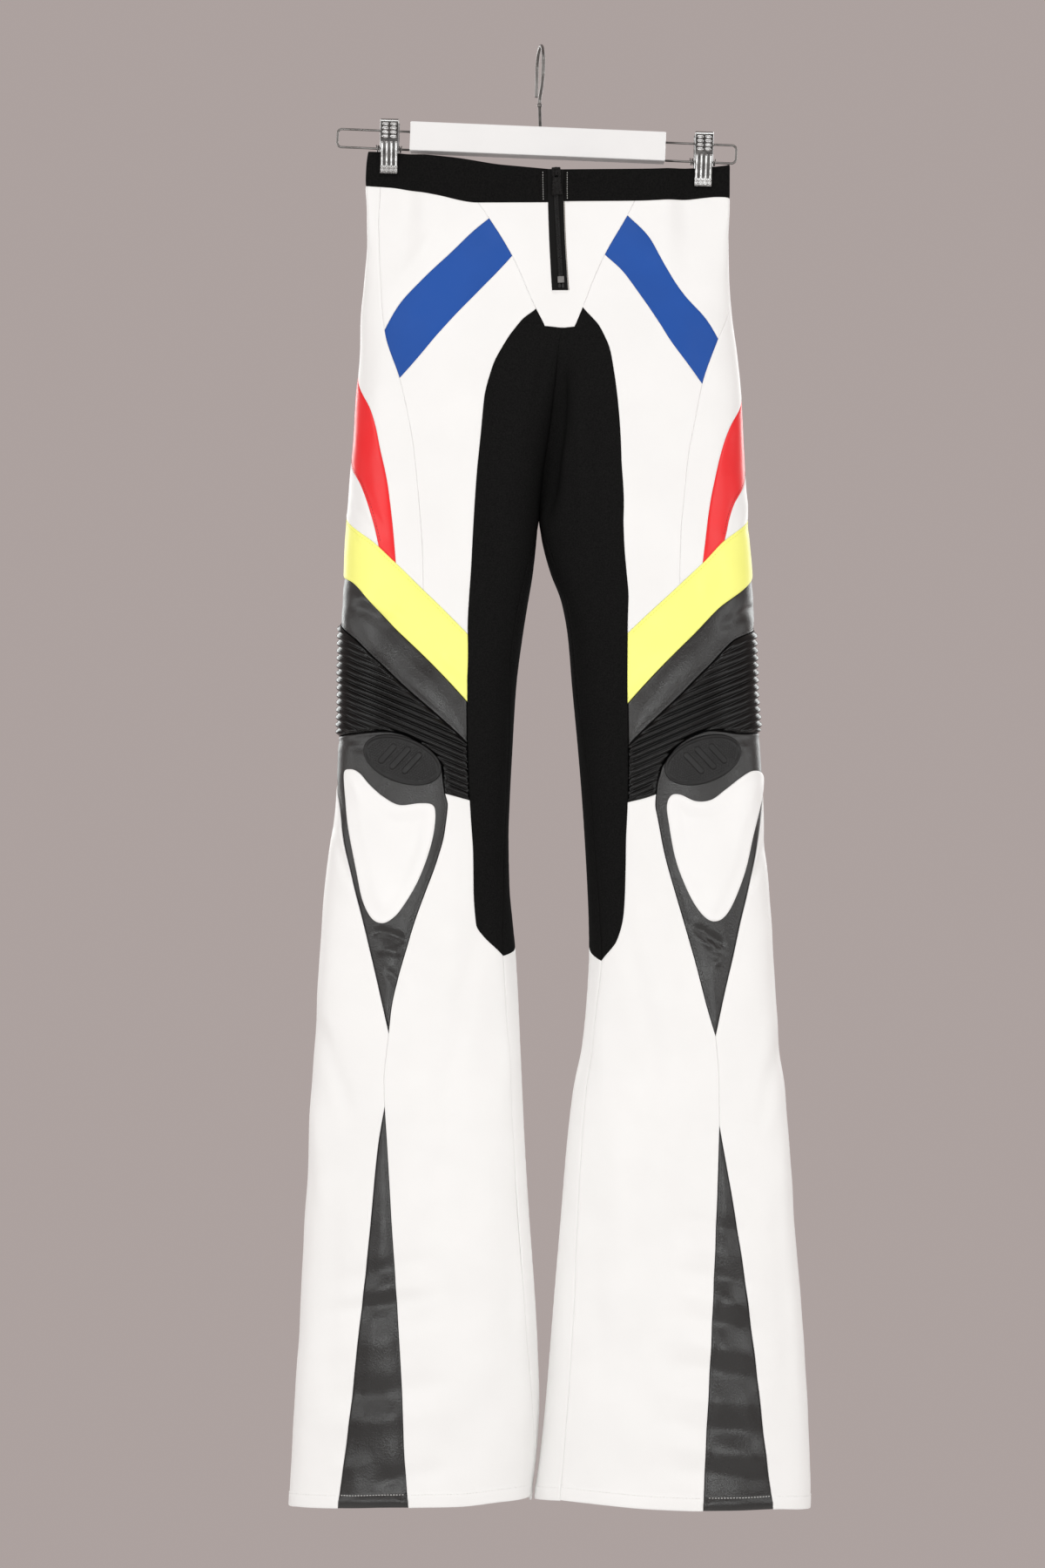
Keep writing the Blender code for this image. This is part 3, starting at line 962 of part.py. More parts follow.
# clips: rows of (down from the top, distance in front of the wires)
CLIP_FORM = ((0.0, 9.6), (4.0, 10.4), (16.0, 9.8), (26.0, 7.6), (36.0, 4.6), (43.0, 3.0), (46.2, 3.0), (48.0, 4.4))
CLIP_T = 1.3
for side, cx, cz in (("L", CLIP_X[0], CLIP_MID_Z[0]), ("R", CLIP_X[1], CLIP_MID_Z[1])):
    lx = (cx - BAR_AT[0]) / math.cos(TILT)
    wire_z = -math.sin(TILT) * lx + BAR_AT[2] + WIRE_DOWN * math.cos(TILT)
    for face_name, k in (("front", -1), ("back", 1)):
        rows = []
        for d, y in CLIP_FORM:
            y2 = y + CLIP_T
            rows.append((d, y, y2))
        verts, faces = [], []
        for d, y, y2 in rows:
            z = cz + CLIP_H / 2 - d
            for x in (-CLIP_W / 2, CLIP_W / 2):
                verts += [(x, k * y, z), (x, k * y2, z)]
        n = len(rows)
        for i in range(n - 1):
            a, b = 4 * i, 4 * (i + 1)
            faces += [(a, b, b + 2, a + 2), (a + 1, a + 3, b + 3, b + 1), (a, a + 1, b + 1, b), (a + 2, b + 2, b + 3, a + 3)]
        faces += [(0, 2, 3, 1), (4 * n - 4, 4 * n - 3, 4 * n - 1, 4 * n - 2)]
        if k > 0:
            faces = [f[::-1] for f in faces]
        lean = Matrix.Rotation(TILT * 0.6, 4, "Y")
        verts = [Vector((cx, 0, cz)) + lean @ Vector((x, y, z - cz)) for x, y, z in verts]
        put(f"clip_{face_name}_{side}", [v / 1000 for v in verts], [f[::-1] for f in faces], *chrome)
    # the coil on the lower wire, as the sleeve it fills
    me = bpy.data.meshes.new("coil")
    bm = bmesh.new()
    loops = []
    for x, r in ((-12.0, 1.4), (-12.0, 3.3), (12.0, 3.3), (12.0, 1.4)):
        loops.append([bm.verts.new(Vector((x, r * math.cos(2 * math.pi * i / 14), r * math.sin(2 * math.pi * i / 14))) / 1000)
                      for i in range(14)])
    for a, b in zip(loops, loops[1:] + loops[:1]):
        for i in range(14):
            bm.faces.new((a[i], a[(i + 1) % 14], b[(i + 1) % 14], b[i]))
    bmesh.ops.recalc_face_normals(bm, faces=bm.faces)
    bm.to_mesh(me)
    bm.free()
    me.materials.append(paint(f"clip_spring_{side}", *chrome))
    ob = bpy.data.objects.new(f"clip_spring_{side}", me)
    ob.matrix_world = hang(lx, 0, WIRE_DOWN)
    bpy.context.scene.collection.objects.link(ob)

# the hook: a round bow seen almost edge on, its open end behind
bow_z = -(HOOK_R - HOOK_WIRE)
hook = [(HOOK_R + 1.0, -39.0), (HOOK_R + 0.9, -33.0), (HOOK_R + 0.4, -26.0)]
hook += [(HOOK_R * math.cos(math.radians(a)), bow_z + HOOK_R * math.sin(math.radians(a))) for a in range(0, 181, 12)]
hook += [(-19.2, -25.0), (-16.6, -31.5), (-12.2, -36.8), (-7.2, -40.5), (-3.2, -43.4), (-0.8, -46.2), (0.0, -49.6)]
rod("hanger_hook", [(-0.3 - 0.14 * y - 0.024 * -z * 0.7, y, z) for y, z in hook], HOOK_WIRE, chrome)
foot_x = -0.3 - 0.024 * 49.6 * 0.7
STEM = ((-49.9, 0.0), (-49.9, 1.9), (-50.6, 2.4), (-51.9, 2.4), (-52.8, 1.5), (-70.9, 1.4), (-70.9, 0.0))
me = bpy.data.meshes.new("hanger_stem")
verts, faces, m = [], [], 14
for z, r in STEM[1:-1]:
    verts += [((foot_x - (z + 50) * -0.03 + r * math.cos(2 * math.pi * i / m)) / 1000, r * math.sin(2 * math.pi * i / m) / 1000, z / 1000)
              for i in range(m)]
for a in range(len(STEM) - 3):
    faces += [(a * m + i, (a + 1) * m + i, (a + 1) * m + (i + 1) % m, a * m + (i + 1) % m) for i in range(m)]
faces += [tuple(range(m)), tuple(reversed(range((len(STEM) - 3) * m, (len(STEM) - 2) * m)))]
put("hanger_stem", verts, faces, (0.10, 0.09, 0.085), 0.35, 0.8)
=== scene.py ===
"""Looks of the biker pants on a clip hanger.

Every cut piece is remade as a fine thin shell on the same skin and seams as
its solid, with its folds, ribs, turned edges and stitches.  Lengths in the
tables are millimetres; meshes are metres in the part's own frame.
"""

import math

import bmesh
import bpy
import numpy as np
from mathutils import Matrix, Vector
from mathutils.geometry import delaunay_2d_cdt
from mathutils.kdtree import KDTree


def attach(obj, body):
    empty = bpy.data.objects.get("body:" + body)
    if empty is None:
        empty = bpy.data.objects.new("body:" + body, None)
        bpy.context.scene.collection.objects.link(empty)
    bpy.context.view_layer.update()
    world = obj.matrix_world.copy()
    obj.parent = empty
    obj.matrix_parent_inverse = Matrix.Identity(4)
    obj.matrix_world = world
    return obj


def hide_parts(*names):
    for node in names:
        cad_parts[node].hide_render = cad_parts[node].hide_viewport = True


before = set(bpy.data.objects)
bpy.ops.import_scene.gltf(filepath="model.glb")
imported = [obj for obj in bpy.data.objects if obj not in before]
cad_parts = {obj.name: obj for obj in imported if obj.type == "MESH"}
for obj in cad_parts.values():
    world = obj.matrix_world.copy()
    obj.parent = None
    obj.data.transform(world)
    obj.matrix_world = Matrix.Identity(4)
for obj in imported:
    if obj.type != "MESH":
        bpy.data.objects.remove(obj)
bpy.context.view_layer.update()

# ------------------------------------------------------------ camera, stage, light
cam = bpy.data.objects.new("camera", bpy.data.cameras.new("camera"))
cam.data.lens, cam.data.sensor_width = 66.667, 36.0
cam.location = (-0.0164, -2.6, -0.6587)
cam.rotation_euler = (math.radians(90), 0, 0)
bpy.context.scene.collection.objects.link(cam)
bpy.context.scene.camera = cam
bpy.context.scene.view_settings.view_transform = "Standard"

world = bpy.data.worlds.new("studio")
world.use_nodes = True
world.node_tree.nodes["Background"].inputs[0].default_value = (0.415, 0.358, 0.345, 1)
world.node_tree.nodes["Background"].inputs[1].default_value = 1.0
bpy.context.scene.world = world

floor_me = bpy.data.meshes.new("floor")
bm = bmesh.new()
bmesh.ops.create_circle(bm, cap_ends=True, segments=96, radius=2.3)
bm.to_mesh(floor_me)
bm.free()
floor = bpy.data.objects.new("floor", floor_me)
floor.location = (0, 0, -2.2)
bpy.context.scene.collection.objects.link(floor)


def area_light(name, place, aim, size, power, gloss=1.0):
    data = bpy.data.lights.new(name, "AREA")
    data.shape, data.size, data.size_y = "RECTANGLE", size[0], size[1]
    data.energy, data.specular_factor, data.color = power, gloss, (0.965, 1.0, 0.995)
    ob = bpy.data.objects.new(name, data)
    ob.location = place
    ob.rotation_mode = "QUATERNION"
    ob.rotation_quaternion = (Vector(aim) - Vector(place)).to_track_quat("-Z", "Y")
    bpy.context.scene.collection.objects.link(ob)


area_light("key_left", (-2.1, -2.3, 0.05), (0, 0, -0.75), (1.5, 2.2), 23.0, 0.95)
area_light("key_right", (2.2, -2.2, -0.1), (0, 0, -0.75), (1.5, 2.2), 20.5, 0.95)
area_light("side_left", (-2.5, -0.5, -0.9), (0, 0, -0.85), (1.0, 1.8), 9, 0.12)
area_light("side_right", (2.6, -0.5, -0.9), (0, 0, -0.85), (1.0, 1.8), 9, 0.12)
area_light("front_low", (0.0, -3.5, -1.25), (0, 0, -1.05), (2.4, 0.45), 28, 0.72)
area_light("top", (0.0, -1.7, 1.35), (0, 0, -0.8), (2.2, 0.5), 14, 4.2)
area_light("back_left", (-1.9, 2.4, 0.3), (0, 0, -0.7), (1.5, 2.0), 33, 0.15)
area_light("back_right", (1.9, 2.4, 0.3), (0, 0, -0.7), (1.5, 2.0), 31, 0.15)


# ------------------------------------------------------------ materials
class Nodes:
    """A material under construction: its tree and the last bump made."""

    def __init__(self, name, colour, rough, metal=0.0, specular=0.5, coat=0.0, coat_rough=0.1, sheen=0.0,
                 sheen_rough=0.5):
        self.m = bpy.data.materials.new(name)
        self.m.use_nodes = True
        self.t = self.m.node_tree
        self.p = self.t.nodes["Principled BSDF"]
        self.coord = self.add("ShaderNodeTexCoord").outputs["Object"]
        self.p.inputs["Base Color"].default_value = (*colour, 1)
        self.p.inputs["Roughness"].default_value = rough
        self.p.inputs["Metallic"].default_value = metal
        self.p.inputs["Specular IOR Level"].default_value = specular
        self.p.inputs["Coat Weight"].default_value = coat
        self.p.inputs["Coat Roughness"].default_value = coat_rough
        self.p.inputs["Sheen Weight"].default_value = sheen
        self.p.inputs["Sheen Roughness"].default_value = sheen_rough
        self.m.diffuse_color = (*colour, 1)
        self.colour, self.rough, self.normal = colour, rough, None

    def add(self, kind, **sets):
        n = self.t.nodes.new(kind)
        for k, v in sets.items():
            setattr(n, k, v)
        return n

    def link(self, a, b):
        self.t.links.new(a, b)

    def stretched(self, scale):
        mp = self.add("ShaderNodeMapping")
        mp.inputs["Scale"].default_value = scale
        self.link(self.coord, mp.inputs["Vector"])
        return mp.outputs[0]

    def noise(self, scale, detail=2.0, vec=None, rough=0.5):
        n = self.add("ShaderNodeTexNoise")
        n.inputs["Scale"].default_value = scale
        n.inputs["Detail"].default_value = detail
        n.inputs["Roughness"].default_value = rough
        self.link(vec or self.coord, n.inputs["Vector"])
        return n.outputs["Fac"]

    def cells(self, scale, feature="DISTANCE_TO_EDGE", vec=None):
        n = self.add("ShaderNodeTexVoronoi", feature=feature)
        n.inputs["Scale"].default_value = scale
        self.link(vec or self.coord, n.inputs["Vector"])
        return n.outputs["Distance"]

    def wave(self, scale, direction="X", distort=0.0, vec=None):
        n = self.add("ShaderNodeTexWave", wave_type="BANDS", bands_direction=direction, wave_profile="SIN")
        n.inputs["Scale"].default_value = scale
        n.inputs["Distortion"].default_value = distort
        n.inputs["Detail"].default_value = 1.0
        self.link(vec or self.coord, n.inputs["Vector"])
        return n.outputs["Fac"]

    def bump(self, height, distance, strength=1.0):
        b = self.add("ShaderNodeBump")
        b.inputs["Distance"].default_value = distance
        b.inputs["Strength"].default_value = strength
        self.link(height, b.inputs["Height"])
        if self.normal:
            self.link(self.normal, b.inputs["Normal"])
        self.normal = b.outputs["Normal"]
        self.link(self.normal, self.p.inputs["Normal"])

    def ramp(self, value, lo, hi, a=0.3, b=0.7):
        r = self.add("ShaderNodeMapRange")
        for key, v in (("From Min", a), ("From Max", b), ("To Min", lo), ("To Max", hi)):
            r.inputs[key].default_value = v
        self.link(value, r.inputs["Value"])
        return r.outputs[0]

    def vary_rough(self, value, by):
        self.link(self.ramp(value, self.rough - by, self.rough + by), self.p.inputs["Roughness"])

    def vary_colour(self, value, a, b, lo=0.35, hi=0.65):
        mx = self.add("ShaderNodeMix", data_type="RGBA")
        mx.inputs[6].default_value = (*a, 1)
        mx.inputs[7].default_value = (*b, 1)
        self.link(self.ramp(value, 0.0, 1.0, lo, hi), mx.inputs[0])
        self.link(mx.outputs[2], self.p.inputs["Base Color"])


def tone(c, k):
    return tuple(min(1.0, max(0.0, v * k)) for v in c)


def faux_leather(name, colour, rough, grain=1.0, spread=0.025, **more):
    """Coated cloth: fine pebbled grain, faint pores, a little unevenness."""
    n = Nodes(name, colour, rough, **more)
    n.vary_colour(n.noise(16.0, 3.0), tone(colour, 1 - spread), tone(colour, 1 + spread))
    n.vary_rough(n.noise(55.0, 3.0), 0.05)
    n.bump(n.noise(160.0, 2.0), 0.0004, 0.22 * grain)
    n.bump(n.cells(900.0), 0.00012, min(1.0, 0.5 * grain))
    if grain > 1.4:
        n.bump(n.noise(620.0, 3.0), 0.00034, 0.7)
    n.bump(n.noise(2600.0, 2.0), 0.00005, 0.5 * grain)
    return n.m


M = {}
M["white"] = faux_leather("white_coated", (0.868, 0.868, 0.860), 0.46, 0.7, 0.012)
M["pad"] = faux_leather("white_coated_pad", (0.880, 0.880, 0.874), 0.42, 0.6, 0.012)
M["blue"] = faux_leather("blue_coated", (0.007, 0.073, 0.350), 0.50, 0.8, 0.05, specular=0.28)
M["red"] = faux_leather("red_coated", (0.860, 0.016, 0.020), 0.34, 0.8, 0.04, coat=0.10, coat_rough=0.22, specular=0.38)
M["yellow"] = faux_leather("yellow_coated", (0.970, 0.975, 0.235), 0.44, 0.7, 0.02)
M["leather"] = faux_leather("black_coated", (0.0088, 0.0087, 0.0086), 0.32, 1.8, 0.25, specular=0.66)
M["rib"] = faux_leather("black_coated_ribs", (0.0018, 0.0018, 0.0018), 0.20, 0.7, 0.15, specular=0.28)

n = Nodes("black_stretch", (0.0085, 0.0085, 0.0085), 0.9, specular=0.02)
fine = n.stretched((1.0, 1.0, 1.0))
n.vary_colour(n.noise(900.0, 2.0), (0.0064, 0.0064, 0.0064), (0.0106, 0.0105, 0.0104))
n.bump(n.wave(330.0, "X", 1.2), 0.00010, 0.55)
n.bump(n.wave(300.0, "Z", 1.5), 0.00008, 0.45)
n.bump(n.noise(220.0, 3.0), 0.0003, 0.18)
M["stretch"] = n.m

n = Nodes("black_waistband", (0.0070, 0.0070, 0.0069), 0.85, specular=0.03)
n.vary_colour(n.noise(700.0, 2.0), (0.0052, 0.0052, 0.0052), (0.0088, 0.0086, 0.0084))
n.bump(n.wave(420.0, "DIAGONAL", 0.6), 0.00012, 0.5)
n.bump(n.noise(90.0, 3.0), 0.0006, 0.2)
M["band"] = n.m

n = Nodes("black_rubber", (0.0070, 0.0070, 0.0072), 0.44, specular=0.36)
n.vary_colour(n.noise(60.0, 3.0), (0.0055, 0.0055, 0.0057), (0.0090, 0.0090, 0.0092))
n.vary_rough(n.noise(240.0, 2.0), 0.07)
n.bump(n.noise(1500.0, 2.0), 0.00006, 0.6)
M["rubber"] = n.m

n = Nodes("zip_tape_cloth", (0.0060, 0.0060, 0.0060), 0.80, specular=0.15)
n.vary_colour(n.wave(480.0, "Z", 0.5), (0.0035, 0.0035, 0.0035), (0.0090, 0.0088, 0.0086))
n.bump(n.wave(480.0, "Z", 0.5), 0.00015, 0.7)
n.bump(n.wave(520.0, "X", 0.5), 0.00010, 0.5)
M["tape"] = n.m

n = Nodes("zip_teeth_black", (0.007, 0.007, 0.007), 0.34, specular=0.45)
n.vary_colour(n.noise(400.0, 2.0), (0.005, 0.005, 0.005), (0.010, 0.010, 0.0098))
n.vary_rough(n.noise(300.0), 0.08)
M["teeth"] = n.m

n = Nodes("zip_metal_dark", (0.004, 0.004, 0.004), 0.30, specular=0.25)
n.vary_colour(n.noise(300.0, 3.0), (0.0030, 0.0030, 0.0030), (0.0050, 0.0050, 0.0049))
n.vary_rough(n.noise(600.0, 3.0), 0.10)
n.bump(n.noise(900.0, 2.0), 0.00004, 0.5)
M["zip_metal"] = n.m

n = Nodes("zip_stop_grey", (0.170, 0.165, 0.160), 0.42, metal=0.3)
n.vary_colour(n.noise(500.0, 3.0), (0.140, 0.136, 0.132), (0.200, 0.195, 0.190))
n.bump(n.noise(900.0, 2.0), 0.00004, 0.5)
M["stop"] = n.m

n = Nodes("plated_wire", (0.20, 0.192, 0.185), 0.30, metal=1.0)
n.vary_colour(n.noise(40.0, 4.0), (0.160, 0.152, 0.146), (0.240, 0.232, 0.226))
n.vary_rough(n.noise(60.0, 3.0), 0.04)
n.bump(n.noise(700.0, 3.0), 0.00003, 0.5)
M["chrome"] = n.m

n = Nodes("pressed_plate", (0.42, 0.415, 0.41), 0.24, metal=1.0)
n.vary_colour(n.noise(60.0, 4.0), (0.33, 0.325, 0.32), (0.50, 0.50, 0.50))
n.vary_rough(n.noise(240.0, 4.0), 0.07)
n.bump(n.noise(900.0, 3.0), 0.00003, 0.5)
M["plate"] = n.m

# painted shade: a darker metal for the sunk faces of the clip jaws, standing in for the shade and dark reflections in
# those hollows
n = Nodes("plate_hollows_painted_shade", (0.085, 0.083, 0.081), 0.36, metal=1.0)
n.vary_colour(n.noise(160.0, 4.0), (0.060, 0.059, 0.058), (0.115, 0.112, 0.109))
n.vary_rough(n.noise(240.0, 4.0), 0.08)
n.bump(n.noise(900.0, 3.0), 0.00003, 0.5)
M["hollow"] = n.m

n = Nodes("dark_stem", (0.085, 0.080, 0.076), 0.34, metal=0.9)
n.vary_colour(n.noise(200.0, 3.0), (0.050, 0.048, 0.046), (0.130, 0.124, 0.118))
n.bump(n.noise(900.0, 2.0), 0.00003, 0.5)
M["stem"] = n.m

n = Nodes("white_lacquer", (0.80, 0.80, 0.80), 0.36, coat=0.15, coat_rough=0.25)
n.vary_colour(n.noise(9.0, 3.0), (0.785, 0.785, 0.787), (0.815, 0.815, 0.813))
n.vary_rough(n.noise(70.0, 3.0), 0.05)
n.bump(n.noise(1.0, 4.0, n.stretched((25.0, 160.0, 160.0))), 0.0003, 0.15)
M["lacquer"] = n.m

for key, colour in (("thread_white", (0.84, 0.835, 0.82)), ("thread_black", (0.004, 0.004, 0.004)),
                    ("thread_red", (0.36, 0.010, 0.012)), ("thread_yellow", (0.88, 0.90, 0.13)),
                    ("thread_pale", (0.84, 0.835, 0.82)), ("thread_tan", (0.115, 0.070, 0.028))):
    n = Nodes(key, colour, 0.62, sheen=0.2)
    n.vary_colour(n.noise(900.0, 2.0), tone(colour, 0.8), tone(colour, 1.12))
    n.bump(n.wave(1500.0, "DIAGONAL", 0.5), 0.00008, 0.7)
    M[key] = n.m

n = Nodes("studio_floor", (0.72, 0.71, 0.70), 0.85)
n.vary_colour(n.noise(1.5, 2.0), (0.70, 0.69, 0.68), (0.74, 0.73, 0.72))
floor_me.materials.append(n.m)


# ------------------------------------------------------------ sizes (mm)
SEAM_GAP = 0.3        # between two pieces at a seam
CLOTH = 1.5           # wall of the faux leather and of the stretch cloth
BAND = 1.7            # wall of the doubled waistband
FLATNESS = 0.25       # squares the sections a little: 0 is an ellipse
SIDE_SEAM = -0.15     # where the coloured panels end, just behind the side
ROW = 3.2             # spacing of points along a seam
FOLD_U = (0.0, 9.0)           # and the columns of points at the outer fold
CLIP_X = (-135.5, 145.5)      # where the clips press front and back together
CLIP_FLAT, CLIP_FADE = 11.5, 24.0
PRESSED = 2.5         # half thickness of the pressed waistband
CROTCH_Z = -424.7
BACK_GUSSET_TOP = -385.0
# the crest of the right leg's slanting inner wall: height and place
CREST_Z = (-424.0, -367.0, -312.0, -272.0, -258.0)
CREST_X = (23.5, 22.5, 21.8, 20.5, 17.5)

TILT = math.radians(2.4)      # the hanger hangs a little lower on its right
BAR_LEN, BAR_H, BAR_T = 228.5, 26.0, 17.0
BAR_AT = (-2.8, 0.0, -84.6)
WIRE_R = 1.0
WIRE_UP, WIRE_DOWN = 5.0, -11.2       # the two wires, from the bar's middle
WIRE_END_L, WIRE_END_R = -182.0, 175.0
CLIP_W, CLIP_H = 16.7, 48.0
CLIP_MID_Z = (-89.0, -100.4)          # middle height of each clip
HOOK_R, HOOK_WIRE = 20.0, 1.5

# half widths and depths of the sections, one row for each level:
# xo = outer side, xi = centre or inseam side, bf and bb = half depth in
# front and behind, wf and wb = how far the front and back still run straight
# across to the other half (1) or close as a leg of their own (0)
COLUMNS = ("z", "xoL", "xiL", "xiR", "xoR", "bf", "bb", "wf", "wb", "ycL", "ycR")
SECTIONS = (
    (-89.3, -154.4, 13.1, 13.5, 169.1, 11.5, 11.5, 1.0, 1.0, 0.0, 0.0),
    (-106.5, -156.2, 13.2, 13.6, 169.4, 12.6, 13.1, 1.0, 1.0, 0.0, 0.0),
    (-123.6, -156.9, 13.3, 13.7, 169.3, 14.0, 15.0, 1.0, 1.0, 0.0, 0.0),
    (-143.9, -156.1, 13.6, 14.0, 169.1, 17.1, 19.7, 1.0, 1.0, 0.0, 0.0),
    (-171.2, -155.9, 14.4, 14.8, 168.0, 22.1, 27.1, 1.0, 1.0, 0.0, 0.0),
    (-206.3, -158.1, 16.2, 16.6, 168.5, 28.4, 36.1, 1.0, 1.0, 0.0, 0.0),
    (-242.2, -160.8, 18.3, 18.7, 171.7, 34.0, 44.0, 1.0, 1.0, 0.0, 0.0),
    (-250.8, -161.2, 18.5, 18.9, 172.8, 35.2, 45.5, 0.985, 1.0, 0.0, 0.0),
    (-265.6, -161.8, 16.0, 16.4, 174.5, 37.0, 47.8, 0.93, 1.0, 0.0, 0.0),
    (-292.9, -163.4, 13.1, 13.5, 177.2, 39.9, 51.1, 0.75, 1.0, 0.0, 0.0),
    (-321.0, -166.2, 9.8, 10.2, 179.6, 42.1, 53.0, 0.55, 0.98, 0.0, 0.0),
    (-349.1, -168.0, 6.3, 6.7, 181.5, 43.6, 53.0, 0.36, 0.832, 0.0, 0.0),
    (-383.4, -170.7, 1.4, 1.8, 183.2, 44.5, 51.1, 0.15, 0.45, 0.0, 0.0),
    (-413.0, -173.3, -1.5, -0.8, 184.6, 45.0, 48.0, 0.03, 0.08, 0.0, 0.0),
    (-424.7, -174.2, -2.5, -1.1, 185.3, 45.0, 47.0, 0.0, 0.0, 0.0, 0.0),
    (-435.6, -175.0, -3.4, 0.0, 186.4, 45.0, 46.4, 0.0, 0.0, 0.0, 0.0),
    (-449.7, -175.8, -4.7, 2.8, 187.8, 45.0, 45.8, 0.0, 0.0, 0.0, 0.0),
    (-471.5, -176.6, -7.2, 9.1, 189.6, 45.0, 45.0, 0.0, 0.0, 0.0, 0.0),
    (-494.9, -177.2, -11.1, 18.1, 190.7, 44.7, 44.3, 0.0, 0.0, 0.0, 0.0),
    (-525.3, -181.0, -16.0, 23.9, 191.9, 43.7, 43.6, 0.0, 0.0, 0.0, 0.0),
    (-572.9, -181.5, -22.0, 28.0, 193.9, 42.1, 42.1, 0.0, 0.0, 0.0, 0.0),
    (-630.6, -181.8, -25.5, 33.4, 196.7, 40.0, 40.0, 0.0, 0.0, 0.0, 0.0),
    (-672.8, -183.6, -27.7, 36.8, 199.0, 38.8, 38.8, 0.0, 0.0, 0.0, 0.0),
    (-705.5, -187.4, -28.8, 39.0, 200.4, 38.0, 38.0, 0.0, 0.0, 0.0, 0.0),
    (-751.5, -193.6, -27.9, 41.6, 203.9, 36.9, 36.9, 0.0, 0.0, 0.0, 0.0),
    (-783.5, -196.4, -25.0, 42.8, 206.5, 36.2, 36.2, 0.0, 0.0, 0.0, 0.0),
    (-806.9, -198.0, -22.7, 43.1, 208.0, 36.0, 36.0, 0.0, 0.0, 0.0, 0.0),
    (-853.7, -200.5, -20.0, 40.8, 210.8, 36.2, 36.2, 0.0, 0.0, 0.0, 0.0),
    (-892.7, -202.3, -18.3, 36.9, 213.7, 36.7, 36.7, 0.0, 0.0, 0.1, -0.1),
    (-931.7, -204.5, -16.6, 29.0, 218.3, 37.3, 37.3, 0.0, 0.0, 0.2, -0.2),
    (-982.4, -207.5, -14.2, 23.1, 221.7, 38.0, 38.0, 0.0, 0.0, 0.4, -0.4),
    (-1048.7, -211.4, -10.1, 17.6, 226.8, 38.9, 38.9, 0.0, 0.0, 0.7, -0.7),
    (-1109.6, -214.6, -5.7, 12.4, 231.9, 39.7, 39.7, 0.0, 0.0, 1.0, -1.0),
    (-1160.2, -217.3, -2.9, 8.4, 235.8, 40.3, 40.3, 0.0, 0.0, 1.3, -1.3),
    (-1211.0, -220.5, -1.3, 4.2, 238.5, 40.9, 40.9, 0.0, 0.0, 1.5, -1.5),
    (-1259.3, -223.5, -3.8, -1.0, 240.3, 41.4, 41.4, 0.0, 0.0, 1.8, -1.8),
    (-1290.5, -225.0, -7.6, -5.1, 241.6, 41.7, 41.7, 0.0, 0.0, 1.9, -1.9),
    (-1313.9, -225.6, -9.5, -6.5, 241.4, 42.0, 42.0, 0.0, 0.0, 2.0, -2.0),
)

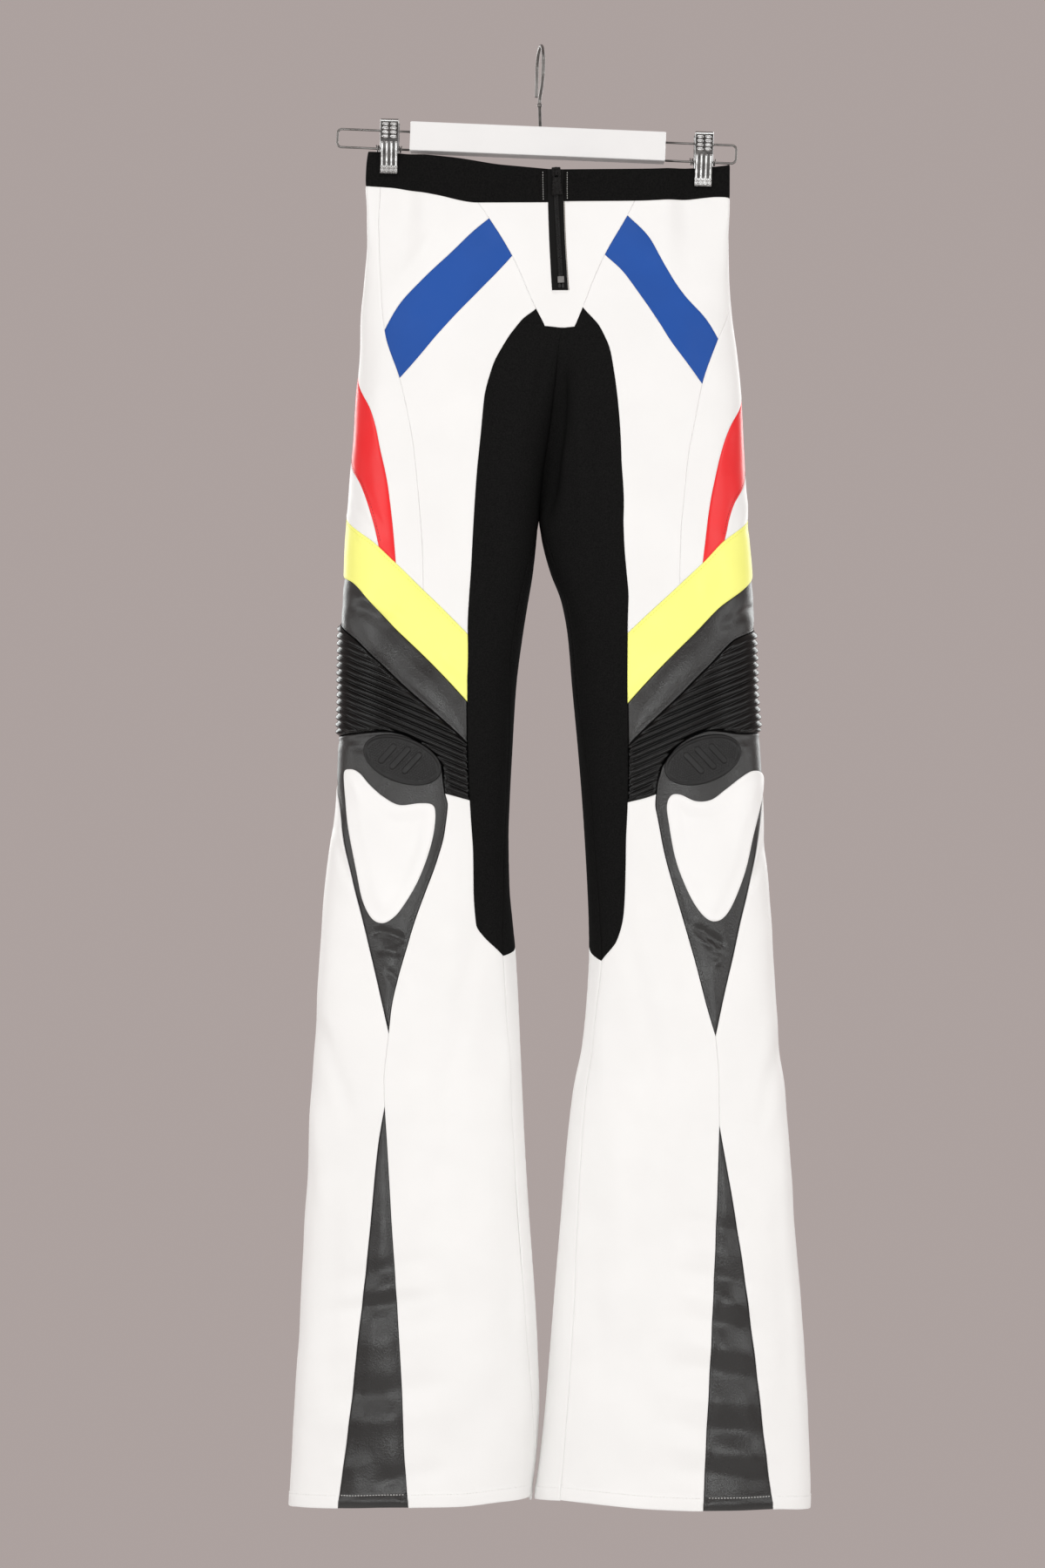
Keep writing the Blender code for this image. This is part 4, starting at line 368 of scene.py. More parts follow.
# seams that run up and down: rows of (z, s)
UPRIGHT = {
    "L": {
        "fly": ((-141.1, 0.558), (-155.5, 0.595), (-190.1, 0.676), (-238.3, 0.769), (-254.0, 0.813)),
        "side": ((-124.2, 0.182), (-160.3, 0.163), (-229.4, 0.206), (-255.6, 0.229), (-299.3, 0.309),
                 (-328.8, 0.351), (-370.9, 0.394), (-412.6, 0.425), (-453.3, 0.448), (-488.1, 0.460)),
        "inner": ((-238.3, 0.769), (-248.5, 0.706), (-269.6, 0.652), (-291.0, 0.617), (-319.7, 0.602),
                  (-384.9, 0.606), (-439.4, 0.611), (-494.5, 0.620), (-548.9, 0.646), (-631.0, 0.667),
                  (-673.2, 0.685), (-721.9, 0.709), (-760.4, 0.712), (-783.6, 0.716), (-793.7, 0.744),
                  (-811.5, 0.838)),
        "red_in": ((-265.6, -0.150), (-292.1, 0.000), (-327.3, 0.194), (-364.6, 0.259), (-398.3, 0.308),
                   (-433.8, 0.339), (-464.1, 0.358)),
        "red_out": ((-338.9, -0.150), (-367.8, 0.000), (-393.8, 0.165), (-417.0, 0.233), (-444.6, 0.280),
                    (-452.8, 0.290)),
        "inseam": ((-424.7, 1.000), (-433.3, 0.965), (-457.3, 0.900), (-491.4, 0.865), (-527.0, 0.856),
                   (-574.2, 0.879), (-658.7, 0.912), (-736.3, 0.900), (-811.5, 0.838), (-929.6, 0.852),
                   (-1055.9, 0.862), (-1131.0, 0.866), (-1207.7, 0.892), (-1267.1, 0.955), (-1313.9, 0.970)),
        "knee_in": ((-642.6, 0.567), (-667.2, 0.586), (-677.9, 0.598), (-701.0, 0.593), (-724.8, 0.572),
                    (-752.5, 0.536), (-781.0, 0.496), (-806.4, 0.467), (-834.1, 0.439), (-857.2, 0.422),
                    (-879.5, 0.414)),
        "knee_out": ((-653.2, -0.150), (-661.5, 0.000), (-686.9, 0.124), (-713.0, 0.184), (-740.5, 0.250),
                     (-775.8, 0.308), (-811.5, 0.350), (-848.0, 0.386), (-879.5, 0.414)),
        "tip": ((-879.5, 0.414), (-920.2, 0.402), (-942.9, 0.406)),
        "gusset_out": ((-942.9, 0.406), (-977.9, 0.388), (-1053.3, 0.368), (-1170.6, 0.333),
                       (-1245.7, 0.316), (-1298.2, 0.303)),
        "gusset_in": ((-942.9, 0.406), (-977.8, 0.416), (-1053.0, 0.434), (-1170.0, 0.459),
                      (-1244.8, 0.476), (-1297.0, 0.499)),
        "zip": ((-95.0, 0.866), (-141.1, 0.868), (-221.7, 0.868)),
    },
    "R": {
        "fly": ((-139.4, 0.533), (-152.8, 0.560), (-189.0, 0.653), (-237.0, 0.774), (-254.6, 0.829)),
        "side": ((-134.6, -0.060), (-182.9, -0.030), (-221.9, 0.000), (-238.9, 0.097), (-263.2, 0.209),
                 (-304.2, 0.303), (-328.7, 0.330), (-370.8, 0.365), (-412.5, 0.382), (-453.2, 0.406),
                 (-480.8, 0.425)),
        "inner": ((-237.0, 0.774), (-254.0, 0.694), (-273.3, 0.644), (-290.9, 0.626), (-324.0, 0.602),
                  (-371.1, 0.580), (-412.3, 0.566), (-467.0, 0.584), (-521.4, 0.621), (-603.4, 0.647),
                  (-674.9, 0.671), (-704.9, 0.686), (-735.7, 0.698), (-774.3, 0.716), (-797.6, 0.751),
                  (-815.8, 0.840)),
        "red_in": ((-284.3, -0.150), (-310.5, 0.000), (-341.1, 0.177), (-366.7, 0.235), (-398.0, 0.274),
                   (-431.4, 0.305), (-464.1, 0.337)),
        "red_out": ((-353.0, -0.150), (-381.5, 0.000), (-410.6, 0.168), (-436.2, 0.223), (-447.7, 0.244),
                    (-452.6, 0.250)),
        "inseam": ((-424.7, 1.000), (-441.6, 0.918), (-469.0, 0.892), (-499.1, 0.900), (-536.1, 0.915),
                   (-575.7, 0.910), (-615.3, 0.883), (-658.7, 0.864), (-736.1, 0.855), (-815.8, 0.840),
                   (-875.6, 0.860), (-937.2, 0.844), (-1055.2, 0.830), (-1129.6, 0.817), (-1205.1, 0.816),
                   (-1255.0, 0.812), (-1306.3, 0.803)),
        "knee_in": ((-642.6, 0.534), (-659.0, 0.558), (-667.9, 0.564), (-678.4, 0.569), (-687.2, 0.564),
                    (-720.7, 0.546), (-762.1, 0.511), (-796.4, 0.479), (-823.9, 0.452), (-858.3, 0.419),
                    (-881.8, 0.393)),
        "knee_out": ((-653.2, -0.150), (-662.6, 0.000), (-703.5, 0.117), (-736.0, 0.191), (-759.5, 0.239),
                     (-781.0, 0.278), (-812.4, 0.320), (-845.7, 0.359), (-881.8, 0.393)),
        "tip": ((-881.8, 0.393), (-920.2, 0.384), (-959.2, 0.384)),
        "gusset_out": ((-959.2, 0.384), (-1023.2, 0.350), (-1085.5, 0.324), (-1160.5, 0.301),
                       (-1227.8, 0.280), (-1298.1, 0.251)),
        "gusset_in": ((-959.2, 0.384), (-1003.1, 0.391), (-1077.4, 0.406), (-1164.6, 0.423),
                      (-1226.5, 0.432), (-1299.2, 0.436)),
        "zip": ((-95.0, 0.866), (-141.1, 0.870), (-221.7, 0.868)),
    },
}
# the back edge of the inner panel: rows of (z, e), where e runs on past 1
# from the inseam over the back (e - 2 is the same line counted as s)
BACK_INNER = ((-385.0, 1.000), (-405.0, 1.075), (-440.0, 1.150), (-500.0, 1.215), (-600.0, 1.262),
              (-700.0, 1.275), (-765.0, 1.255), (-795.0, 1.140), (-806.0, 1.000))

# seams that run across: rows of (s, z)
ACROSS = {
    "L": {
        "wb_top": ((0.030, -92.6), (0.224, -93.6), (0.312, -95.4), (0.469, -99.5), (0.652, -106.8), (0.923, -110.8), (1.000, -111.0)),
        "wb_bot": ((0.019, -123.5), (0.243, -125.4), (0.412, -133.3), (0.558, -141.1), (0.866, -141.0), (1.000, -140.5)),
        "blue_top": ((0.229, -255.5), (0.254, -245.3), (0.293, -231.4), (0.355, -214.8), (0.451, -190.4),
                     (0.547, -165.5), (0.595, -155.5)),
        "blue_low": ((0.309, -299.3), (0.370, -281.5), (0.456, -252.1), (0.547, -224.9), (0.676, -190.1)),
        "yellow_top": ((-0.150, -409.1), (0.000, -419.2), (0.246, -442.9), (0.358, -464.1), (0.460, -487.8),
                       (0.637, -527.1)),
        "yellow_low": ((-0.150, -463.7), (0.000, -473.1), (0.140, -479.4), (0.298, -505.0), (0.434, -533.7),
                       (0.659, -586.8)),
        "band_low": ((-0.150, -509.0), (0.000, -515.2), (0.182, -528.7), (0.319, -551.1), (0.429, -574.3),
                     (0.531, -595.5), (0.665, -623.3)),
        "rib_low": ((-0.150, -616.6), (0.000, -616.2), (0.185, -614.2), (0.351, -612.2), (0.421, -614.9),
                    (0.476, -621.5), (0.515, -628.9), (0.567, -642.6)),
        "rib_foot": ((0.586, -667.2), (0.646, -670.9), (0.685, -673.2)),
        "hem": ((-1.200, -1296.0), (-0.600, -1304.0), (0.000, -1304.0), (0.149, -1301.0), (0.499, -1297.0),
                (0.629, -1296.7), (0.774, -1294.4), (1.000, -1294.4)),
    },
    "R": {
        "wb_top": ((0.022, -104.4), (0.309, -107.8), (0.481, -109.9), (0.708, -110.6), (1.000, -111.0)),
        "wb_bot": ((0.000, -134.6), (0.173, -133.6), (0.372, -137.2), (0.533, -139.4), (0.857, -140.1), (1.000, -140.5)),
        "blue_top": ((0.209, -263.1), (0.267, -245.8), (0.348, -226.6), (0.421, -199.5), (0.482, -172.0),
                     (0.560, -152.8)),
        "blue_low": ((0.303, -304.5), (0.418, -267.5), (0.516, -228.8), (0.585, -204.0), (0.653, -189.0)),
        "yellow_top": ((-0.150, -410.7), (0.000, -420.5), (0.235, -443.2), (0.337, -464.1), (0.485, -495.7),
                       (0.623, -525.8)),
        "yellow_low": ((-0.150, -465.3), (0.000, -473.5), (0.269, -499.6), (0.410, -529.8), (0.639, -586.8)),
        "band_low": ((-0.150, -515.2), (0.000, -521.0), (0.207, -530.0), (0.357, -557.3), (0.462, -582.0),
                     (0.563, -605.0), (0.652, -624.9)),
        "rib_low": ((-0.150, -613.5), (0.000, -612.7), (0.217, -613.7), (0.349, -611.4), (0.417, -615.7),
                    (0.486, -627.2), (0.534, -642.6)),
        "rib_foot": ((0.564, -667.9), (0.606, -671.3), (0.671, -674.9)),
        "hem": ((-1.200, -1293.0), (-0.600, -1305.0), (0.000, -1305.5), (0.132, -1302.6), (0.251, -1299.5),
                (0.435, -1299.2), (0.558, -1297.6), (0.660, -1294.8), (0.804, -1292.6), (1.000, -1294.0)),
    },
}

# outline of the padded knee shield: rows of (s, z), walked round
SHIELD = {
    "L": ((0.150, -650.5), (0.191, -645.6), (0.245, -649.0), (0.297, -659.2), (0.360, -670.2),
          (0.422, -677.2), (0.495, -675.6), (0.540, -677.0), (0.554, -685.0), (0.552, -703.0),
          (0.533, -724.8), (0.501, -747.5), (0.457, -767.2), (0.425, -776.9), (0.389, -781.6),
          (0.350, -777.4), (0.312, -762.0), (0.275, -735.8), (0.224, -707.3), (0.178, -679.0)),
    "R": ((0.050, -652.0), (0.110, -647.6), (0.175, -647.6), (0.239, -653.3), (0.310, -663.5),
          (0.370, -672.6), (0.427, -673.8), (0.480, -668.0), (0.512, -669.0), (0.528, -677.9),
          (0.525, -693.0), (0.509, -724.8), (0.480, -749.5), (0.446, -767.9), (0.410, -778.2),
          (0.375, -779.6), (0.340, -774.0), (0.300, -760.5), (0.240, -735.0), (0.180, -704.0),
          (0.120, -680.0), (0.062, -664.0)),
}
SHIELD_RISE, SHIELD_EDGE, OVERLAY_GAP = 5.0, 2.0, 0.3
# the oval rubber patch above it: middle (s, z), half lengths, slant
PATCH = {"L": (0.424, -637.5, 36.0, 20.0, -20.0), "R": (0.391, -637.5, 36.0, 20.0, -20.0)}
PATCH_T, PATCH_GAP = 2.6, 0.9



# ------------------------------------------------------------ the skin
def spline(xk, yk, xq):
    """Smooth curve through a short table, with no overshoot between rows."""
    xk, yk = np.asarray(xk, float), np.asarray(yk, float)
    if xk[0] > xk[-1]:
        xk, yk = xk[::-1], yk[::-1]
    h = np.diff(xk)
    d = np.diff(yk) / h
    m = np.zeros_like(yk)
    m[0], m[-1] = d[0], d[-1]
    if len(xk) > 2:
        a, b = d[:-1], d[1:]
        w1, w2 = 2 * h[1:] + h[:-1], h[1:] + 2 * h[:-1]
        with np.errstate(divide="ignore", invalid="ignore"):
            v = (w1 + w2) / (w1 / a + w2 / b)
        m[1:-1] = np.where(a * b > 0, v, 0.0)
    xq = np.asarray(xq, float)
    i = np.clip(np.searchsorted(xk, xq) - 1, 0, len(xk) - 2)
    t = (xq - xk[i]) / h[i]
    c = np.clip(t, 0, 1)
    y = ((2 * c**3 - 3 * c**2 + 1) * yk[i] + (c**3 - 2 * c**2 + c) * h[i] * m[i]
         + (-2 * c**3 + 3 * c**2) * yk[i + 1] + (c**3 - c**2) * h[i] * m[i + 1])
    return y + np.where(t < 0, t * h[i] * m[i], 0) + np.where(t > 1, (t - 1) * h[i] * m[i + 1], 0)


LEVELS = np.arange(-1335.0, -60.0, 1.0)
PROFILE = {name: spline([r[0] for r in SECTIONS], [r[i] for r in SECTIONS], LEVELS)
           for i, name in enumerate(COLUMNS) if i}


def column(name, z):
    return np.interp(z, LEVELS, PROFILE[name])


def skin(side, s, z):
    """Points on the outer face of one half, as an (n, 3) array."""
    s, z = np.broadcast_arrays(np.asarray(s, float), np.asarray(z, float))
    s = np.where(s > 1, s - 2, s)
    s = np.where(s < -1, s + 2, s)
    c, a = np.cos(np.pi * s), np.abs(s)
    q = (1 + c) / 2
    closed = np.sin(np.pi * a) * (1 + FLATNESS * c * c)
    straight = np.sqrt(np.maximum(0, 1 - q * q)) * (1 + FLATNESS * q * q)
    xo, xi = column("xo" + side, z), column("xi" + side, z)
    x = xo + (xi - xo) * (1 - c) / 2
    front = s >= 0
    w = np.where(front, column("wf", z), column("wb", z))
    b = np.where(front, column("bf", z), column("bb", z))
    deep = b * (w * straight + (1 - w) * closed)
    press = np.interp(z, [-240, -215, -175, -145, -126], [0, 0.05, 0.35, 0.8, 1.0])
    near = sum(0.5 + 0.5 * np.cos(np.pi * np.clip((np.abs(x - cx) - CLIP_FLAT) / CLIP_FADE, 0, 1))
               for cx in CLIP_X)
    near = np.clip(near, 0, 1) * press
    deep = deep * (1 - near) + near * PRESSED * np.tanh(a / 0.07)
    if side == "R":
        # in front, this leg falls back in a slanting wall beside the crotch
        crest = np.interp(z, CREST_Z, CREST_X)
        wide = crest - xi
        inner = front & (wide > 0.5) & (x > xi - 1e-9) & (x < crest)
        t = np.clip((x - xi) / np.maximum(wide, 0.5), 0, 1)
        qc = np.clip((crest - xo) / (xi - xo), 0, 1)
        ac = np.arccos(np.clip(1 - 2 * qc, -1, 1)) / np.pi
        cc = np.cos(np.pi * ac)
        q1 = (1 + cc) / 2
        deep_c = b * (w * np.sqrt(np.maximum(0, 1 - q1 * q1)) * (1 + FLATNESS * q1 * q1)
                      + (1 - w) * np.sin(np.pi * ac) * (1 + FLATNESS * cc * cc))
        deep_0 = b * w
        wall = np.interp(z, [CROTCH_Z, CROTCH_Z + 22], [0, 1])
        wall = wall * np.interp(z, [CREST_Z[-1] - 14, CREST_Z[-1]], [1, 0])
        deep = np.where(inner, deep + wall * (deep_0 + (deep_c - deep_0) * (1 - (1 - t) ** 1.6) - deep), deep)
    y = column("yc" + side, z) + np.where(front, -deep, deep)
    return np.stack([x, y, z], -1)


def outward(side, s, z):
    """Unit normals that point out of the garment."""
    s, z = np.broadcast_arrays(np.asarray(s, float), np.asarray(z, float))
    hi, lo = s + 0.012, s - 0.012
    joined = z > CROTCH_Z
    hi = np.where(joined, np.minimum(hi, np.where(s <= 1, 1.0, hi)), hi)
    lo = np.where(joined, np.maximum(lo, np.where(s >= -1, -1.0, lo)), lo)
    du = skin(side, hi, z) - skin(side, lo, z)
    dz = skin(side, s, z + 3) - skin(side, s, z - 3)
    n = np.cross(du, dz) * (1 if side == "L" else -1)
    return n / np.linalg.norm(n, axis=-1, keepdims=True)


# arc length round each half, so that pieces are laid out in real lengths
S_GRID = np.round(np.linspace(-1.35, 1.35, 271), 6)
Z_GRID = np.arange(-1330.0, -70.0, 6.0)


def arc_table(side):
    p = skin(side, S_GRID[None, :], Z_GRID[:, None])
    step = np.linalg.norm(np.diff(p[..., :2], axis=1), axis=-1)
    u = np.concatenate([np.zeros((len(Z_GRID), 1)), np.cumsum(step, 1)], 1)
    return u - u[:, [135]]


ARC = {side: arc_table(side) for side in "LR"}


def lay(side, s, z):
    """(s, z) to real length u round the half, measured from the outer side."""
    s, z = np.asarray(s, float), np.asarray(z, float)
    f = np.clip((z - Z_GRID[0]) / 6.0, 0, len(Z_GRID) - 1.001)
    g = np.clip((s - S_GRID[0]) / 0.01, 0, len(S_GRID) - 1.001)
    i, j = f.astype(int), g.astype(int)
    f, g = f - i, g - j
    t = ARC[side]
    return ((1 - f) * ((1 - g) * t[i, j] + g * t[i, j + 1]) + f * ((1 - g) * t[i + 1, j] + g * t[i + 1, j + 1]))


def unlay(side, u, z):
    """The way back: real length to s."""
    u, z = np.asarray(u, float), np.asarray(z, float)
    out = np.empty(u.shape)
    for k in range(len(u)):
        f = min(max((z[k] - Z_GRID[0]) / 6.0, 0), len(Z_GRID) - 1.001)
        i = int(f)
        f -= i
        out[k] = np.interp(u[k], (1 - f) * ARC[side][i] + f * ARC[side][i + 1], S_GRID)
    return out


class Half:
    """Lay-out of a piece that stays on one half."""

    def __init__(self, side):
        self.side, self.sign = side, (1 if side == "L" else -1)

    def flat(self, pts):
        return np.stack([lay(self.side, pts[:, 0], pts[:, 1]), pts[:, 1]], -1)

    def solid(self, flat):
        s = unlay(self.side, flat[:, 0], flat[:, 1])
        return skin(self.side, s, flat[:, 1]), outward(self.side, s, flat[:, 1])


class Across:
    """Lay-out of a piece that spans both halves, in front or behind."""

    def __init__(self, front):
        self.front, self.sign = front, (1 if front else -1)

    def flat(self, pts):
        return pts

    def solid(self, flat):
        x, z = flat[:, 0], flat[:, 1]
        pos, nor = np.empty((len(x), 3)), np.empty((len(x), 3))
        for side in "LR":
            xo, xi = column("xo" + side, z), column("xi" + side, z)
            mine = x <= xi + 0.2 if side == "L" else x > xi - 0.2
            s = np.arccos(np.clip(1 - 2 * (x - xo) / (xi - xo), -1, 1)) / np.pi
            s = s if self.front else -s
            p, n = skin(side, s, z), outward(side, s, z)
            p[:, 0] = x
            pos[mine], nor[mine] = p[mine], n[mine]
        return pos, nor


# ------------------------------------------------------------ seams
def up(side, name, z):
    rows = BACK_INNER if name == "back_inner" else UPRIGHT[side][name]
    return spline([r[0] for r in rows], [r[1] for r in rows], z)


def over(side, name, s):
    rows = ACROSS[side][name]
    if name.startswith("wb"):
        s = np.abs(s)
    return spline([r[0] for r in rows], [r[1] for r in rows], s)


def meet(side, upright, across, z=-400.0):
    """Where an upright seam crosses one that runs across: (s, z)."""
    for _ in range(60):
        z = 0.5 * z + 0.5 * float(over(side, across, float(up(side, upright, z))))
    return float(up(side, upright, z)), z


def folds(side, z):
    """Where the skin turns from front to back at this level, as u."""
    at = [0.0]
    if z < CROTCH_Z - 25:
        at += [float(lay(side, 1.0, z)), float(lay(side, -1.0, z))]
    return at


def spaced(side, pts, step=ROW):
    """Points at even real distances along a dense run, the last left out.
    A run that goes round a fold also has points on the fold."""
    flat = np.stack([lay(side, pts[:, 0], pts[:, 1]), pts[:, 1]], -1)
    d = np.concatenate([[0], np.cumsum(np.linalg.norm(np.diff(flat, axis=0), axis=1))])
    stops, near = [0.0, d[-1]], np.full(len(d), 1e9)
    turns = [folds(side, z) for z in flat[:, 1]]
    for k in range(min(len(a) for a in turns)):
        u = flat[:, 0] - np.array([a[k] for a in turns])
        near = np.minimum(near, np.abs(u))
        for mark in {m * v for m in (-1, 1) for v in FOLD_U}:
            for i in np.nonzero((u[:-1] - mark) * (u[1:] - mark) < 0)[0]:
                stops.append(d[i] + (mark - u[i]) / (u[i + 1] - u[i]) * (d[i + 1] - d[i]))
    stops = sorted(stops)
    stops = [stops[0]] + [a for a in stops[1:-1] if 3 < a < d[-1] - 3] + [stops[-1]]
    out = []
    for a, b in zip(stops, stops[1:]):
        close = float(np.interp((a + b) / 2, d, near)) < 14
        n = max(1, int(round((b - a) / (step ))))
        out += [(float(np.interp(q, d, pts[:, 0])), float(np.interp(q, d, pts[:, 1])))
                for q in np.linspace(a, b, n + 1)[:-1]]
    return out


def run_up(side, name, *levels, shift=0.0, step=ROW):
    """Along an upright seam, from each level to the next."""
    out = []
    if name == "back_inner":
        step = 1.0 * step
    for z0, z1 in zip(levels, levels[1:]):
        z = np.linspace(z0, z1, 321)
        out += spaced(side, np.stack([up(side, name, z) + shift, z], -1), step)
    return out


def run_over(side, name, *places, step=ROW):
    out = []
    if name.startswith("wb"):
        step = 1.0 * step
    for s0, s1 in zip(places, places[1:]):
        s = np.linspace(s0, s1, 321)
        out += spaced(side, np.stack([s, over(side, name, s)], -1), step)
    return out


def run_line(side, *corners, step=ROW):
    out = []
    for (s0, z0), (s1, z1) in zip(corners, corners[1:]):
        t = np.linspace(0, 1, 321)
        out += spaced(side, np.stack([s0 + (s1 - s0) * t, z0 + (z1 - z0) * t], -1), step)
    return out


def ring(rows, per=3):
    """A smooth closed loop through a table's rows."""
    p = np.asarray(rows, float)
    out = []
    for i in range(len(p)):
        a, b, c, d = p[i - 1], p[i], p[(i + 1) % len(p)], p[(i + 2) % len(p)]
        for k in range(per):
            t = k / per
            out.append(tuple(0.5 * (2 * b + (c - a) * t + (2 * a - 5 * b + 4 * c - d) * t * t
                                    + (3 * b - a - 3 * c + d) * t**3)))
    return out


# ------------------------------------------------------------ making pieces
def inset(loop, by):
    """The loop moved in by a distance, corner by corner."""
    p = np.asarray(loop, float)
    area = 0.5 * np.sum(p[:, 0] * np.roll(p[:, 1], -1) - np.roll(p[:, 0], -1) * p[:, 1])
    if area < 0:
        p = p[::-1].copy()
    e = np.roll(p, -1, 0) - p
    e /= np.linalg.norm(e, axis=1, keepdims=True)
    n = np.stack([-e[:, 1], e[:, 0]], -1)
    n0 = np.roll(n, 1, 0)
    m = n + n0
    k = np.maximum(np.sum(m * n, 1), 0.08)
    return p + m / k[:, None] * by


def inside(loop, pts):
    x, y = pts[:, 0], pts[:, 1]
    hit = np.zeros(len(pts), bool)
    for (x0, y0), (x1, y1) in zip(loop, np.roll(loop, -1, 0)):
        cross = (y0 > y) != (y1 > y)
        with np.errstate(divide="ignore", invalid="ignore"):
            hit ^= cross & (x < (x1 - x0) * (y - y0) / (y1 - y0) + x0)
    return hit


def clear_of(loop, pts, by):
    a, b = np.asarray(loop), np.roll(loop, -1, 0)
    d = b - a
    t = np.einsum("pkj,kj->pk", pts[:, None] - a[None], d) / np.maximum(np.sum(d * d, 1), 1e-9)
    near = a[None] + np.clip(t, 0, 1)[..., None] * d[None]
    return np.min(np.linalg.norm(pts[:, None] - near, axis=-1), 1) > by


# ------------------------------------------------------------ fine shells
EDGE_ROLL, EDGE_WIDE = 0.60, 2.4
WHITE_ROLL, SEWN_GAP = 0.30, 0.08
STEP_FRONT, STEP_BACK, STEP_FINE = 3.5, 6.0, 2.2
INSETS = (0.7, 1.6, 3.0)
PX = 0.78


def hexes(loop, step, keep):
    """Staggered points inside a loop, none within keep of its edge."""
    lo, hi = loop.min(0), loop.max(0)
    rows = np.arange(math.floor(lo[1] / (step * 0.866)), math.ceil(hi[1] / (step * 0.866)) + 1)
    cols = np.arange(math.floor(lo[0] / step) - 1, math.ceil(hi[0] / step) + 2)
    r, c = np.meshgrid(rows, cols, indexing="ij")
    pts = np.stack([(c + 0.5 * (r % 2)) * step, r * step * 0.866], -1).reshape(-1, 2)
    pts = pts[inside_fast(loop, pts)]
    if len(pts):
        pts = pts[edge_distance(loop, pts) > keep]
    return pts


def inside_fast(loop, pts):
    """inside(), for many points and long loops."""
    out = np.zeros(len(pts), bool)
    for i in range(0, len(pts), 4000):
        out[i:i + 4000] = inside(loop, pts[i:i + 4000])
    return out


def dense(loop, step=0.5):
    a, b = np.asarray(loop, float), np.roll(loop, -1, 0)
    out = []
    for p, q in zip(a, b):
        n = max(1, int(math.ceil(np.linalg.norm(q - p) / step)))
        out.append(p + (q - p) * (np.arange(n) / n)[:, None])
    return np.concatenate(out)


def edge_distance(loop, pts, step=0.5):
    return line_distance(dense(loop, step), pts)


def line_distance(line, pts):
    tree = KDTree(len(line))
    for i, p in enumerate(line):
        tree.insert((p[0], p[1], 0.0), i)
    tree.balance()
    return np.array([tree.find((p[0], p[1], 0.0))[2] for p in pts])


def soft(t):
    t = np.clip(t, 0, 1)
    return t * t * (3 - 2 * t)


def px(x, y, depth=0.0):
    """A photograph place to X and Z at a depth in front of the middle."""
    k = PX * (1 + depth / 2600.0)
    return (x - 600) * k - 16.4, (900 - y) * k - 658.7
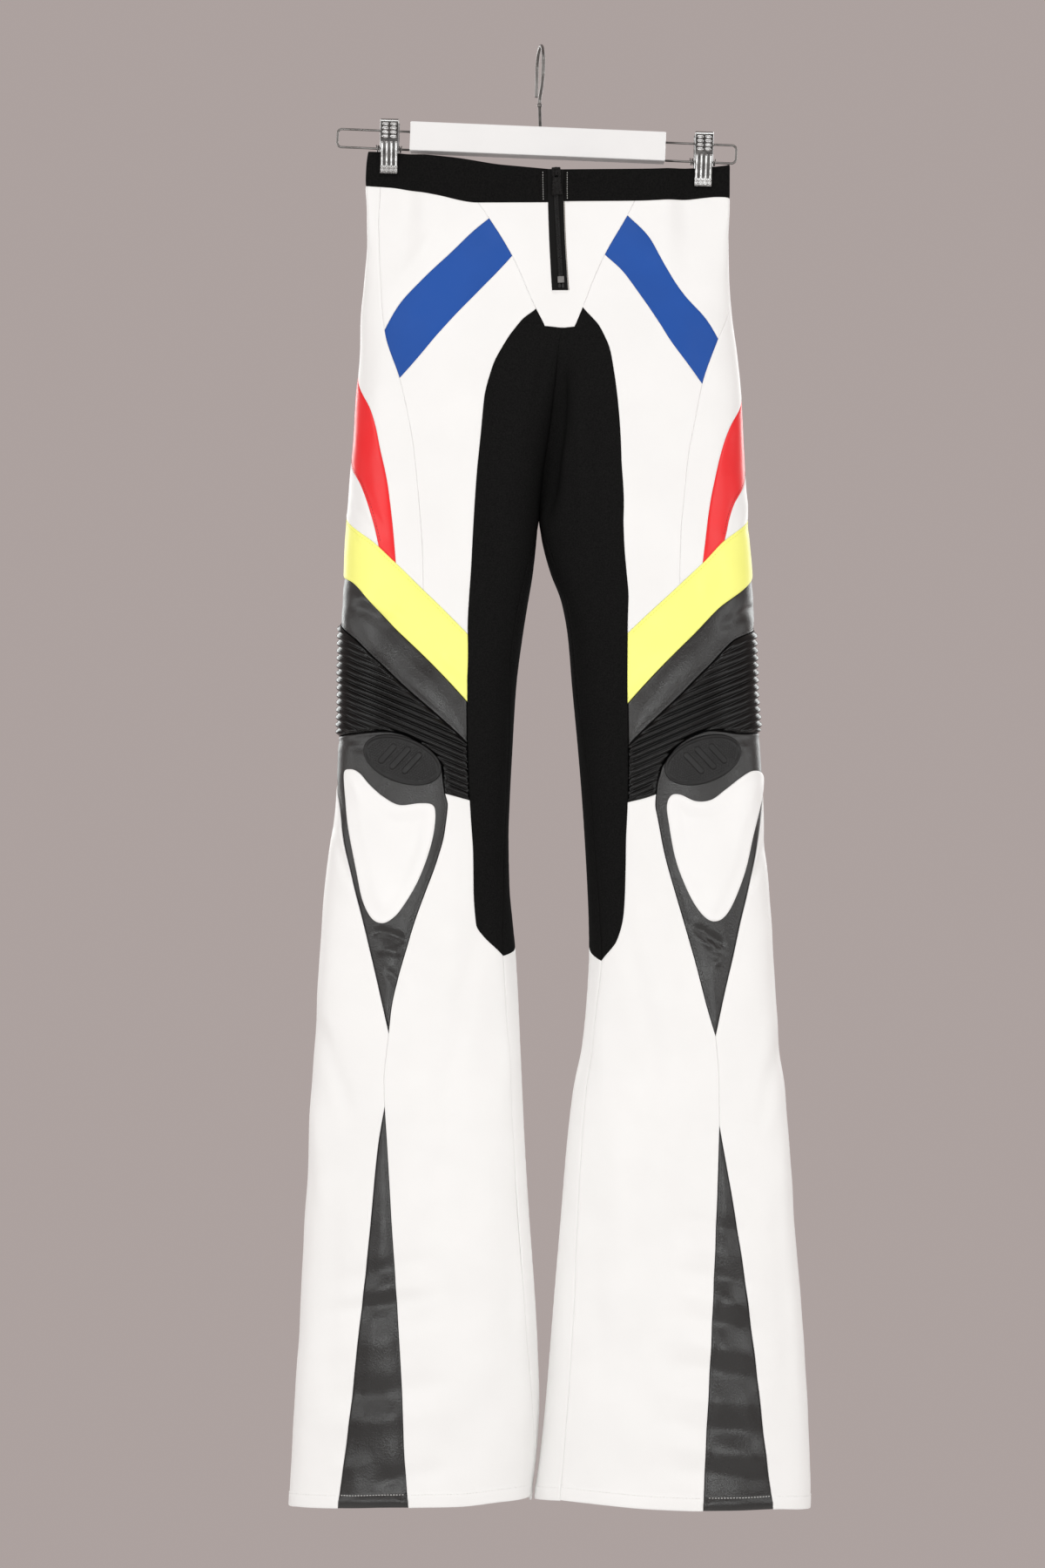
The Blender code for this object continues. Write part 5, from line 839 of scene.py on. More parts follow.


# creases, in photograph places: (half, kind, width mm, depth mm, points)
# trough sinks, ridge rises, step drops on the right-hand side of its line
FOLDS = (
    # below the waistband and beside the zip
    ("L", "ridge", 16, 0.9, ((512, 238), (500, 262), (470, 300), (452, 322))),
    ("L", "trough", 14, 0.8, ((560, 226), (552, 250), (540, 276))),
    ("R", "trough", 15, 0.8, ((735, 228), (742, 262), (760, 300))),
    # long soft folds of the thighs
    ("L", "trough", 30, 2.2, ((574, 420), (569, 480), (566, 560), (571, 640), (566, 690))),
    ("L", "ridge", 34, 1.8, ((548, 400), (540, 480), (536, 560), (540, 650))),
    ("L", "trough", 30, 1.3, ((470, 380), (466, 430), (470, 500), (484, 560))),
    ("L", "ridge", 26, 1.0, ((436, 400), (430, 450), (430, 510))),
    ("R", "ridge", 22, 2.0, ((690, 410), (691, 470), (694, 540), (697, 610), (702, 670))),
    ("R", "trough", 28, 1.8, ((722, 400), (720, 460), (724, 540), (728, 620))),
    ("R", "trough", 28, 1.2, ((800, 370), (806, 430), (800, 500), (786, 560))),
    ("R", "ridge", 26, 1.0, ((846, 400), (850, 460), (846, 510))),
    # the crotch pulls
    ("L", "ridge", 12, 1.4, ((625, 402), (612, 430), (604, 470), (600, 520))),
    ("L", "trough", 9, 1.2, ((632, 392), (622, 424), (617, 458))),
    ("R", "ridge", 12, 1.6, ((660, 404), (668, 440), (672, 490), (674, 540))),
    ("R", "trough", 9, 1.2, ((652, 396), (659, 424), (663, 458))),
    # red stripe dents
    ("L", "trough", 9, 1.0, ((398, 560), (412, 588), (432, 612))),
    ("L", "ridge", 8, 0.8, ((392, 580), (404, 604), (424, 628))),
    ("L", "trough", 10, 0.9, ((420, 560), (432, 590), (444, 624))),
    ("R", "trough", 9, 1.0, ((884, 560), (872, 588), (856, 616))),
    ("R", "ridge", 8, 0.8, ((874, 548), (858, 582), (846, 616))),
    # yellow stripe
    ("L", "trough", 20, 1.0, ((470, 640), (486, 690))),
    ("L", "ridge", 18, 0.8, ((528, 660), (536, 726))),
    ("R", "trough", 20, 1.0, ((820, 640), (806, 694))),
    ("R", "ridge", 18, 0.8, ((752, 660), (746, 720))),
    # leather band: soft dents with highlights
    ("L", "trough", 16, 1.4, ((398, 692), (430, 706), (456, 718))),
    ("L", "ridge", 12, 1.0, ((400, 680), (436, 694), (470, 712))),
    ("L", "trough", 14, 1.2, ((506, 752), (534, 776), (556, 794))),
    ("R", "trough", 16, 1.4, ((880, 690), (850, 708), (822, 722))),
    ("R", "trough", 14, 1.2, ((770, 750), (744, 774), (720, 796))),
    # knee base
    ("L", "trough", 12, 2.6, ((424, 1074), (438, 1070), (452, 1074), (468, 1082))),
    ("L", "ridge", 10, 1.8, ((430, 1092), (446, 1090), (462, 1096))),
    ("L", "trough", 9, 1.4, ((440, 1108), (454, 1124), (464, 1146))),
    ("L", "trough", 10, 1.6, ((368, 900), (376, 940), (392, 990), (408, 1030))),
    ("L", "ridge", 10, 1.2, ((392, 858), (414, 858), (440, 862))),
    ("R", "trough", 12, 2.6, ((794, 1062), (808, 1070), (822, 1080), (836, 1092))),
    ("R", "ridge", 9, 1.8, ((806, 1078), (818, 1086), (828, 1098))),
    ("R", "ridge", 9, 1.4, ((818, 1104), (828, 1106))),
    ("R", "trough", 10, 1.6, ((900, 900), (890, 950), (872, 1000), (856, 1034))),
    ("R", "ridge", 10, 1.2, ((866, 858), (842, 860), (816, 864))),
    # lower legs
    ("L", "trough", 30, 1.6, ((560, 1010), (548, 1080), (530, 1160), (516, 1250), (512, 1340))),
    ("L", "ridge", 30, 1.4, ((590, 1150), (578, 1240), (566, 1340), (560, 1450))),
    ("L", "trough", 26, 1.2, ((600, 1330), (592, 1420), (586, 1520), (586, 1620))),
    ("L", "trough", 22, 1.8, ((360, 1160), (372, 1200), (392, 1250), (404, 1300))),
    ("L", "ridge", 24, 1.4, ((340, 1200), (352, 1260), (366, 1330), (370, 1410))),
    ("L", "trough", 24, 1.3, ((388, 1340), (384, 1430), (378, 1530), (376, 1640))),
    ("R", "trough", 30, 1.6, ((716, 1020), (726, 1090), (742, 1170), (756, 1260), (760, 1350))),
    ("R", "ridge", 30, 1.4, ((684, 1150), (694, 1240), (706, 1340), (712, 1450))),
    ("R", "trough", 26, 1.2, ((672, 1330), (680, 1420), (688, 1520), (690, 1620))),
    ("R", "trough", 22, 1.8, ((912, 1160), (900, 1204), (882, 1254), (872, 1310))),
    ("R", "ridge", 24, 1.4, ((926, 1200), (914, 1270), (904, 1340), (900, 1420))),
    ("R", "trough", 24, 1.3, ((892, 1350), (896, 1440), (904, 1540), (906, 1640))),
    # hem gussets: slanting soft bands that run on into the white
    ("L", "trough", 26, 1.2, ((372, 1474), (412, 1466), (440, 1458), (500, 1444))),
    ("L", "ridge", 22, 0.8, ((376, 1494), (412, 1486), (440, 1480), (500, 1468))),
    ("L", "trough", 22, 1.3, ((366, 1510), (408, 1503), (442, 1498), (506, 1486))),
    ("L", "ridge", 34, 1.1, ((362, 1552), (404, 1545), (444, 1539), (510, 1526))),
    ("L", "trough", 36, 1.7, ((356, 1610), (398, 1604), (446, 1598), (520, 1586))),
    ("L", "ridge", 28, 1.0, ((354, 1640), (398, 1634), (446, 1628), (520, 1618))),
    ("L", "trough", 24, 1.2, ((424, 1702), (452, 1697), (484, 1690), (520, 1684))),
    ("L", "ridge", 20, 0.9, ((372, 1690), (400, 1684), (430, 1674))),
    # the slanting valley beside the crotch
    ("R", "trough", 19, 8.5, ((650, 388), (645, 440), (639, 495), (633, 550), (628, 598))),
    ("R", "ridge", 14, 2.4, ((660, 420), (662, 460), (664, 500), (667, 560), (669, 610))),
    ("R", "trough", 24, 1.1, ((776, 1398), (806, 1404), (830, 1410), (870, 1420))),
    ("R", "ridge", 22, 0.9, ((774, 1426), (806, 1432), (832, 1438), (872, 1448))),
    ("R", "trough", 24, 1.4, ((770, 1456), (804, 1463), (834, 1469), (878, 1480))),
    ("R", "ridge", 20, 0.9, ((768, 1482), (804, 1488), (836, 1494), (880, 1504))),
    ("R", "trough", 24, 1.3, ((764, 1508), (802, 1515), (838, 1521), (884, 1532))),
    ("R", "ridge", 22, 0.9, ((762, 1536), (802, 1543), (840, 1549), (888, 1558))),
    ("R", "trough", 26, 1.4, ((758, 1562), (800, 1570), (842, 1577), (894, 1588))),
    ("R", "ridge", 24, 1.0, ((756, 1596), (800, 1603), (844, 1609), (896, 1618))),
    ("R", "trough", 26, 1.3, ((754, 1628), (798, 1636), (846, 1642), (900, 1652))),
    ("R", "ridge", 22, 0.9, ((752, 1656), (798, 1663), (848, 1668), (904, 1676))),
    ("R", "trough", 24, 1.1, ((750, 1682), (796, 1689), (850, 1694), (904, 1702))),
)

# the same sort of creases where the photograph doesn't look: (side, kind, width, depth, rows of (s, z))
HIDDEN = (
    ("L", "trough", 26, 2.0, ((-0.55, -330), (-0.66, -380), (-0.80, -420))),
    ("R", "trough", 26, 2.0, ((-0.55, -335), (-0.66, -385), (-0.80, -425))),
    ("L", "ridge", 22, 1.4, ((-0.50, -370), (-0.62, -420), (-0.74, -452))),
    ("R", "ridge", 22, 1.4, ((-0.50, -372), (-0.62, -420), (-0.74, -455))),
    ("L", "trough", 30, 1.8, ((-0.42, -430), (-0.46, -520), (-0.45, -600))),
    ("R", "trough", 30, 1.8, ((-0.44, -430), (-0.47, -520), (-0.44, -600))),
    ("L", "trough", 18, 2.4, ((-0.25, -690), (-0.45, -700), (-0.68, -692))),
    ("L", "ridge", 18, 1.8, ((-0.28, -714), (-0.48, -722), (-0.66, -716))),
    ("L", "trough", 18, 2.0, ((-0.24, -742), (-0.46, -748), (-0.64, -738))),
    ("R", "trough", 18, 2.4, ((-0.27, -694), (-0.47, -704), (-0.66, -698))),
    ("R", "ridge", 18, 1.8, ((-0.26, -718), (-0.46, -726), (-0.68, -718))),
    ("R", "trough", 18, 2.0, ((-0.28, -744), (-0.48, -752), (-0.66, -744))),
    ("L", "trough", 30, 1.6, ((-0.40, -830), (-0.45, -940), (-0.42, -1060))),
    ("L", "ridge", 30, 1.3, ((-0.62, -860), (-0.60, -980), (-0.56, -1100))),
    ("R", "trough", 30, 1.6, ((-0.44, -830), (-0.48, -950), (-0.44, -1070))),
    ("R", "ridge", 30, 1.3, ((-0.62, -870), (-0.58, -990), (-0.56, -1110))),
    ("L", "trough", 24, 1.5, ((-0.50, -1120), (-0.54, -1190), (-0.52, -1270))),
    ("R", "trough", 24, 1.5, ((-0.34, -1110), (-0.36, -1190), (-0.34, -1270))),
    ("L", "ridge", 40, 1.6, ((-0.45, -160), (-0.50, -230), (-0.55, -300))),
    ("R", "ridge", 40, 1.6, ((-0.45, -160), (-0.52, -235), (-0.56, -300))),
    ("L", "trough", 34, 1.5, ((-0.75, -150), (-0.78, -230), (-0.74, -300))),
    ("R", "trough", 34, 1.5, ((-0.74, -150), (-0.77, -230), (-0.73, -305))),
    ("L", "trough", 20, 1.4, ((-0.06, -520), (0.04, -560), (0.02, -600))),
    ("R", "trough", 20, 1.4, ((-0.06, -520), (0.04, -560), (0.02, -600))),
)


def to_line(places, depth=-36.0):
    return np.array([px(x, y, depth) for x, y in places])


FRONT_FOLDS = {side: [(k, w, d, to_line(p)) for s, k, w, d, p in FOLDS if s == side] for side in "LR"}


def segment_place(line, pts):
    """Distance from an open line, and how far along it (0 to 1)."""
    d = np.diff(line, axis=0)
    length = np.linalg.norm(d, axis=1)
    start = np.concatenate([[0], np.cumsum(length)])
    t = np.clip(np.einsum("pkj,kj->pk", pts[:, None] - line[None, :-1], d) / np.maximum(length**2, 1e-9), 0, 1)
    gap = np.linalg.norm(pts[:, None] - (line[None, :-1] + t[..., None] * d[None]), axis=-1)
    k = gap.argmin(1)
    i = np.arange(len(pts))
    return gap[i, k], (start[k] + t[i, k] * length[k]) / start[-1], start[-1]


def crease(pts, kind, width, depth, line):
    """Relief of one crease: widest and deepest along its middle."""
    near = (np.abs(pts - line.mean(0)).max(1) < 0.6 * np.ptp(line, axis=0).max() + width * 2)
    out = np.zeros(len(pts))
    if not near.any():
        return out
    gap, along, _ = segment_place(line, pts[near])
    fade = np.minimum(soft(along / 0.28), soft((1 - along) / 0.28))
    uneven = 1 + 0.18 * np.sin(11 * along + line[0, 0])
    half = 0.5 * width * (0.72 + 0.28 * fade)
    t = np.clip(gap / half, 0, 1.6)
    shape = np.exp(-2.2 * t * t) if kind == "trough" else np.exp(-1.8 * t * t)
    out[near] = (-1 if kind == "trough" else 1) * depth * shape * (0.15 + 0.85 * fade) * uneven
    return out


# low, slow waves: (length along u, length along z, phase, height)
SWELLS = ((74, 118, 0.4, 0.32), (52, 161, 2.1, 0.24), (97, 67, 4.0, 0.26), (38, 90, 1.2, 0.12))


def swell(u, z, shift=0.0):
    out = np.zeros(len(u))
    for lu, lz, ph, h in SWELLS:
        out += h * np.sin(2 * np.pi * (u + shift) / lu + ph + 0.9 * np.sin(2 * np.pi * z / (2.3 * lz))) * np.cos(
            2 * np.pi * z / lz + 1.7 * ph)
    return out


def relief(side, s, u, z, pos, calm=1.0):
    """How far the cloth stands off its smooth skin, in mm (outwards)."""
    out = swell(u, z, 0 if side == "L" else 41) * calm
    if side in FRONT_FOLDS:
        front = soft((s + 0.03) / 0.08) * (s < 1.02)
        xz = pos[:, [0, 2]]
        total = np.zeros(len(u))
        for kind, w, d, line in FRONT_FOLDS[side]:
            total += crease(xz, kind, w, d, line)
        out += total * front
        sz = np.stack([u, z], -1)
        for k_side, kind, w, d, rows in HIDDEN:
            if k_side == side:
                rows = np.array(rows, float)
                line = np.stack([lay(side, rows[:, 0], rows[:, 1]), rows[:, 1]], -1)
                out += crease(sz, kind, w, d, line)
    return out * calm


MADE = {}


def min_rect(loop):
    """Smallest rectangle round a flat loop: (width, length)."""
    p = loop - loop.mean(0)
    best = None
    for a in np.linspace(0, np.pi / 2, 181):
        c, s = math.cos(a), math.sin(a)
        w, l = np.ptp(p @ (c, s)), np.ptp(p @ (-s, c))
        if best is None or w * l < best[0] * best[1]:
            best = (w, l)
    return sorted(best)


def loop_area(loop):
    return abs(0.5 * np.sum(loop[:, 0] * np.roll(loop[:, 1], -1) - np.roll(loop[:, 0], -1) * loop[:, 1]))


def mesh_of(name, verts, faces, materials, smooth=True):
    me = bpy.data.meshes.new(name)
    me.from_pydata(np.asarray(verts).tolist(), [], faces)
    for m in materials:
        me.materials.append(m)
    if smooth:
        me.polygons.foreach_set("use_smooth", [True] * len(me.polygons))
    me.update()
    ob = bpy.data.objects.new(name, me)
    bpy.context.scene.collection.objects.link(ob)
    return ob


def shell(name, out, inn, tris, material):
    """Outer face, inner face and the rim between, all shaded smooth."""
    n = len(out)
    edges = set()
    for a, b, c in tris:
        edges.update(((a, b), (b, c), (c, a)))
    rim = [e for e in edges if (e[1], e[0]) not in edges]
    faces = [(a, b, c) for a, b, c in tris] + [(c + n, b + n, a + n) for a, b, c in tris]
    faces += [(b, a, a + n, b + n) for a, b in rim]
    both = np.concatenate([out, inn]) / 1000
    used = np.unique(np.array([i for f in faces for i in f]))
    new = np.full(2 * n, -1)
    new[used] = np.arange(len(used))
    ob = mesh_of(name, both[used], [tuple(int(new[i]) for i in f) for f in faces], [material])
    return ob


def grooves(lines, flat, deep=0.38):
    """Sunk stitch lines."""
    out = np.zeros(len(flat))
    for line in lines:
        near = ((flat > line.min(0) - 4) & (flat < line.max(0) + 4)).all(1)
        if near.any():
            gap = line_distance(line, flat[near])
            out[near] -= deep * np.exp(-(gap / 0.9) ** 2)
    return out


def even(line, step):
    line = np.asarray(line, float)
    d = np.concatenate([[0], np.cumsum(np.linalg.norm(np.diff(line, axis=0), axis=1))])
    q = np.linspace(0, d[-1], max(2, int(round(d[-1] / step)) + 1))
    return np.stack([np.interp(q, d, line[:, 0]), np.interp(q, d, line[:, 1])], -1)


def standing(made, flat):
    """Places on the smooth skin, normals, and the height of the cloth there."""
    form, loop = made["form"], made["loop"]
    pos, nor = form.solid(flat)
    side = form.side if isinstance(form, Half) else "X"
    s = unlay(side, flat[:, 0], flat[:, 1]) if side != "X" else np.full(len(flat), 0.5)
    d = edge_distance(loop, flat)
    shut = np.zeros(len(flat))
    # creases run on across the seams, except at the fly, the waist and the inseam
    run_on = np.maximum(soft((np.abs(pos[:, 0] - 15) - 50) / 25), soft((-270 - flat[:, 1]) / 30))
    run_on = run_on * soft((-155 - flat[:, 1]) / 30) * (side != "X")
    fade = run_on + (1 - run_on) * soft(d / 9.0)
    fade = fade * soft((1.0 - np.abs(s)) / 0.07)
    calm = run_on * (1 + (made["calm"] - 1) * soft(d / 9.0)) + (1 - run_on) * made["calm"]
    rise = relief(side, s, flat[:, 0], flat[:, 1], pos, 1.0) * fade * calm
    if side != "X":
        shut = soft((np.abs(s) - 0.90) / 0.10) * np.interp(flat[:, 1], [CROTCH_Z - 6, CROTCH_Z + 4], [0, 1])
    rise -= made["roll"] * (1 - np.clip(d / EDGE_WIDE, 0, 1)) ** 2 * (1 - shut)
    rise += grooves(made["lines"], flat, made["groove"])
    rise += made["crown"] * (soft(d / 13.0) - 1)
    if made["extra"] is not None:
        rise = rise + made["extra"](flat, s, d)
    # the two halves meet along the centre above the crotch
    if side != "X":
        xl, xr = column("xiL", flat[:, 1]), column("xiR", flat[:, 1])
        lap = 0.35 if side == "L" else -0.35
        pos[:, 0] += (0.5 * (xl + xr) - (xl if side == "L" else xr) + lap) * shut
    return pos, nor, rise - made["sink"]


def sew(node, form, outline, material, slot, wall=CLOTH, sink=0.0, step=STEP_FRONT, calm=1.0, extra=None,
        insets=INSETS, roll=EDGE_ROLL, lines=(), warp=None, rows=None, crown=0.0):
    """One cut piece as a fine shell, in place of its solid."""
    loop = inset(form.flat(np.asarray(outline, float)), SEWN_GAP / 2)
    lines = [even(line, 0.5) for line in lines]
    fixed = [loop]
    for by in insets:
        ringed = inset(loop, by)
        ok = inside_fast(loop, ringed)
        ringed = ringed[ok]
        if len(ringed):
            fixed.append(ringed[edge_distance(loop, ringed) > 0.8 * by])
    pts = hexes(loop, step, insets[-1] + 0.55 * step) if rows is None else rows(loop, insets[-1] + 0.9)
    if isinstance(form, Half) and rows is None and loop[:, 1].max() > -300:
        z0, z1 = loop[:, 1].min(), min(-90.0, loop[:, 1].max())
        zz = np.arange(z0, z1, 2.4)
        cols = np.concatenate([np.stack([np.full(len(zz), u), zz + (1.2 if k % 2 else 0)], -1)
                               for k, u in enumerate((-5.6, -3.4, -1.7, 0.0, 1.7, 3.4, 5.6))])
        cols = cols[inside_fast(loop, cols)]
        if len(cols):
            cols = cols[edge_distance(loop, cols) > insets[-1] + 0.8]
            pts = pts[np.abs(pts[:, 0]) > 7.6]
            pts = np.concatenate([pts, cols])
    for line in lines:
        three = []
        for off in (-1.3, 0.0, 1.3):
            base = even(line, 2.4)
            t = np.gradient(base, axis=0)
            t /= np.maximum(np.linalg.norm(t, axis=1, keepdims=True), 1e-9)
            three.append(base + np.stack([-t[:, 1], t[:, 0]], -1) * off)
        three = np.concatenate(three)
        three = three[inside_fast(loop, three)]
        three = three[edge_distance(loop, three) > 0.5]
        if len(pts):
            pts = pts[line_distance(line, pts) > 2.4]
        fixed = [fixed[0]] + [r[line_distance(line, r) > 2.0] for r in fixed[1:]]
        fixed.append(three)
    allp = np.concatenate([p for p in [*fixed, pts] if len(p)])
    cut_in = allp if warp is None else warp(allp)
    _, _, f, orig, *_ = delaunay_2d_cdt([Vector(p) for p in cut_in], [], [list(range(len(loop)))], 1, 1e-4)
    keep = [o[0] if o else -1 for o in orig]
    flat = allp[keep]
    tris = [tuple(t) for t in f if all(keep[i] >= 0 for i in t)]
    if form.sign < 0:
        tris = [t[::-1] for t in tris]
    if roll == EDGE_ROLL and material == M["white"]:
        roll = WHITE_ROLL
    made = dict(groove=0.16 if material == M["white"] else 0.38, crown=crown, loop=loop, form=form, lines=lines, calm=calm, roll=roll, extra=extra, sink=sink, slot=slot)
    pos, nor, rise = standing(made, flat)
    out = pos + nor * rise[:, None]
    back = rise + sink
    inn = pos + nor * (np.minimum(back, 0.6 * back) - sink - wall)[:, None]
    ob = shell(f"{node}_cloth", out, inn, tris, material)
    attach(ob, "pants")
    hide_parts(node)
    w, l = min_rect(loop)
    made.update(ob=ob, size=(w / 1000, l / 1000), area=loop_area(loop) / 1e6)
    MADE[node] = made
    return made


def surface(node, flat, lift=0.0):
    """Places and normals on a made piece, at flat places, relief included."""
    flat = np.asarray(flat, float)
    pos, nor, rise = standing(MADE[node], flat)
    return pos + nor * (rise + lift)[:, None], nor


# ------------------------------------------------------------ stitches
def stitch_mesh(name, places, normals, material, pitch=3.0, long=2.0, thick=0.42, node_side=None):
    """A run of stitches along dense places on the cloth (mm)."""
    step = np.linalg.norm(np.diff(places, axis=0), axis=1)
    run = np.concatenate([[0], np.cumsum(step)])
    if run[-1] < pitch:
        return None
    n = int(run[-1] / pitch)
    verts, faces = [], []
    for k in range(n):
        a = (k + 0.5) * run[-1] / n
        ends = []
        for q in (a - long / 2, a, a + long / 2):
            ends.append([np.interp(q, run, places[:, j]) for j in range(3)])
        nn = np.array([np.interp(a, run, normals[:, j]) for j in range(3)])
        ends = np.array(ends)
        t = ends[2] - ends[0]
        length = np.linalg.norm(t)
        if length < 0.3:
            continue
        t /= length
        nn -= t * (nn @ t)
        nn /= max(np.linalg.norm(nn), 1e-9)
        w = np.cross(t, nn)
        base = len(verts)
        for f, r, h in ((-0.5, 0.35, -0.05), (-0.36, 0.9, 0.12), (0.0, 1.0, 0.22), (0.36, 0.9, 0.12), (0.5, 0.35, -0.05)):
            c = ends[1] + t * f * length + nn * h
            for ang in (0, 60, 120, 180, 240, 300):
                verts.append(c + thick / 2 * r * (math.cos(math.radians(ang)) * w + math.sin(math.radians(ang)) * nn))
        for i in range(4):
            for j in range(6):
                faces.append((base + 6 * i + j, base + 6 * i + (j + 1) % 6, base + 6 * (i + 1) + (j + 1) % 6, base + 6 * (i + 1) + j))
        faces.append(tuple(base + j for j in range(5, -1, -1)))
        faces.append(tuple(base + 24 + j for j in range(6)))
    if not faces:
        return None
    ob = mesh_of(name, np.array(verts) / 1000, faces, [material])
    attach(ob, "pants")
    return ob


def stitch_flat(name, node, line, key, lift=0.05, **more):
    """Stitches along a flat line on a made piece."""
    line = np.asarray(line, float)
    d = np.concatenate([[0], np.cumsum(np.linalg.norm(np.diff(line, axis=0), axis=1))])
    n = max(8, int(d[-1] / 1.5))
    q = np.linspace(0, d[-1], n)
    dense_line = np.stack([np.interp(q, d, line[:, 0]), np.interp(q, d, line[:, 1])], -1)
    places, normals = surface(node, dense_line, lift)
    ob = stitch_mesh(name, places, normals, M[key], **more)
    if ob:
        STITCHED.setdefault(node, []).append(ob)
    return ob


STITCHED = {}


def beside(side, name, z0, z1, by, across=False):
    """A flat line that runs a distance to one side of a seam."""
    if across:
        s = np.linspace(z0, z1, 161)
        line = np.stack([lay(side, s, over(side, name, s)), over(side, name, s)], -1)
    else:
        z = np.linspace(z0, z1, 201)
        line = np.stack([lay(side, up(side, name, z), z), z], -1)
    t = np.gradient(line, axis=0)
    t /= np.linalg.norm(t, axis=1, keepdims=True)
    return line + np.stack([-t[:, 1], t[:, 0]], -1) * by


# ------------------------------------------------------------ the garment
SS = SIDE_SEAM
RIB_PITCH, RIB_HIGH = 6.6, 2.5


def rib_phase(flat):
    u = flat[:, 0] - 15
    return flat[:, 1] + 0.42 * (np.sqrt(u * u + 225) + u) / 2


def in_oval(side, flat):
    """Oval number of the patch: 1 on its edge, under 1 inside."""
    ps, pz, pa, pb, slant = PATCH[side]
    r = math.radians(slant)
    du, dz = flat[:, 0] - float(lay(side, ps, pz)), flat[:, 1] - pz
    a, b = du * math.cos(r) + dz * math.sin(r), -du * math.sin(r) + dz * math.cos(r)
    return np.hypot(a / pa, b / pb), a, b


def rib_rows(loop, keep):
    """Points in rows that follow the ribs."""
    ph = rib_phase(loop)
    rows = np.arange(math.floor(ph.min() / (RIB_PITCH / 8)), math.ceil(ph.max() / (RIB_PITCH / 8)) + 1)
    lo, hi = loop[:, 0].min(), loop[:, 0].max()
    pts = []
    for r in rows:
        u = np.arange(lo - 3, hi + 3, 3.0) + 1.5 * (r % 2)
        uu = u - 15
        pts.append(np.stack([u, r * RIB_PITCH / 8 - 0.42 * (np.sqrt(uu * uu + 225) + uu) / 2], -1))
    pts = np.concatenate(pts)
    pts = pts[inside_fast(loop, pts)]
    return pts[edge_distance(loop, pts) > keep]


def rib_relief(side):
    def rise(flat, s, d):
        wave = np.abs(np.sin(np.pi * rib_phase(flat) / RIB_PITCH)) ** 0.7
        q, _, _ = in_oval(side, flat)
        under = 0.22 + 0.78 * soft((q - 0.96) / 0.12)
        uneven = 1 + 0.12 * np.sin(flat[:, 0] / 17.0 + flat[:, 1] / 9.0)
        return (RIB_HIGH * wave * uneven - 0.3) * soft(d / 2.6) * under
    return rise


def hem_relief(side, round_by=0.0):
    """The turned hem: a slightly thicker band at the foot."""
    def rise(flat, s, d):
        up_by = flat[:, 1] - over(side, "hem", s)
        out = 0.5 * soft((13.0 - up_by) / 2.0)
        return out + round_by * np.exp(-((up_by - 5.5) / 3.6) ** 2)
    return rise


def piping(side):
    """A thin corded edge along the top of the knee base."""
    def rise(flat, s, d):
        down = over(side, "rib_low", s) - flat[:, 1]
        q, _, _ = in_oval(side, flat)
        return 0.9 * np.exp(-((down - 1.9) / 1.1) ** 2) * soft((q - 0.96) / 0.1)
    return rise


def shield_height(d):
    return 1.3 + 0.6 * soft(d / 1.3) + 1.5 * soft((d - 4.8) / 11)


edges_of_fly, band_ends = {}, {}
BLACK_GLOSS = M["leather"]

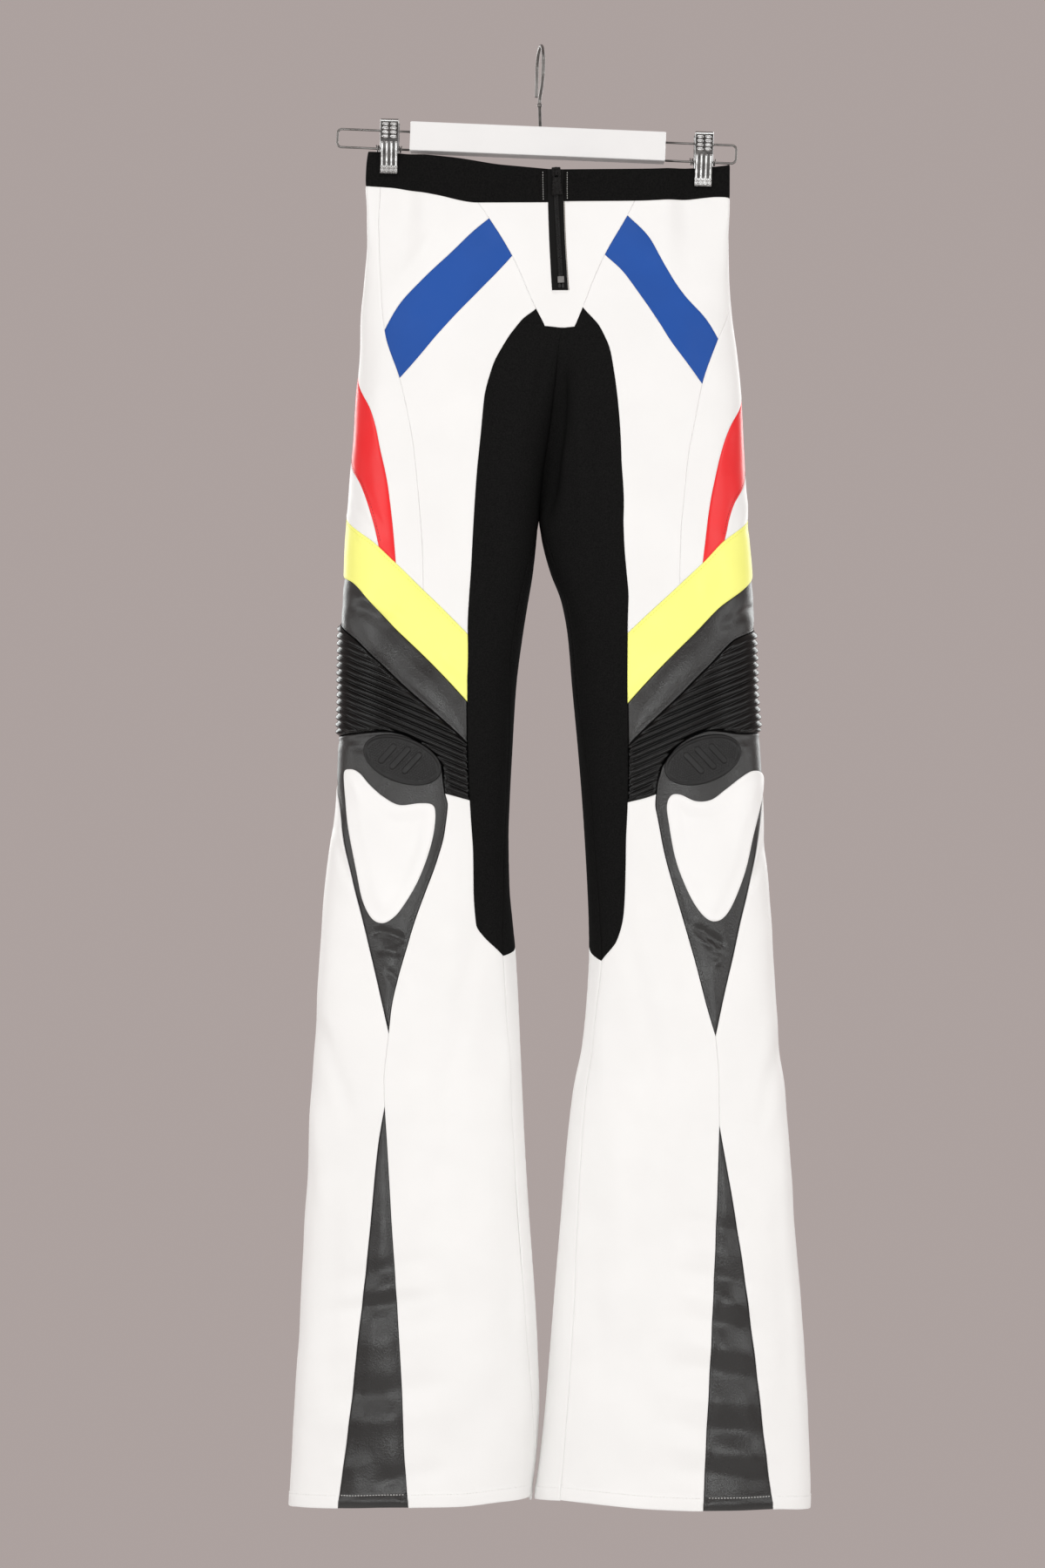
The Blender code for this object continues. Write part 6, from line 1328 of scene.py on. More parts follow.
for side in "LR":
    h = Half(side)
    J = {}
    J["side_wb"] = meet(side, "side", "wb_bot", -130)
    J["fly_wb"] = meet(side, "fly", "wb_bot", -140)
    J["zip_wb"] = meet(side, "zip", "wb_bot", -140)
    J["zip_top"] = meet(side, "zip", "wb_top", -100)
    J["side_b1"] = meet(side, "side", "blue_top", -255)
    J["fly_b1"] = meet(side, "fly", "blue_top", -155)
    J["side_b2"] = meet(side, "side", "blue_low", -300)
    J["fly_b2"] = meet(side, "fly", "blue_low", -190)
    J["side_y"] = meet(side, "side", "yellow_top", -485)
    J["redi_y"] = meet(side, "red_in", "yellow_top", -464)
    J["redo_y"] = meet(side, "red_out", "yellow_top", -450)
    J["in_y1"] = meet(side, "inner", "yellow_top", -525)
    J["in_y2"] = meet(side, "inner", "yellow_low", -586)
    J["in_b"] = meet(side, "inner", "band_low", -624)
    fly_end = UPRIGHT[side]["fly"][-1][0]
    in_top, in_foot = UPRIGHT[side]["inner"][0][0], UPRIGHT[side]["inner"][-1][0]
    knee_top, knee_tip = UPRIGHT[side]["knee_in"][0][0], UPRIGHT[side]["knee_in"][-1][0]
    apex = UPRIGHT[side]["tip"][-1][0]
    foot_s, foot_z = ACROSS[side]["rib_foot"][0]
    z_in_ribs = float(ACROSS[side]["rib_foot"][-1][1])
    s_in_ribs = float(up(side, "inner", z_in_ribs))
    kout_top = UPRIGHT[side]["knee_out"][0][0]
    hem_gi = meet(side, "gusset_in", "hem", -1297)
    hem_go = meet(side, "gusset_out", "hem", -1298)
    hem_is = meet(side, "inseam", "hem", -1294)
    red_i0, red_o0 = UPRIGHT[side]["red_in"][0][0], UPRIGHT[side]["red_out"][0][0]
    zs = {n: float(over(side, n, SS)) for n in ("wb_top", "wb_bot", "yellow_top", "yellow_low", "band_low", "rib_low", "hem")}
    centre_low = -256.3

    def seam_back(*levels):
        return run_line(side, *[(SS, z) for z in levels])

    def hem_line(s0, s1, by=11.5):
        return beside(side, "hem", s0, s1, by, across=True)

    sew(f"hip_front_{side}", h,
        run_over(side, "wb_bot", J["side_wb"][0], J["fly_wb"][0])
        + run_up(side, "fly", J["fly_wb"][1], J["fly_b1"][1])
        + run_over(side, "blue_top", J["fly_b1"][0], J["side_b1"][0])
        + run_up(side, "side", J["side_b1"][1], J["side_wb"][1]), M["white"], "white_leather")
    sew(f"blue_stripe_{side}", h,
        run_over(side, "blue_top", J["side_b1"][0], J["fly_b1"][0])
        + run_up(side, "fly", J["fly_b1"][1], J["fly_b2"][1])
        + run_over(side, "blue_low", J["fly_b2"][0], J["side_b2"][0])
        + run_up(side, "side", J["side_b2"][1], J["side_b1"][1]), M["blue"], "blue_leather")
    sew(f"thigh_front_{side}", h,
        run_over(side, "blue_low", J["side_b2"][0], J["fly_b2"][0])
        + run_up(side, "fly", J["fly_b2"][1], in_top)
        + run_up(side, "inner", in_top, J["in_y1"][1])
        + run_over(side, "yellow_top", J["in_y1"][0], J["side_y"][0])
        + run_up(side, "side", J["side_y"][1], J["side_b2"][1]), M["white"], "white_leather")
    sew(f"side_panel_{side}", h,
        run_over(side, "wb_bot", SS, J["side_wb"][0])
        + run_up(side, "side", J["side_wb"][1], J["side_b1"][1], J["side_b2"][1], J["side_y"][1])
        + run_over(side, "yellow_top", J["side_y"][0], J["redi_y"][0])
        + run_up(side, "red_in", J["redi_y"][1], red_i0)
        + seam_back(red_i0, zs["wb_bot"]), M["white"], "white_leather")
    sew(f"red_stripe_{side}", h,
        run_up(side, "red_in", red_i0, J["redi_y"][1])
        + run_over(side, "yellow_top", J["redi_y"][0], J["redo_y"][0])
        + run_up(side, "red_out", J["redo_y"][1], red_o0)
        + seam_back(red_o0, red_i0), M["red"], "red_leather", step=2.8,
        lines=[beside(side, "red_out", red_o0, J["redo_y"][1] + 4, 2.4)])
    sew(f"side_lower_{side}", h,
        run_up(side, "red_out", red_o0, J["redo_y"][1])
        + run_over(side, "yellow_top", J["redo_y"][0], SS)
        + seam_back(zs["yellow_top"], red_o0), M["white"], "white_leather")
    sew(f"yellow_stripe_{side}", h,
        run_over(side, "yellow_top", SS, J["redo_y"][0], J["redi_y"][0], J["side_y"][0], J["in_y1"][0])
        + run_up(side, "inner", J["in_y1"][1], J["in_y2"][1])
        + run_over(side, "yellow_low", J["in_y2"][0], SS)
        + seam_back(zs["yellow_low"], zs["yellow_top"]), M["yellow"], "yellow_leather", step=3.0,
        lines=[beside(side, "yellow_top", SS + 0.02, J["in_y1"][0] - 0.01, -2.6, across=True)])
    sew(f"leather_band_{side}", h,
        run_over(side, "yellow_low", SS, J["in_y2"][0])
        + run_up(side, "inner", J["in_y2"][1], J["in_b"][1])
        + run_over(side, "band_low", J["in_b"][0], SS)
        + seam_back(zs["band_low"], zs["yellow_low"]), M["leather"], "black_leather", step=2.8, calm=1.7, crown=1.2,
        lines=[beside(side, "band_low", SS + 0.02, J["in_b"][0] - 0.01, 2.6, across=True)])
    sew(f"rib_panel_{side}", h,
        run_over(side, "band_low", SS, J["in_b"][0])
        + run_up(side, "inner", J["in_b"][1], z_in_ribs)
        + run_over(side, "rib_foot", s_in_ribs, foot_s)
        + run_up(side, "knee_in", foot_z, knee_top)
        + run_over(side, "rib_low", float(up(side, "knee_in", knee_top)), SS)
        + seam_back(zs["rib_low"], zs["band_low"]), M["rib"], "black_leather", calm=0.35,
        extra=rib_relief(side), rows=rib_rows, insets=(0.9,),
        warp=lambda p: np.stack([p[:, 0], 3.2 * rib_phase(p)], -1))
    sew(f"knee_base_{side}", h,
        run_over(side, "rib_low", SS, float(up(side, "knee_in", knee_top)))
        + run_up(side, "knee_in", knee_top, foot_z, knee_tip)
        + run_up(side, "knee_out", knee_tip, kout_top)
        + seam_back(kout_top, zs["rib_low"]), M["leather"], "black_leather", step=2.6, calm=0.95, crown=1.2, extra=piping(side),
        lines=[beside(side, "knee_in", knee_top - 5, knee_tip + 6, -2.5)])
    sew(f"lower_front_{side}", h,
        run_over(side, "rib_foot", foot_s, s_in_ribs)
        + run_up(side, "inner", z_in_ribs, in_foot)
        + run_up(side, "inseam", in_foot, hem_is[1])
        + run_over(side, "hem", hem_is[0], hem_gi[0])
        + run_up(side, "gusset_in", hem_gi[1], apex)
        + run_up(side, "tip", apex, knee_tip)
        + run_up(side, "knee_in", knee_tip, foot_z), M["white"], "white_leather", extra=hem_relief(side),
        lines=[hem_line(hem_gi[0] + 0.005, hem_is[0] - 0.005)])
    sew(f"lower_outer_{side}", h,
        run_up(side, "knee_out", kout_top, knee_tip)
        + run_up(side, "tip", knee_tip, apex)
        + run_up(side, "gusset_out", apex, hem_go[1])
        + run_over(side, "hem", hem_go[0], SS)
        + seam_back(zs["hem"], kout_top), M["white"], "white_leather", extra=hem_relief(side),
        lines=[hem_line(SS + 0.01, hem_go[0] - 0.005)])
    inner_by = -2.2 if side == "L" else -3.0
    sew(f"hem_gusset_{side}", h,
        run_up(side, "gusset_in", apex, hem_gi[1])
        + run_over(side, "hem", hem_gi[0], hem_go[0])
        + run_up(side, "gusset_out", hem_go[1], apex), M["leather"], "black_leather", step=2.8, calm=1.65, crown=1.3, extra=hem_relief(side, 2.3),
        lines=[beside(side, "gusset_in", apex - 22, hem_gi[1] + 2, inner_by),
               hem_line(hem_go[0] + 0.008, hem_gi[0] - 0.012)])
    sew(f"inner_panel_{side}", h,
        run_up(side, "fly", in_top, fly_end)
        + run_line(side, (float(up(side, "fly", fly_end)), fly_end), (1.0, centre_low))
        + run_line(side, (1.0, centre_low), (1.0, BACK_GUSSET_TOP), (1.0, CROTCH_Z))
        + run_up(side, "inseam", CROTCH_Z, in_foot)
        + run_up(side, "inner", in_foot, z_in_ribs, J["in_b"][1], J["in_y2"][1], J["in_y1"][1], in_top),
        M["stretch"], "black_stretch")
    foot_e = float(up(side, "inseam", in_foot))
    sew(f"inner_back_{side}", h,
        run_line(side, (-1.0, BACK_GUSSET_TOP), (-1.0, CROTCH_Z))
        + run_up(side, "inseam", CROTCH_Z, in_foot, shift=-2)
        + run_line(side, (foot_e - 2, in_foot), (-1.0, BACK_INNER[-1][0]))
        + run_up(side, "back_inner", BACK_INNER[-1][0], BACK_GUSSET_TOP, shift=-2), M["stretch"], "black_stretch",
        step=5.0)
    back_levels = (zs["hem"], kout_top, zs["rib_low"], zs["band_low"], zs["yellow_low"], zs["yellow_top"],
                   red_o0, red_i0, zs["wb_bot"])
    centre_wb = float(over(side, "wb_bot", 1.0))
    sew(f"back_panel_{side}", h,
        run_over(side, "wb_bot", SS, -1.0)
        + run_line(side, (-1.0, centre_wb), (-1.0, BACK_GUSSET_TOP))
        + run_up(side, "back_inner", BACK_GUSSET_TOP, BACK_INNER[-1][0], shift=-2)
        + run_line(side, (-1.0, BACK_INNER[-1][0]), (foot_e - 2, in_foot))
        + run_up(side, "inseam", in_foot, hem_is[1], shift=-2)
        + run_over(side, "hem", hem_is[0] - 2, SS)
        + seam_back(*back_levels), M["white"], "white_leather", step=STEP_BACK, extra=hem_relief(side),
        lines=[hem_line(hem_is[0] - 2 + 0.01, SS - 0.01)])
    sew(f"waistband_front_{side}", h,
        run_over(side, "wb_top", SS, J["zip_top"][0])
        + run_up(side, "zip", J["zip_top"][1], J["zip_wb"][1])
        + run_over(side, "wb_bot", J["zip_wb"][0], J["fly_wb"][0], J["side_wb"][0], SS)
        + seam_back(zs["wb_bot"], zs["wb_top"]), M["band"], "black_stretch", wall=BAND, calm=0.5, roll=0.4,
        lines=[beside(side, "zip", J["zip_top"][1] - 2, J["zip_wb"][1] + 2, -4.2 if side == "L" else -3.2)])

    def to_x(rows):
        a = np.asarray(rows, float)
        return [(float(x), float(z)) for x, z in zip(skin(side, a[:, 0], a[:, 1])[:, 0], a[:, 1])]

    zip_foot = (float(up(side, "zip", -221.7)), -221.7)
    edges_of_fly[side] = {
        "wb": to_x(run_over(side, "wb_bot", J["fly_wb"][0], J["zip_wb"][0]) + [J["zip_wb"]]),
        "zip": to_x(run_up(side, "zip", J["zip_wb"][1], -221.7) + [zip_foot]),
        "ziptop": to_x(run_up(side, "zip", J["zip_top"][1], J["zip_wb"][1]) + [J["zip_wb"]]),
        "fly": to_x(run_up(side, "fly", J["fly_wb"][1], J["fly_b1"][1], J["fly_b2"][1], in_top, fly_end)
                    + [(float(up(side, "fly", fly_end)), fly_end)]),
        "foot": to_x(run_line(side, (float(up(side, "fly", fly_end)), fly_end), (1.0, centre_low))
                     + [(1.0, centre_low)]),
    }
    band_ends[side] = {
        "top": to_x(run_over(side, "wb_top", SS, -1.0) + [(-1.0, float(over(side, "wb_top", 1.0)))]),
        "low": to_x(run_over(side, "wb_bot", SS, -1.0) + [(-1.0, centre_wb)]),
        "end": to_x(seam_back(zs["wb_bot"], zs["wb_top"]) + [(SS, zs["wb_top"])]),
    }

    # ---- padded shield on the knee base
    loop = h.flat(np.asarray(ring(SHIELD[side], 8)))
    rings = [loop] + [inset(loop, by) for by in (0.7, 1.6, 2.8, 4.2)]
    pts = hexes(loop, 2.6, 5.6)
    allp = np.concatenate([loop] + [r[inside_fast(loop, r) & (edge_distance(loop, r) > 0.8 * by)]
                                    for r, by in zip(rings[1:], (0.7, 1.6, 2.8, 4.2))] + [pts])
    v, _, f, *_ = delaunay_2d_cdt([Vector(p) for p in allp], [], [list(range(len(loop)))], 1, 1e-4)
    flat = np.asarray([(p.x, p.y) for p in v])
    tris = [tuple(t) for t in f]
    if h.sign < 0:
        tris = [t[::-1] for t in tris]
    low, nor = surface(f"knee_base_{side}", flat, OVERLAY_GAP + 0.1)
    d = edge_distance(loop, flat)
    dents = 0.35 * np.sin(flat[:, 0] / 13.0 + 1.3) * np.cos(flat[:, 1] / 22.0) * soft((d - 6) / 10)
    top = low + nor * (shield_height(d) + dents)[:, None]
    ob = shell(f"knee_shield_{side}_pad", top, low, tris, M["pad"])
    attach(ob, "pants")
    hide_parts(f"knee_shield_{side}")

    # ---- rubber patch: raised rim, dotted field, plain slanted bars
    ps, pz, pa, pb, slant = PATCH[side]
    r = math.radians(slant)
    pu = float(lay(side, ps, pz))
    ang = np.linspace(0, 2 * np.pi, 161)[:-1]

    def oval_at(a, b):
        return np.stack([pu + a * math.cos(r) - b * math.sin(r), pz + a * math.sin(r) + b * math.cos(r)], -1)

    loop = oval_at(pa * np.cos(ang), pb * np.sin(ang))
    fixed = [loop]
    for by in (0.35, 0.8, 1.4, 2.1, 2.8, 3.3):
        fixed.append(oval_at((pa - by) * np.cos(ang), (pb - by) * np.sin(ang)))
    pts = hexes(loop, 0.55, 3.7)
    allp = np.concatenate([*fixed, pts])
    v, _, f, *_ = delaunay_2d_cdt([Vector(p) for p in allp], [], [list(range(len(loop)))], 1, 1e-4)
    flat = np.asarray([(p.x, p.y) for p in v])
    tris = [tuple(t) for t in f]
    if h.sign < 0:
        tris = [t[::-1] for t in tris]
    pos, nor = h.solid(flat)
    d = edge_distance(loop, flat)
    _, a, b = in_oval(side, flat)
    rim = 1.7 + 0.9 * soft(d / 0.9) - 1.05 * soft((d - 2.0) / 0.8)
    # dots in staggered rows
    row = np.round(b / 2.0)
    ca = (np.round(a / 2.4 - 0.5 * (row % 2)) + 0.5 * (row % 2)) * 2.4
    dot = np.maximum(0, 1 - (np.hypot(a - ca, b - row * 2.0) / 0.78) ** 2) ** 0.6
    # three rounded bars leaning to the right
    bars = np.full(len(a), 9.0)
    for x0, y0, x1, y1 in ((-17, -6.5, -11, 8.5), (-6, -8.0, 1.5, 10.5), (5.5, -8.0, 12.5, 9.0)):
        e = np.array([x1 - x0, y1 - y0])
        t = np.clip(((a - x0) * e[0] + (b - y0) * e[1]) / (e @ e), 0, 1)
        bars = np.minimum(bars, np.hypot(a - x0 - t * e[0], b - y0 - t * e[1]) - 2.6)
    raised = soft((0.45 - bars) / 0.9)
    field = 0.50 * dot * (bars > 1.2) * (d > 4.3)
    top = pos + nor * (PATCH_GAP + rim + np.maximum(field, 0) + 1.15 * raised)[:, None]
    low = pos + nor * PATCH_GAP
    ob = shell(f"knee_patch_{side}_rubber", top, low, tris, M["rubber"])
    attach(ob, "pants")
    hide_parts(f"knee_patch_{side}")

    # ---- stitches
    def along(node, name, z0, z1, by, key, across=False, **more):
        stitch_flat(f"stitch_{node}_{name}", node, beside(side, name, z0, z1, by, across), key, **more)

    along(f"red_stripe_{side}", "red_out", red_o0 - 1, J["redo_y"][1] + 4, 2.4, "thread_red", pitch=3.0)
    along(f"yellow_stripe_{side}", "yellow_top", SS + 0.02, J["in_y1"][0] - 0.01, -2.6, "thread_yellow", True, pitch=3.0)
    along(f"leather_band_{side}", "band_low", SS + 0.02, J["in_b"][0] - 0.01, 2.6, "thread_black", True, pitch=3.2)
    along(f"knee_base_{side}", "knee_in", knee_top - 5, knee_tip + 6, -2.5, "thread_black", pitch=3.4)
    along(f"hem_gusset_{side}", "gusset_in", apex - 22, hem_gi[1] + 2, inner_by, "thread_black", pitch=3.2)
    along(f"hem_gusset_{side}", "hem", hem_go[0] + 0.008, hem_gi[0] - 0.012, 11.5, "thread_white", True, pitch=2.6,
          long=1.6, thick=0.62)
    along(f"lower_front_{side}", "hem", hem_gi[0] + 0.005, hem_is[0] - 0.005, 11.5, "thread_pale", True, pitch=2.8)
    along(f"lower_outer_{side}", "hem", SS + 0.01, hem_go[0] - 0.005, 11.5, "thread_pale", True, pitch=2.8)
    along(f"back_panel_{side}", "hem", hem_is[0] - 2 + 0.01, SS - 0.01, 11.5, "thread_pale", True, pitch=2.8)
    along(f"waistband_front_{side}", "zip", J["zip_top"][1] - 2, J["zip_wb"][1] + 2, -4.2 if side == "L" else -3.2,
          "thread_white", pitch=2.1, long=1.0, thick=0.55)

fl, fr = edges_of_fly["L"], edges_of_fly["R"]
fly_lines = []
for by in (0.55, 4.2):
    line = np.array(fr["zip"])
    t = np.gradient(line, axis=0)
    t /= np.linalg.norm(t, axis=1, keepdims=True)
    fly_lines.append(line + np.stack([-t[:, 1], t[:, 0]], -1) * by)
sew("fly_panel", Across(True),
    fl["wb"][:-1] + fl["zip"] + fr["zip"][::-1] + fr["wb"][::-1][1:]
    + fr["fly"][1:-1] + fr["foot"][:-1] + fl["foot"][::-1][1:-1] + fl["fly"][::-1][:-1], M["white"], "white_leather",
    step=3.0, lines=fly_lines[1:])
stitch_flat("stitch_fly_tan", "fly_panel", fly_lines[0], "thread_tan", pitch=2.4, long=2.6, thick=0.6)


def tape_relief(flat, s, d):
    mid = 0.5 * (np.interp(-flat[:, 1], [95, 141.1, 221.7], [6.9, 6.9, 11.4])
                 + np.interp(-flat[:, 1], [95, 141.1, 221.7], [20.3, 20.3, 24.9]))
    return -0.35 * np.exp(-((flat[:, 0] - mid) / 2.6) ** 2)


# the tape runs on under the edges that are sewn over it
under = [(x - 1.3, z) for x, z in fl["ziptop"][:-1] + fl["zip"]] + [(x + 1.3, z) for x, z in fr["zip"][::-1] + fr["ziptop"][::-1][1:]]
sew("zip_tape", Across(True), under, M["tape"], "zip_tape",
    wall=1.0, sink=0.5, step=1.6, roll=0.1, calm=0.0, insets=(0.7,), extra=tape_relief)
bl, br = band_ends["L"], band_ends["R"]
sew("waistband_back", Across(False),
    bl["end"][:-1] + bl["top"][:-1] + [tuple(0.5 * (np.asarray(bl["top"][-1]) + np.asarray(br["top"][-1])))]
    + br["top"][::-1][1:] + br["end"][::-1][1:-1] + br["low"][:-1]
    + [tuple(0.5 * (np.asarray(bl["low"][-1]) + np.asarray(br["low"][-1])))] + bl["low"][::-1][1:-1], M["band"],
    "black_stretch", wall=BAND, step=5.0, calm=0.5, roll=0.4)


# ------------------------------------------------------------ zip teeth
def zip_mid(z):
    return 0.5 * (np.interp(-z, [95, 141.1, 221.7], [6.9, 6.9, 11.4]) + np.interp(-z, [95, 141.1, 221.7], [20.3, 20.3, 24.9]))


def blocks(name, rows, material):
    """Rounded blocks joined in one mesh: rows of (centre, axes as columns, half sizes)."""
    verts, faces = [], []
    for c, ax, half in rows:
        base = len(verts)
        lat = ((-1.0, 0.55), (-0.6, 1.0), (0.6, 1.0), (1.0, 0.55))
        for y, k in lat:
            for ang in range(8):
                a = math.pi / 8 + ang * math.pi / 4
                vx, vz = math.cos(a) / math.cos(math.pi / 8), math.sin(a) / math.cos(math.pi / 8)
                vx, vz = max(-1, min(1, vx)), max(-1, min(1, vz))
                verts.append(c + ax @ np.array([vx * half[0] * k, y * half[1], vz * half[2] * k]))
        for i in range(3):
            for j in range(8):
                faces.append((base + 8 * i + j, base + 8 * i + (j + 1) % 8, base + 8 * (i + 1) + (j + 1) % 8, base + 8 * (i + 1) + j))
        faces.append(tuple(base + j for j in range(7, -1, -1)))
        faces.append(tuple(base + 24 + j for j in range(8)))
    ob = mesh_of(name, np.array(verts) / 1000, faces, [material])
    bm = bmesh.new()
    bm.from_mesh(ob.data)
    bmesh.ops.recalc_face_normals(bm, faces=bm.faces)
    bm.to_mesh(ob.data)
    bm.free()
    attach(ob, "pants")
    return ob


teeth = []
zz = np.arange(-119.6, -208.6, -0.75)
flat = np.stack([zip_mid(zz), zz], -1)
pos, nor = surface("zip_tape", flat)
for k, (p, nn) in enumerate(zip(pos, nor)):
    upv = np.array([0.0, 0.0, 1.0]) - nn * nn[2]
    upv /= np.linalg.norm(upv)
    sx = np.cross(upv, -nn)
    sx /= np.linalg.norm(sx)
    if sx[0] < 0:
        sx = -sx
    ax = np.stack([sx, -nn, upv], -1)
    way = 1 if k % 2 else -1
    teeth.append((p + nn * 0.75 + sx * way * 0.95, ax, (1.15, 0.65, 0.50)))
zip_teeth = blocks("zip_teeth", teeth, M["teeth"])
STITCHED.setdefault("zip_tape", []).append(zip_teeth)

# the tape's two bottom ends below the stop
ends = []
for way in (-1, 1):
    c2, n2 = surface("zip_tape", np.array([[zip_mid(-217.6) + way * 1.5, -217.6]]))
    ax = np.stack([np.array([1.0, 0, 0]), -n2[0], np.array([0.0, 0, 1.0])], -1)
    ends.append((c2[0] + n2[0] * 0.6, ax, (1.15, 0.6, 2.1)))
STITCHED["zip_tape"].append(blocks("zip_tape_ends", ends, M["teeth"]))


# ------------------------------------------------------------ wires, hook, springs, jaws
def tube(name, points, radius, material, sides=20, node=None, radii=None):
    pts = np.asarray(points, float)
    t = np.gradient(pts, axis=0)
    t /= np.linalg.norm(t, axis=1, keepdims=True)
    side_v = np.cross(t[0], [0.0, 1.0, 0.2])
    if np.linalg.norm(side_v) < 0.1:
        side_v = np.cross(t[0], [1.0, 0.0, 0.0])
    side_v /= np.linalg.norm(side_v)
    verts, faces = [], []
    for i, p in enumerate(pts):
        side_v = side_v - t[i] * (side_v @ t[i])
        side_v /= np.linalg.norm(side_v)
        w = np.cross(t[i], side_v)
        r = radius if radii is None else radii[i]
        for j in range(sides):
            a = 2 * math.pi * j / sides
            verts.append(p + r * (math.cos(a) * side_v + math.sin(a) * w))
    n = len(pts)
    for i in range(n - 1):
        for j in range(sides):
            faces.append((i * sides + j, i * sides + (j + 1) % sides, (i + 1) * sides + (j + 1) % sides, (i + 1) * sides + j))
    faces.append(tuple(range(sides - 1, -1, -1)))
    faces.append(tuple((n - 1) * sides + j for j in range(sides)))
    ob = mesh_of(name, np.array(verts) / 1000, faces, [material])
    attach(ob, "pants")
    if node:
        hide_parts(node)
    return ob


HANG = Matrix.Translation(Vector(BAR_AT)) @ Matrix.Rotation(TILT, 4, "Y")


def hang_mm(p):
    return np.array(HANG @ Vector(p))


def arc(cx, cz, r, a0, a1, n):
    return [(cx + r * math.cos(math.radians(a0 + (a1 - a0) * k / n)), cz + r * math.sin(math.radians(a0 + (a1 - a0) * k / n)))
            for k in range(n + 1)]


CORNER = 4.0
CLIP_FORM = ((0.0, 9.6), (4.0, 10.4), (16.0, 9.8), (26.0, 7.6), (36.0, 4.6), (43.0, 3.0), (46.2, 3.0), (48.0, 4.4))
CLIP_T = 1.3
for side, end, k in (("L", WIRE_END_L, -1), ("R", WIRE_END_R, 1)):
    reach = abs(end - BAR_AT[0]) / math.cos(TILT)
    start = BAR_LEN / 2 + 0.3
    path = [(start, WIRE_UP), (start + 20, WIRE_UP)] + arc(reach - CORNER, WIRE_UP - CORNER, CORNER, 90, 0, 14)
    path += arc(reach - CORNER, WIRE_DOWN + CORNER, CORNER, 0, -90, 14) + [(start + 20, WIRE_DOWN), (start, WIRE_DOWN)]
    tube(f"hanger_wire_{side}_round", [hang_mm((k * x, 0, z)) for x, z in path], WIRE_R, M["chrome"],
         node=f"hanger_wire_{side}")

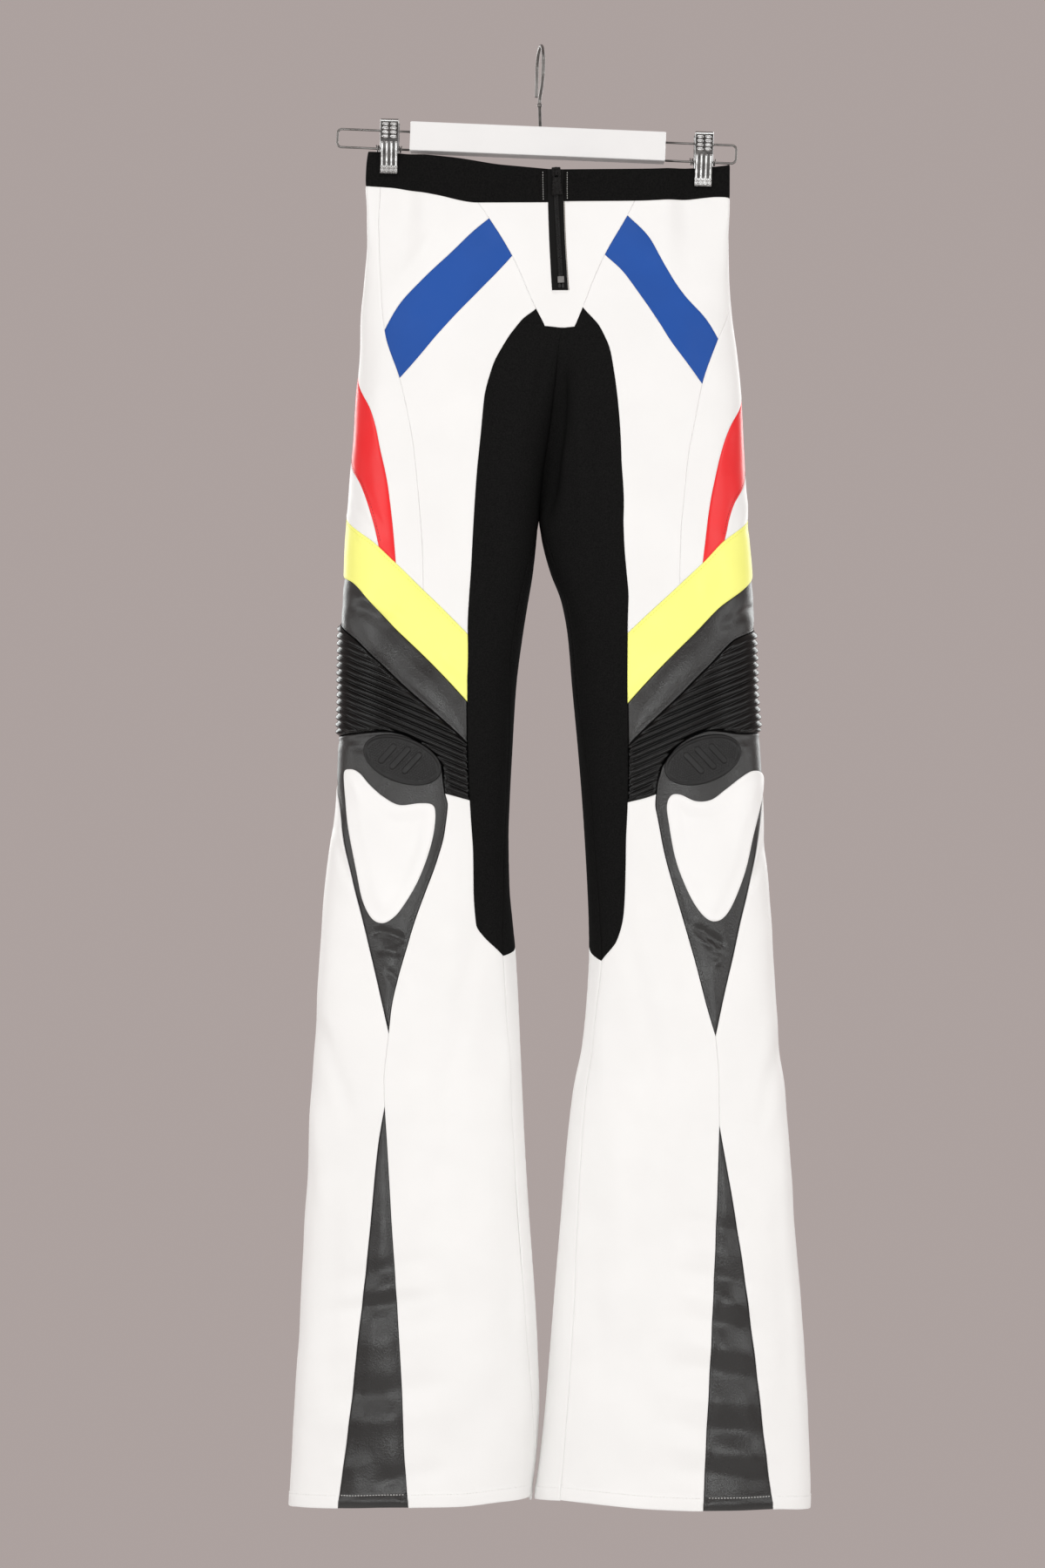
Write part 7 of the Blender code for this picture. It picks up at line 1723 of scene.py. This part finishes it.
for side, cx, cz in (("L", CLIP_X[0], CLIP_MID_Z[0]), ("R", CLIP_X[1], CLIP_MID_Z[1])):
    lx = (cx - BAR_AT[0]) / math.cos(TILT)
    # coil
    turns, q = 11, np.linspace(0, 1, 11 * 16 + 1)
    helix = [hang_mm((lx - 11.4 + 22.8 * t, 2.72 * math.sin(2 * math.pi * turns * t), WIRE_DOWN + 2.72 * math.cos(2 * math.pi * turns * t)))
             for t in q]
    tube(f"clip_spring_{side}_coil", helix, 0.55, M["chrome"], sides=8, node=f"clip_spring_{side}")
    lean = np.array(Matrix.Rotation(TILT * 0.6, 3, "Y"))
    for face_name, k in (("front", -1), ("back", 1)):
        nx, nd = (85, 161) if k < 0 else (41, 81)
        ex, dd = np.meshgrid(np.linspace(-1, 1, nx), np.linspace(0, CLIP_H, nd), indexing="xy")
        x = ex * CLIP_W / 2
        base = spline([r[0] for r in CLIP_FORM], [r[1] for r in CLIP_FORM], dd.ravel()).reshape(dd.shape)
        # embossed ovals above, upright ribs below
        rise = np.zeros_like(x)
        for row in range(4):
            for col in (-1, 1):
                q2 = np.hypot((x - col * 3.6) / 2.4, (dd - (5.0 + 3.7 * row)) / 1.25)
                rise = np.maximum(rise, 0.55 * np.clip(1.25 - q2, 0, 1) ** 0.6)
        ribs = np.abs(np.sin(np.pi * (x / CLIP_W + 0.5) * 4)) ** 1.6
        low = soft((dd - 19.5) / 2.5)
        rise = np.where(low > 0, np.maximum(rise * (1 - low), 0.70 * ribs * low), rise)
        rim = 1 - soft((1 - np.abs(ex)) / 0.10)
        turned = 1.4 * rim
        top_in = 1.1 * (1 - soft(dd / 1.6))
        y2 = base + CLIP_T * 0.45 + rise - turned - top_in
        y1 = y2 - 0.85 - 0.3 * rise
        y1 = np.maximum(y1, np.minimum(base - 0.0, y2 - 0.5))
        # rounded teeth along the foot
        rise = np.maximum(rise, 0.95 * np.clip(1.3 - np.hypot(((x / CLIP_W + 0.5) * 4 % 1 - 0.5) * 4.17 / 1.35, (dd - 43.6) / 1.7), 0, 1) ** 0.6)
        rise = np.maximum(rise, 0.9 * soft((1.5 - np.abs(dd - 46.9)) / 0.6))
        y2 = base + CLIP_T * 0.45 + rise - turned - top_in
        y1 = y2 - 0.85 - 0.3 * rise
        y1 = np.maximum(y1, np.minimum(base - 0.0, y2 - 0.5))
        z = cz + CLIP_H / 2 - dd
        verts, faces = [], []
        for yy in (y2, y1):
            grid = np.stack([x, k * yy, z - cz], -1).reshape(-1, 3) @ lean.T + np.array([cx, 0, cz])
            verts.append(grid)
        n = nx * nd
        for i in range(nd - 1):
            for j in range(nx - 1):
                a, b, c, e = i * nx + j, i * nx + j + 1, (i + 1) * nx + j + 1, (i + 1) * nx + j
                faces.append((a, b, c, e))
                faces.append((n + e, n + c, n + b, n + a))
        edge = ([(i, 0) for i in range(nd)] + [(nd - 1, j) for j in range(1, nx)] + [(i, nx - 1) for i in range(nd - 2, -1, -1)]
                + [(0, j) for j in range(nx - 2, 0, -1)])
        ids = [i * nx + j for i, j in edge]
        for p, q3 in zip(ids, ids[1:] + ids[:1]):
            faces.append((p, q3, n + q3, n + p))
        ob = mesh_of(f"clip_{face_name}_{side}_jaw", np.concatenate(verts) / 1000, faces, [M["plate"], M["hollow"]])
        bm = bmesh.new()
        bm.from_mesh(ob.data)
        bmesh.ops.recalc_face_normals(bm, faces=bm.faces)
        bm.to_mesh(ob.data)
        bm.free()
        # painted shade: faces in the hollows between the ribs and round the ovals take the darker hollow metal
        sunk = ((rise < 0.50) & (low > 0.5) & (rim < 0.3) & (dd < 41.0)) | ((rise < 0.16) & (low <= 0.5) & (dd > 2.2) & (rim < 0.3))
        cell = sunk[:-1, :-1] & sunk[1:, 1:]
        for p in ob.data.polygons:
            v = list(p.vertices)
            if max(v) < n:
                i, j = divmod(min(v), nx)
                if i < nd - 1 and j < nx - 1 and cell[i, j]:
                    p.material_index = 1
        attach(ob, "pants")
        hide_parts(f"clip_{face_name}_{side}")

bow_z = -(HOOK_R - HOOK_WIRE)
hook = [(HOOK_R + 1.0, -39.0), (HOOK_R + 0.9, -33.0), (HOOK_R + 0.4, -26.0)]
hook += [(HOOK_R * math.cos(math.radians(a)), bow_z + HOOK_R * math.sin(math.radians(a))) for a in range(0, 181, 12)]
hook += [(-19.2, -25.0), (-16.6, -31.5), (-12.2, -36.8), (-7.2, -40.5), (-3.2, -43.4), (-0.8, -46.2), (0.0, -49.6)]
hook = np.array(hook)
run = np.concatenate([[0], np.cumsum(np.linalg.norm(np.diff(hook, axis=0), axis=1))])
fine = np.linspace(0, run[-1], 160)
hy, hz = spline(run, hook[:, 0], fine), spline(run, hook[:, 1], fine)
radii = np.full(160, HOOK_WIRE * 1.0)
tube("hanger_hook_round", np.stack([-0.3 - 0.14 * hy - 0.024 * -hz * 0.7, hy, hz], -1), HOOK_WIRE, M["chrome"],
     node="hanger_hook", radii=radii)
tip = np.array([-0.3 - 0.14 * hy[0] - 0.024 * -hz[0] * 0.7, hy[0], hz[0]])


def lathe(name, rows, centre, material, node=None, seg=40, slope=0.0):
    """Round piece: rows of (z, radius)."""
    verts, faces = [], []
    for z, r in rows:
        for i in range(seg):
            a = 2 * math.pi * i / seg
            verts.append((centre[0] + slope * (z - rows[0][0]) + r * math.cos(a), centre[1] + r * math.sin(a), z))
    for a in range(len(rows) - 1):
        for i in range(seg):
            faces.append((a * seg + i, (a + 1) * seg + i, (a + 1) * seg + (i + 1) % seg, a * seg + (i + 1) % seg))
    faces.append(tuple(range(seg)))
    faces.append(tuple(reversed(range((len(rows) - 1) * seg, len(rows) * seg))))
    ob = mesh_of(name, np.array(verts) / 1000, faces, [material])
    bm = bmesh.new()
    bm.from_mesh(ob.data)
    bmesh.ops.recalc_face_normals(bm, faces=bm.faces)
    bm.to_mesh(ob.data)
    bm.free()
    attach(ob, "pants")
    if node:
        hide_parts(node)
    return ob


foot_x = -0.3 - 0.024 * 49.6 * 0.7
lathe("hanger_stem_shaft", ((-52.7, 1.40), (-53.2, 1.42), (-55.0, 1.38), (-64.0, 1.36), (-69.0, 1.40), (-70.7, 1.55), (-70.9, 1.5)),
      (foot_x + 0.08, 0), M["stem"], node="hanger_stem", slope=-0.03)
lathe("hanger_stem_bead", ((-49.6, 0.9), (-49.8, 1.6), (-50.4, 2.2), (-51.2, 2.42), (-52.0, 2.2), (-52.6, 1.6), (-52.8, 1.3)),
      (foot_x, 0), M["chrome"], node="hanger_stem")

# ------------------------------------------------------------ nodes that keep their own shape
for node, mat in (("zip_slider", "zip_metal"), ("zip_pull", "zip_metal"), ("zip_stop", "stop"), ("hanger_bar", "lacquer")):
    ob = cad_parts[node]
    ob.data.materials.clear() if not ob.material_slots else None
    if not ob.material_slots:
        ob.data.materials.append(M[mat])
    for sl in ob.material_slots:
        sl.material = M[mat]

# ------------------------------------------------------------ sheets
HUNG_FROM = {}
for node, made in MADE.items():
    w, l = made["size"]
    area = made["area"]
    if node.startswith("rib_panel"):
        # the sewn ribs take up about a third of the cloth
        w, area = 1.3 * w, 1.3 * area
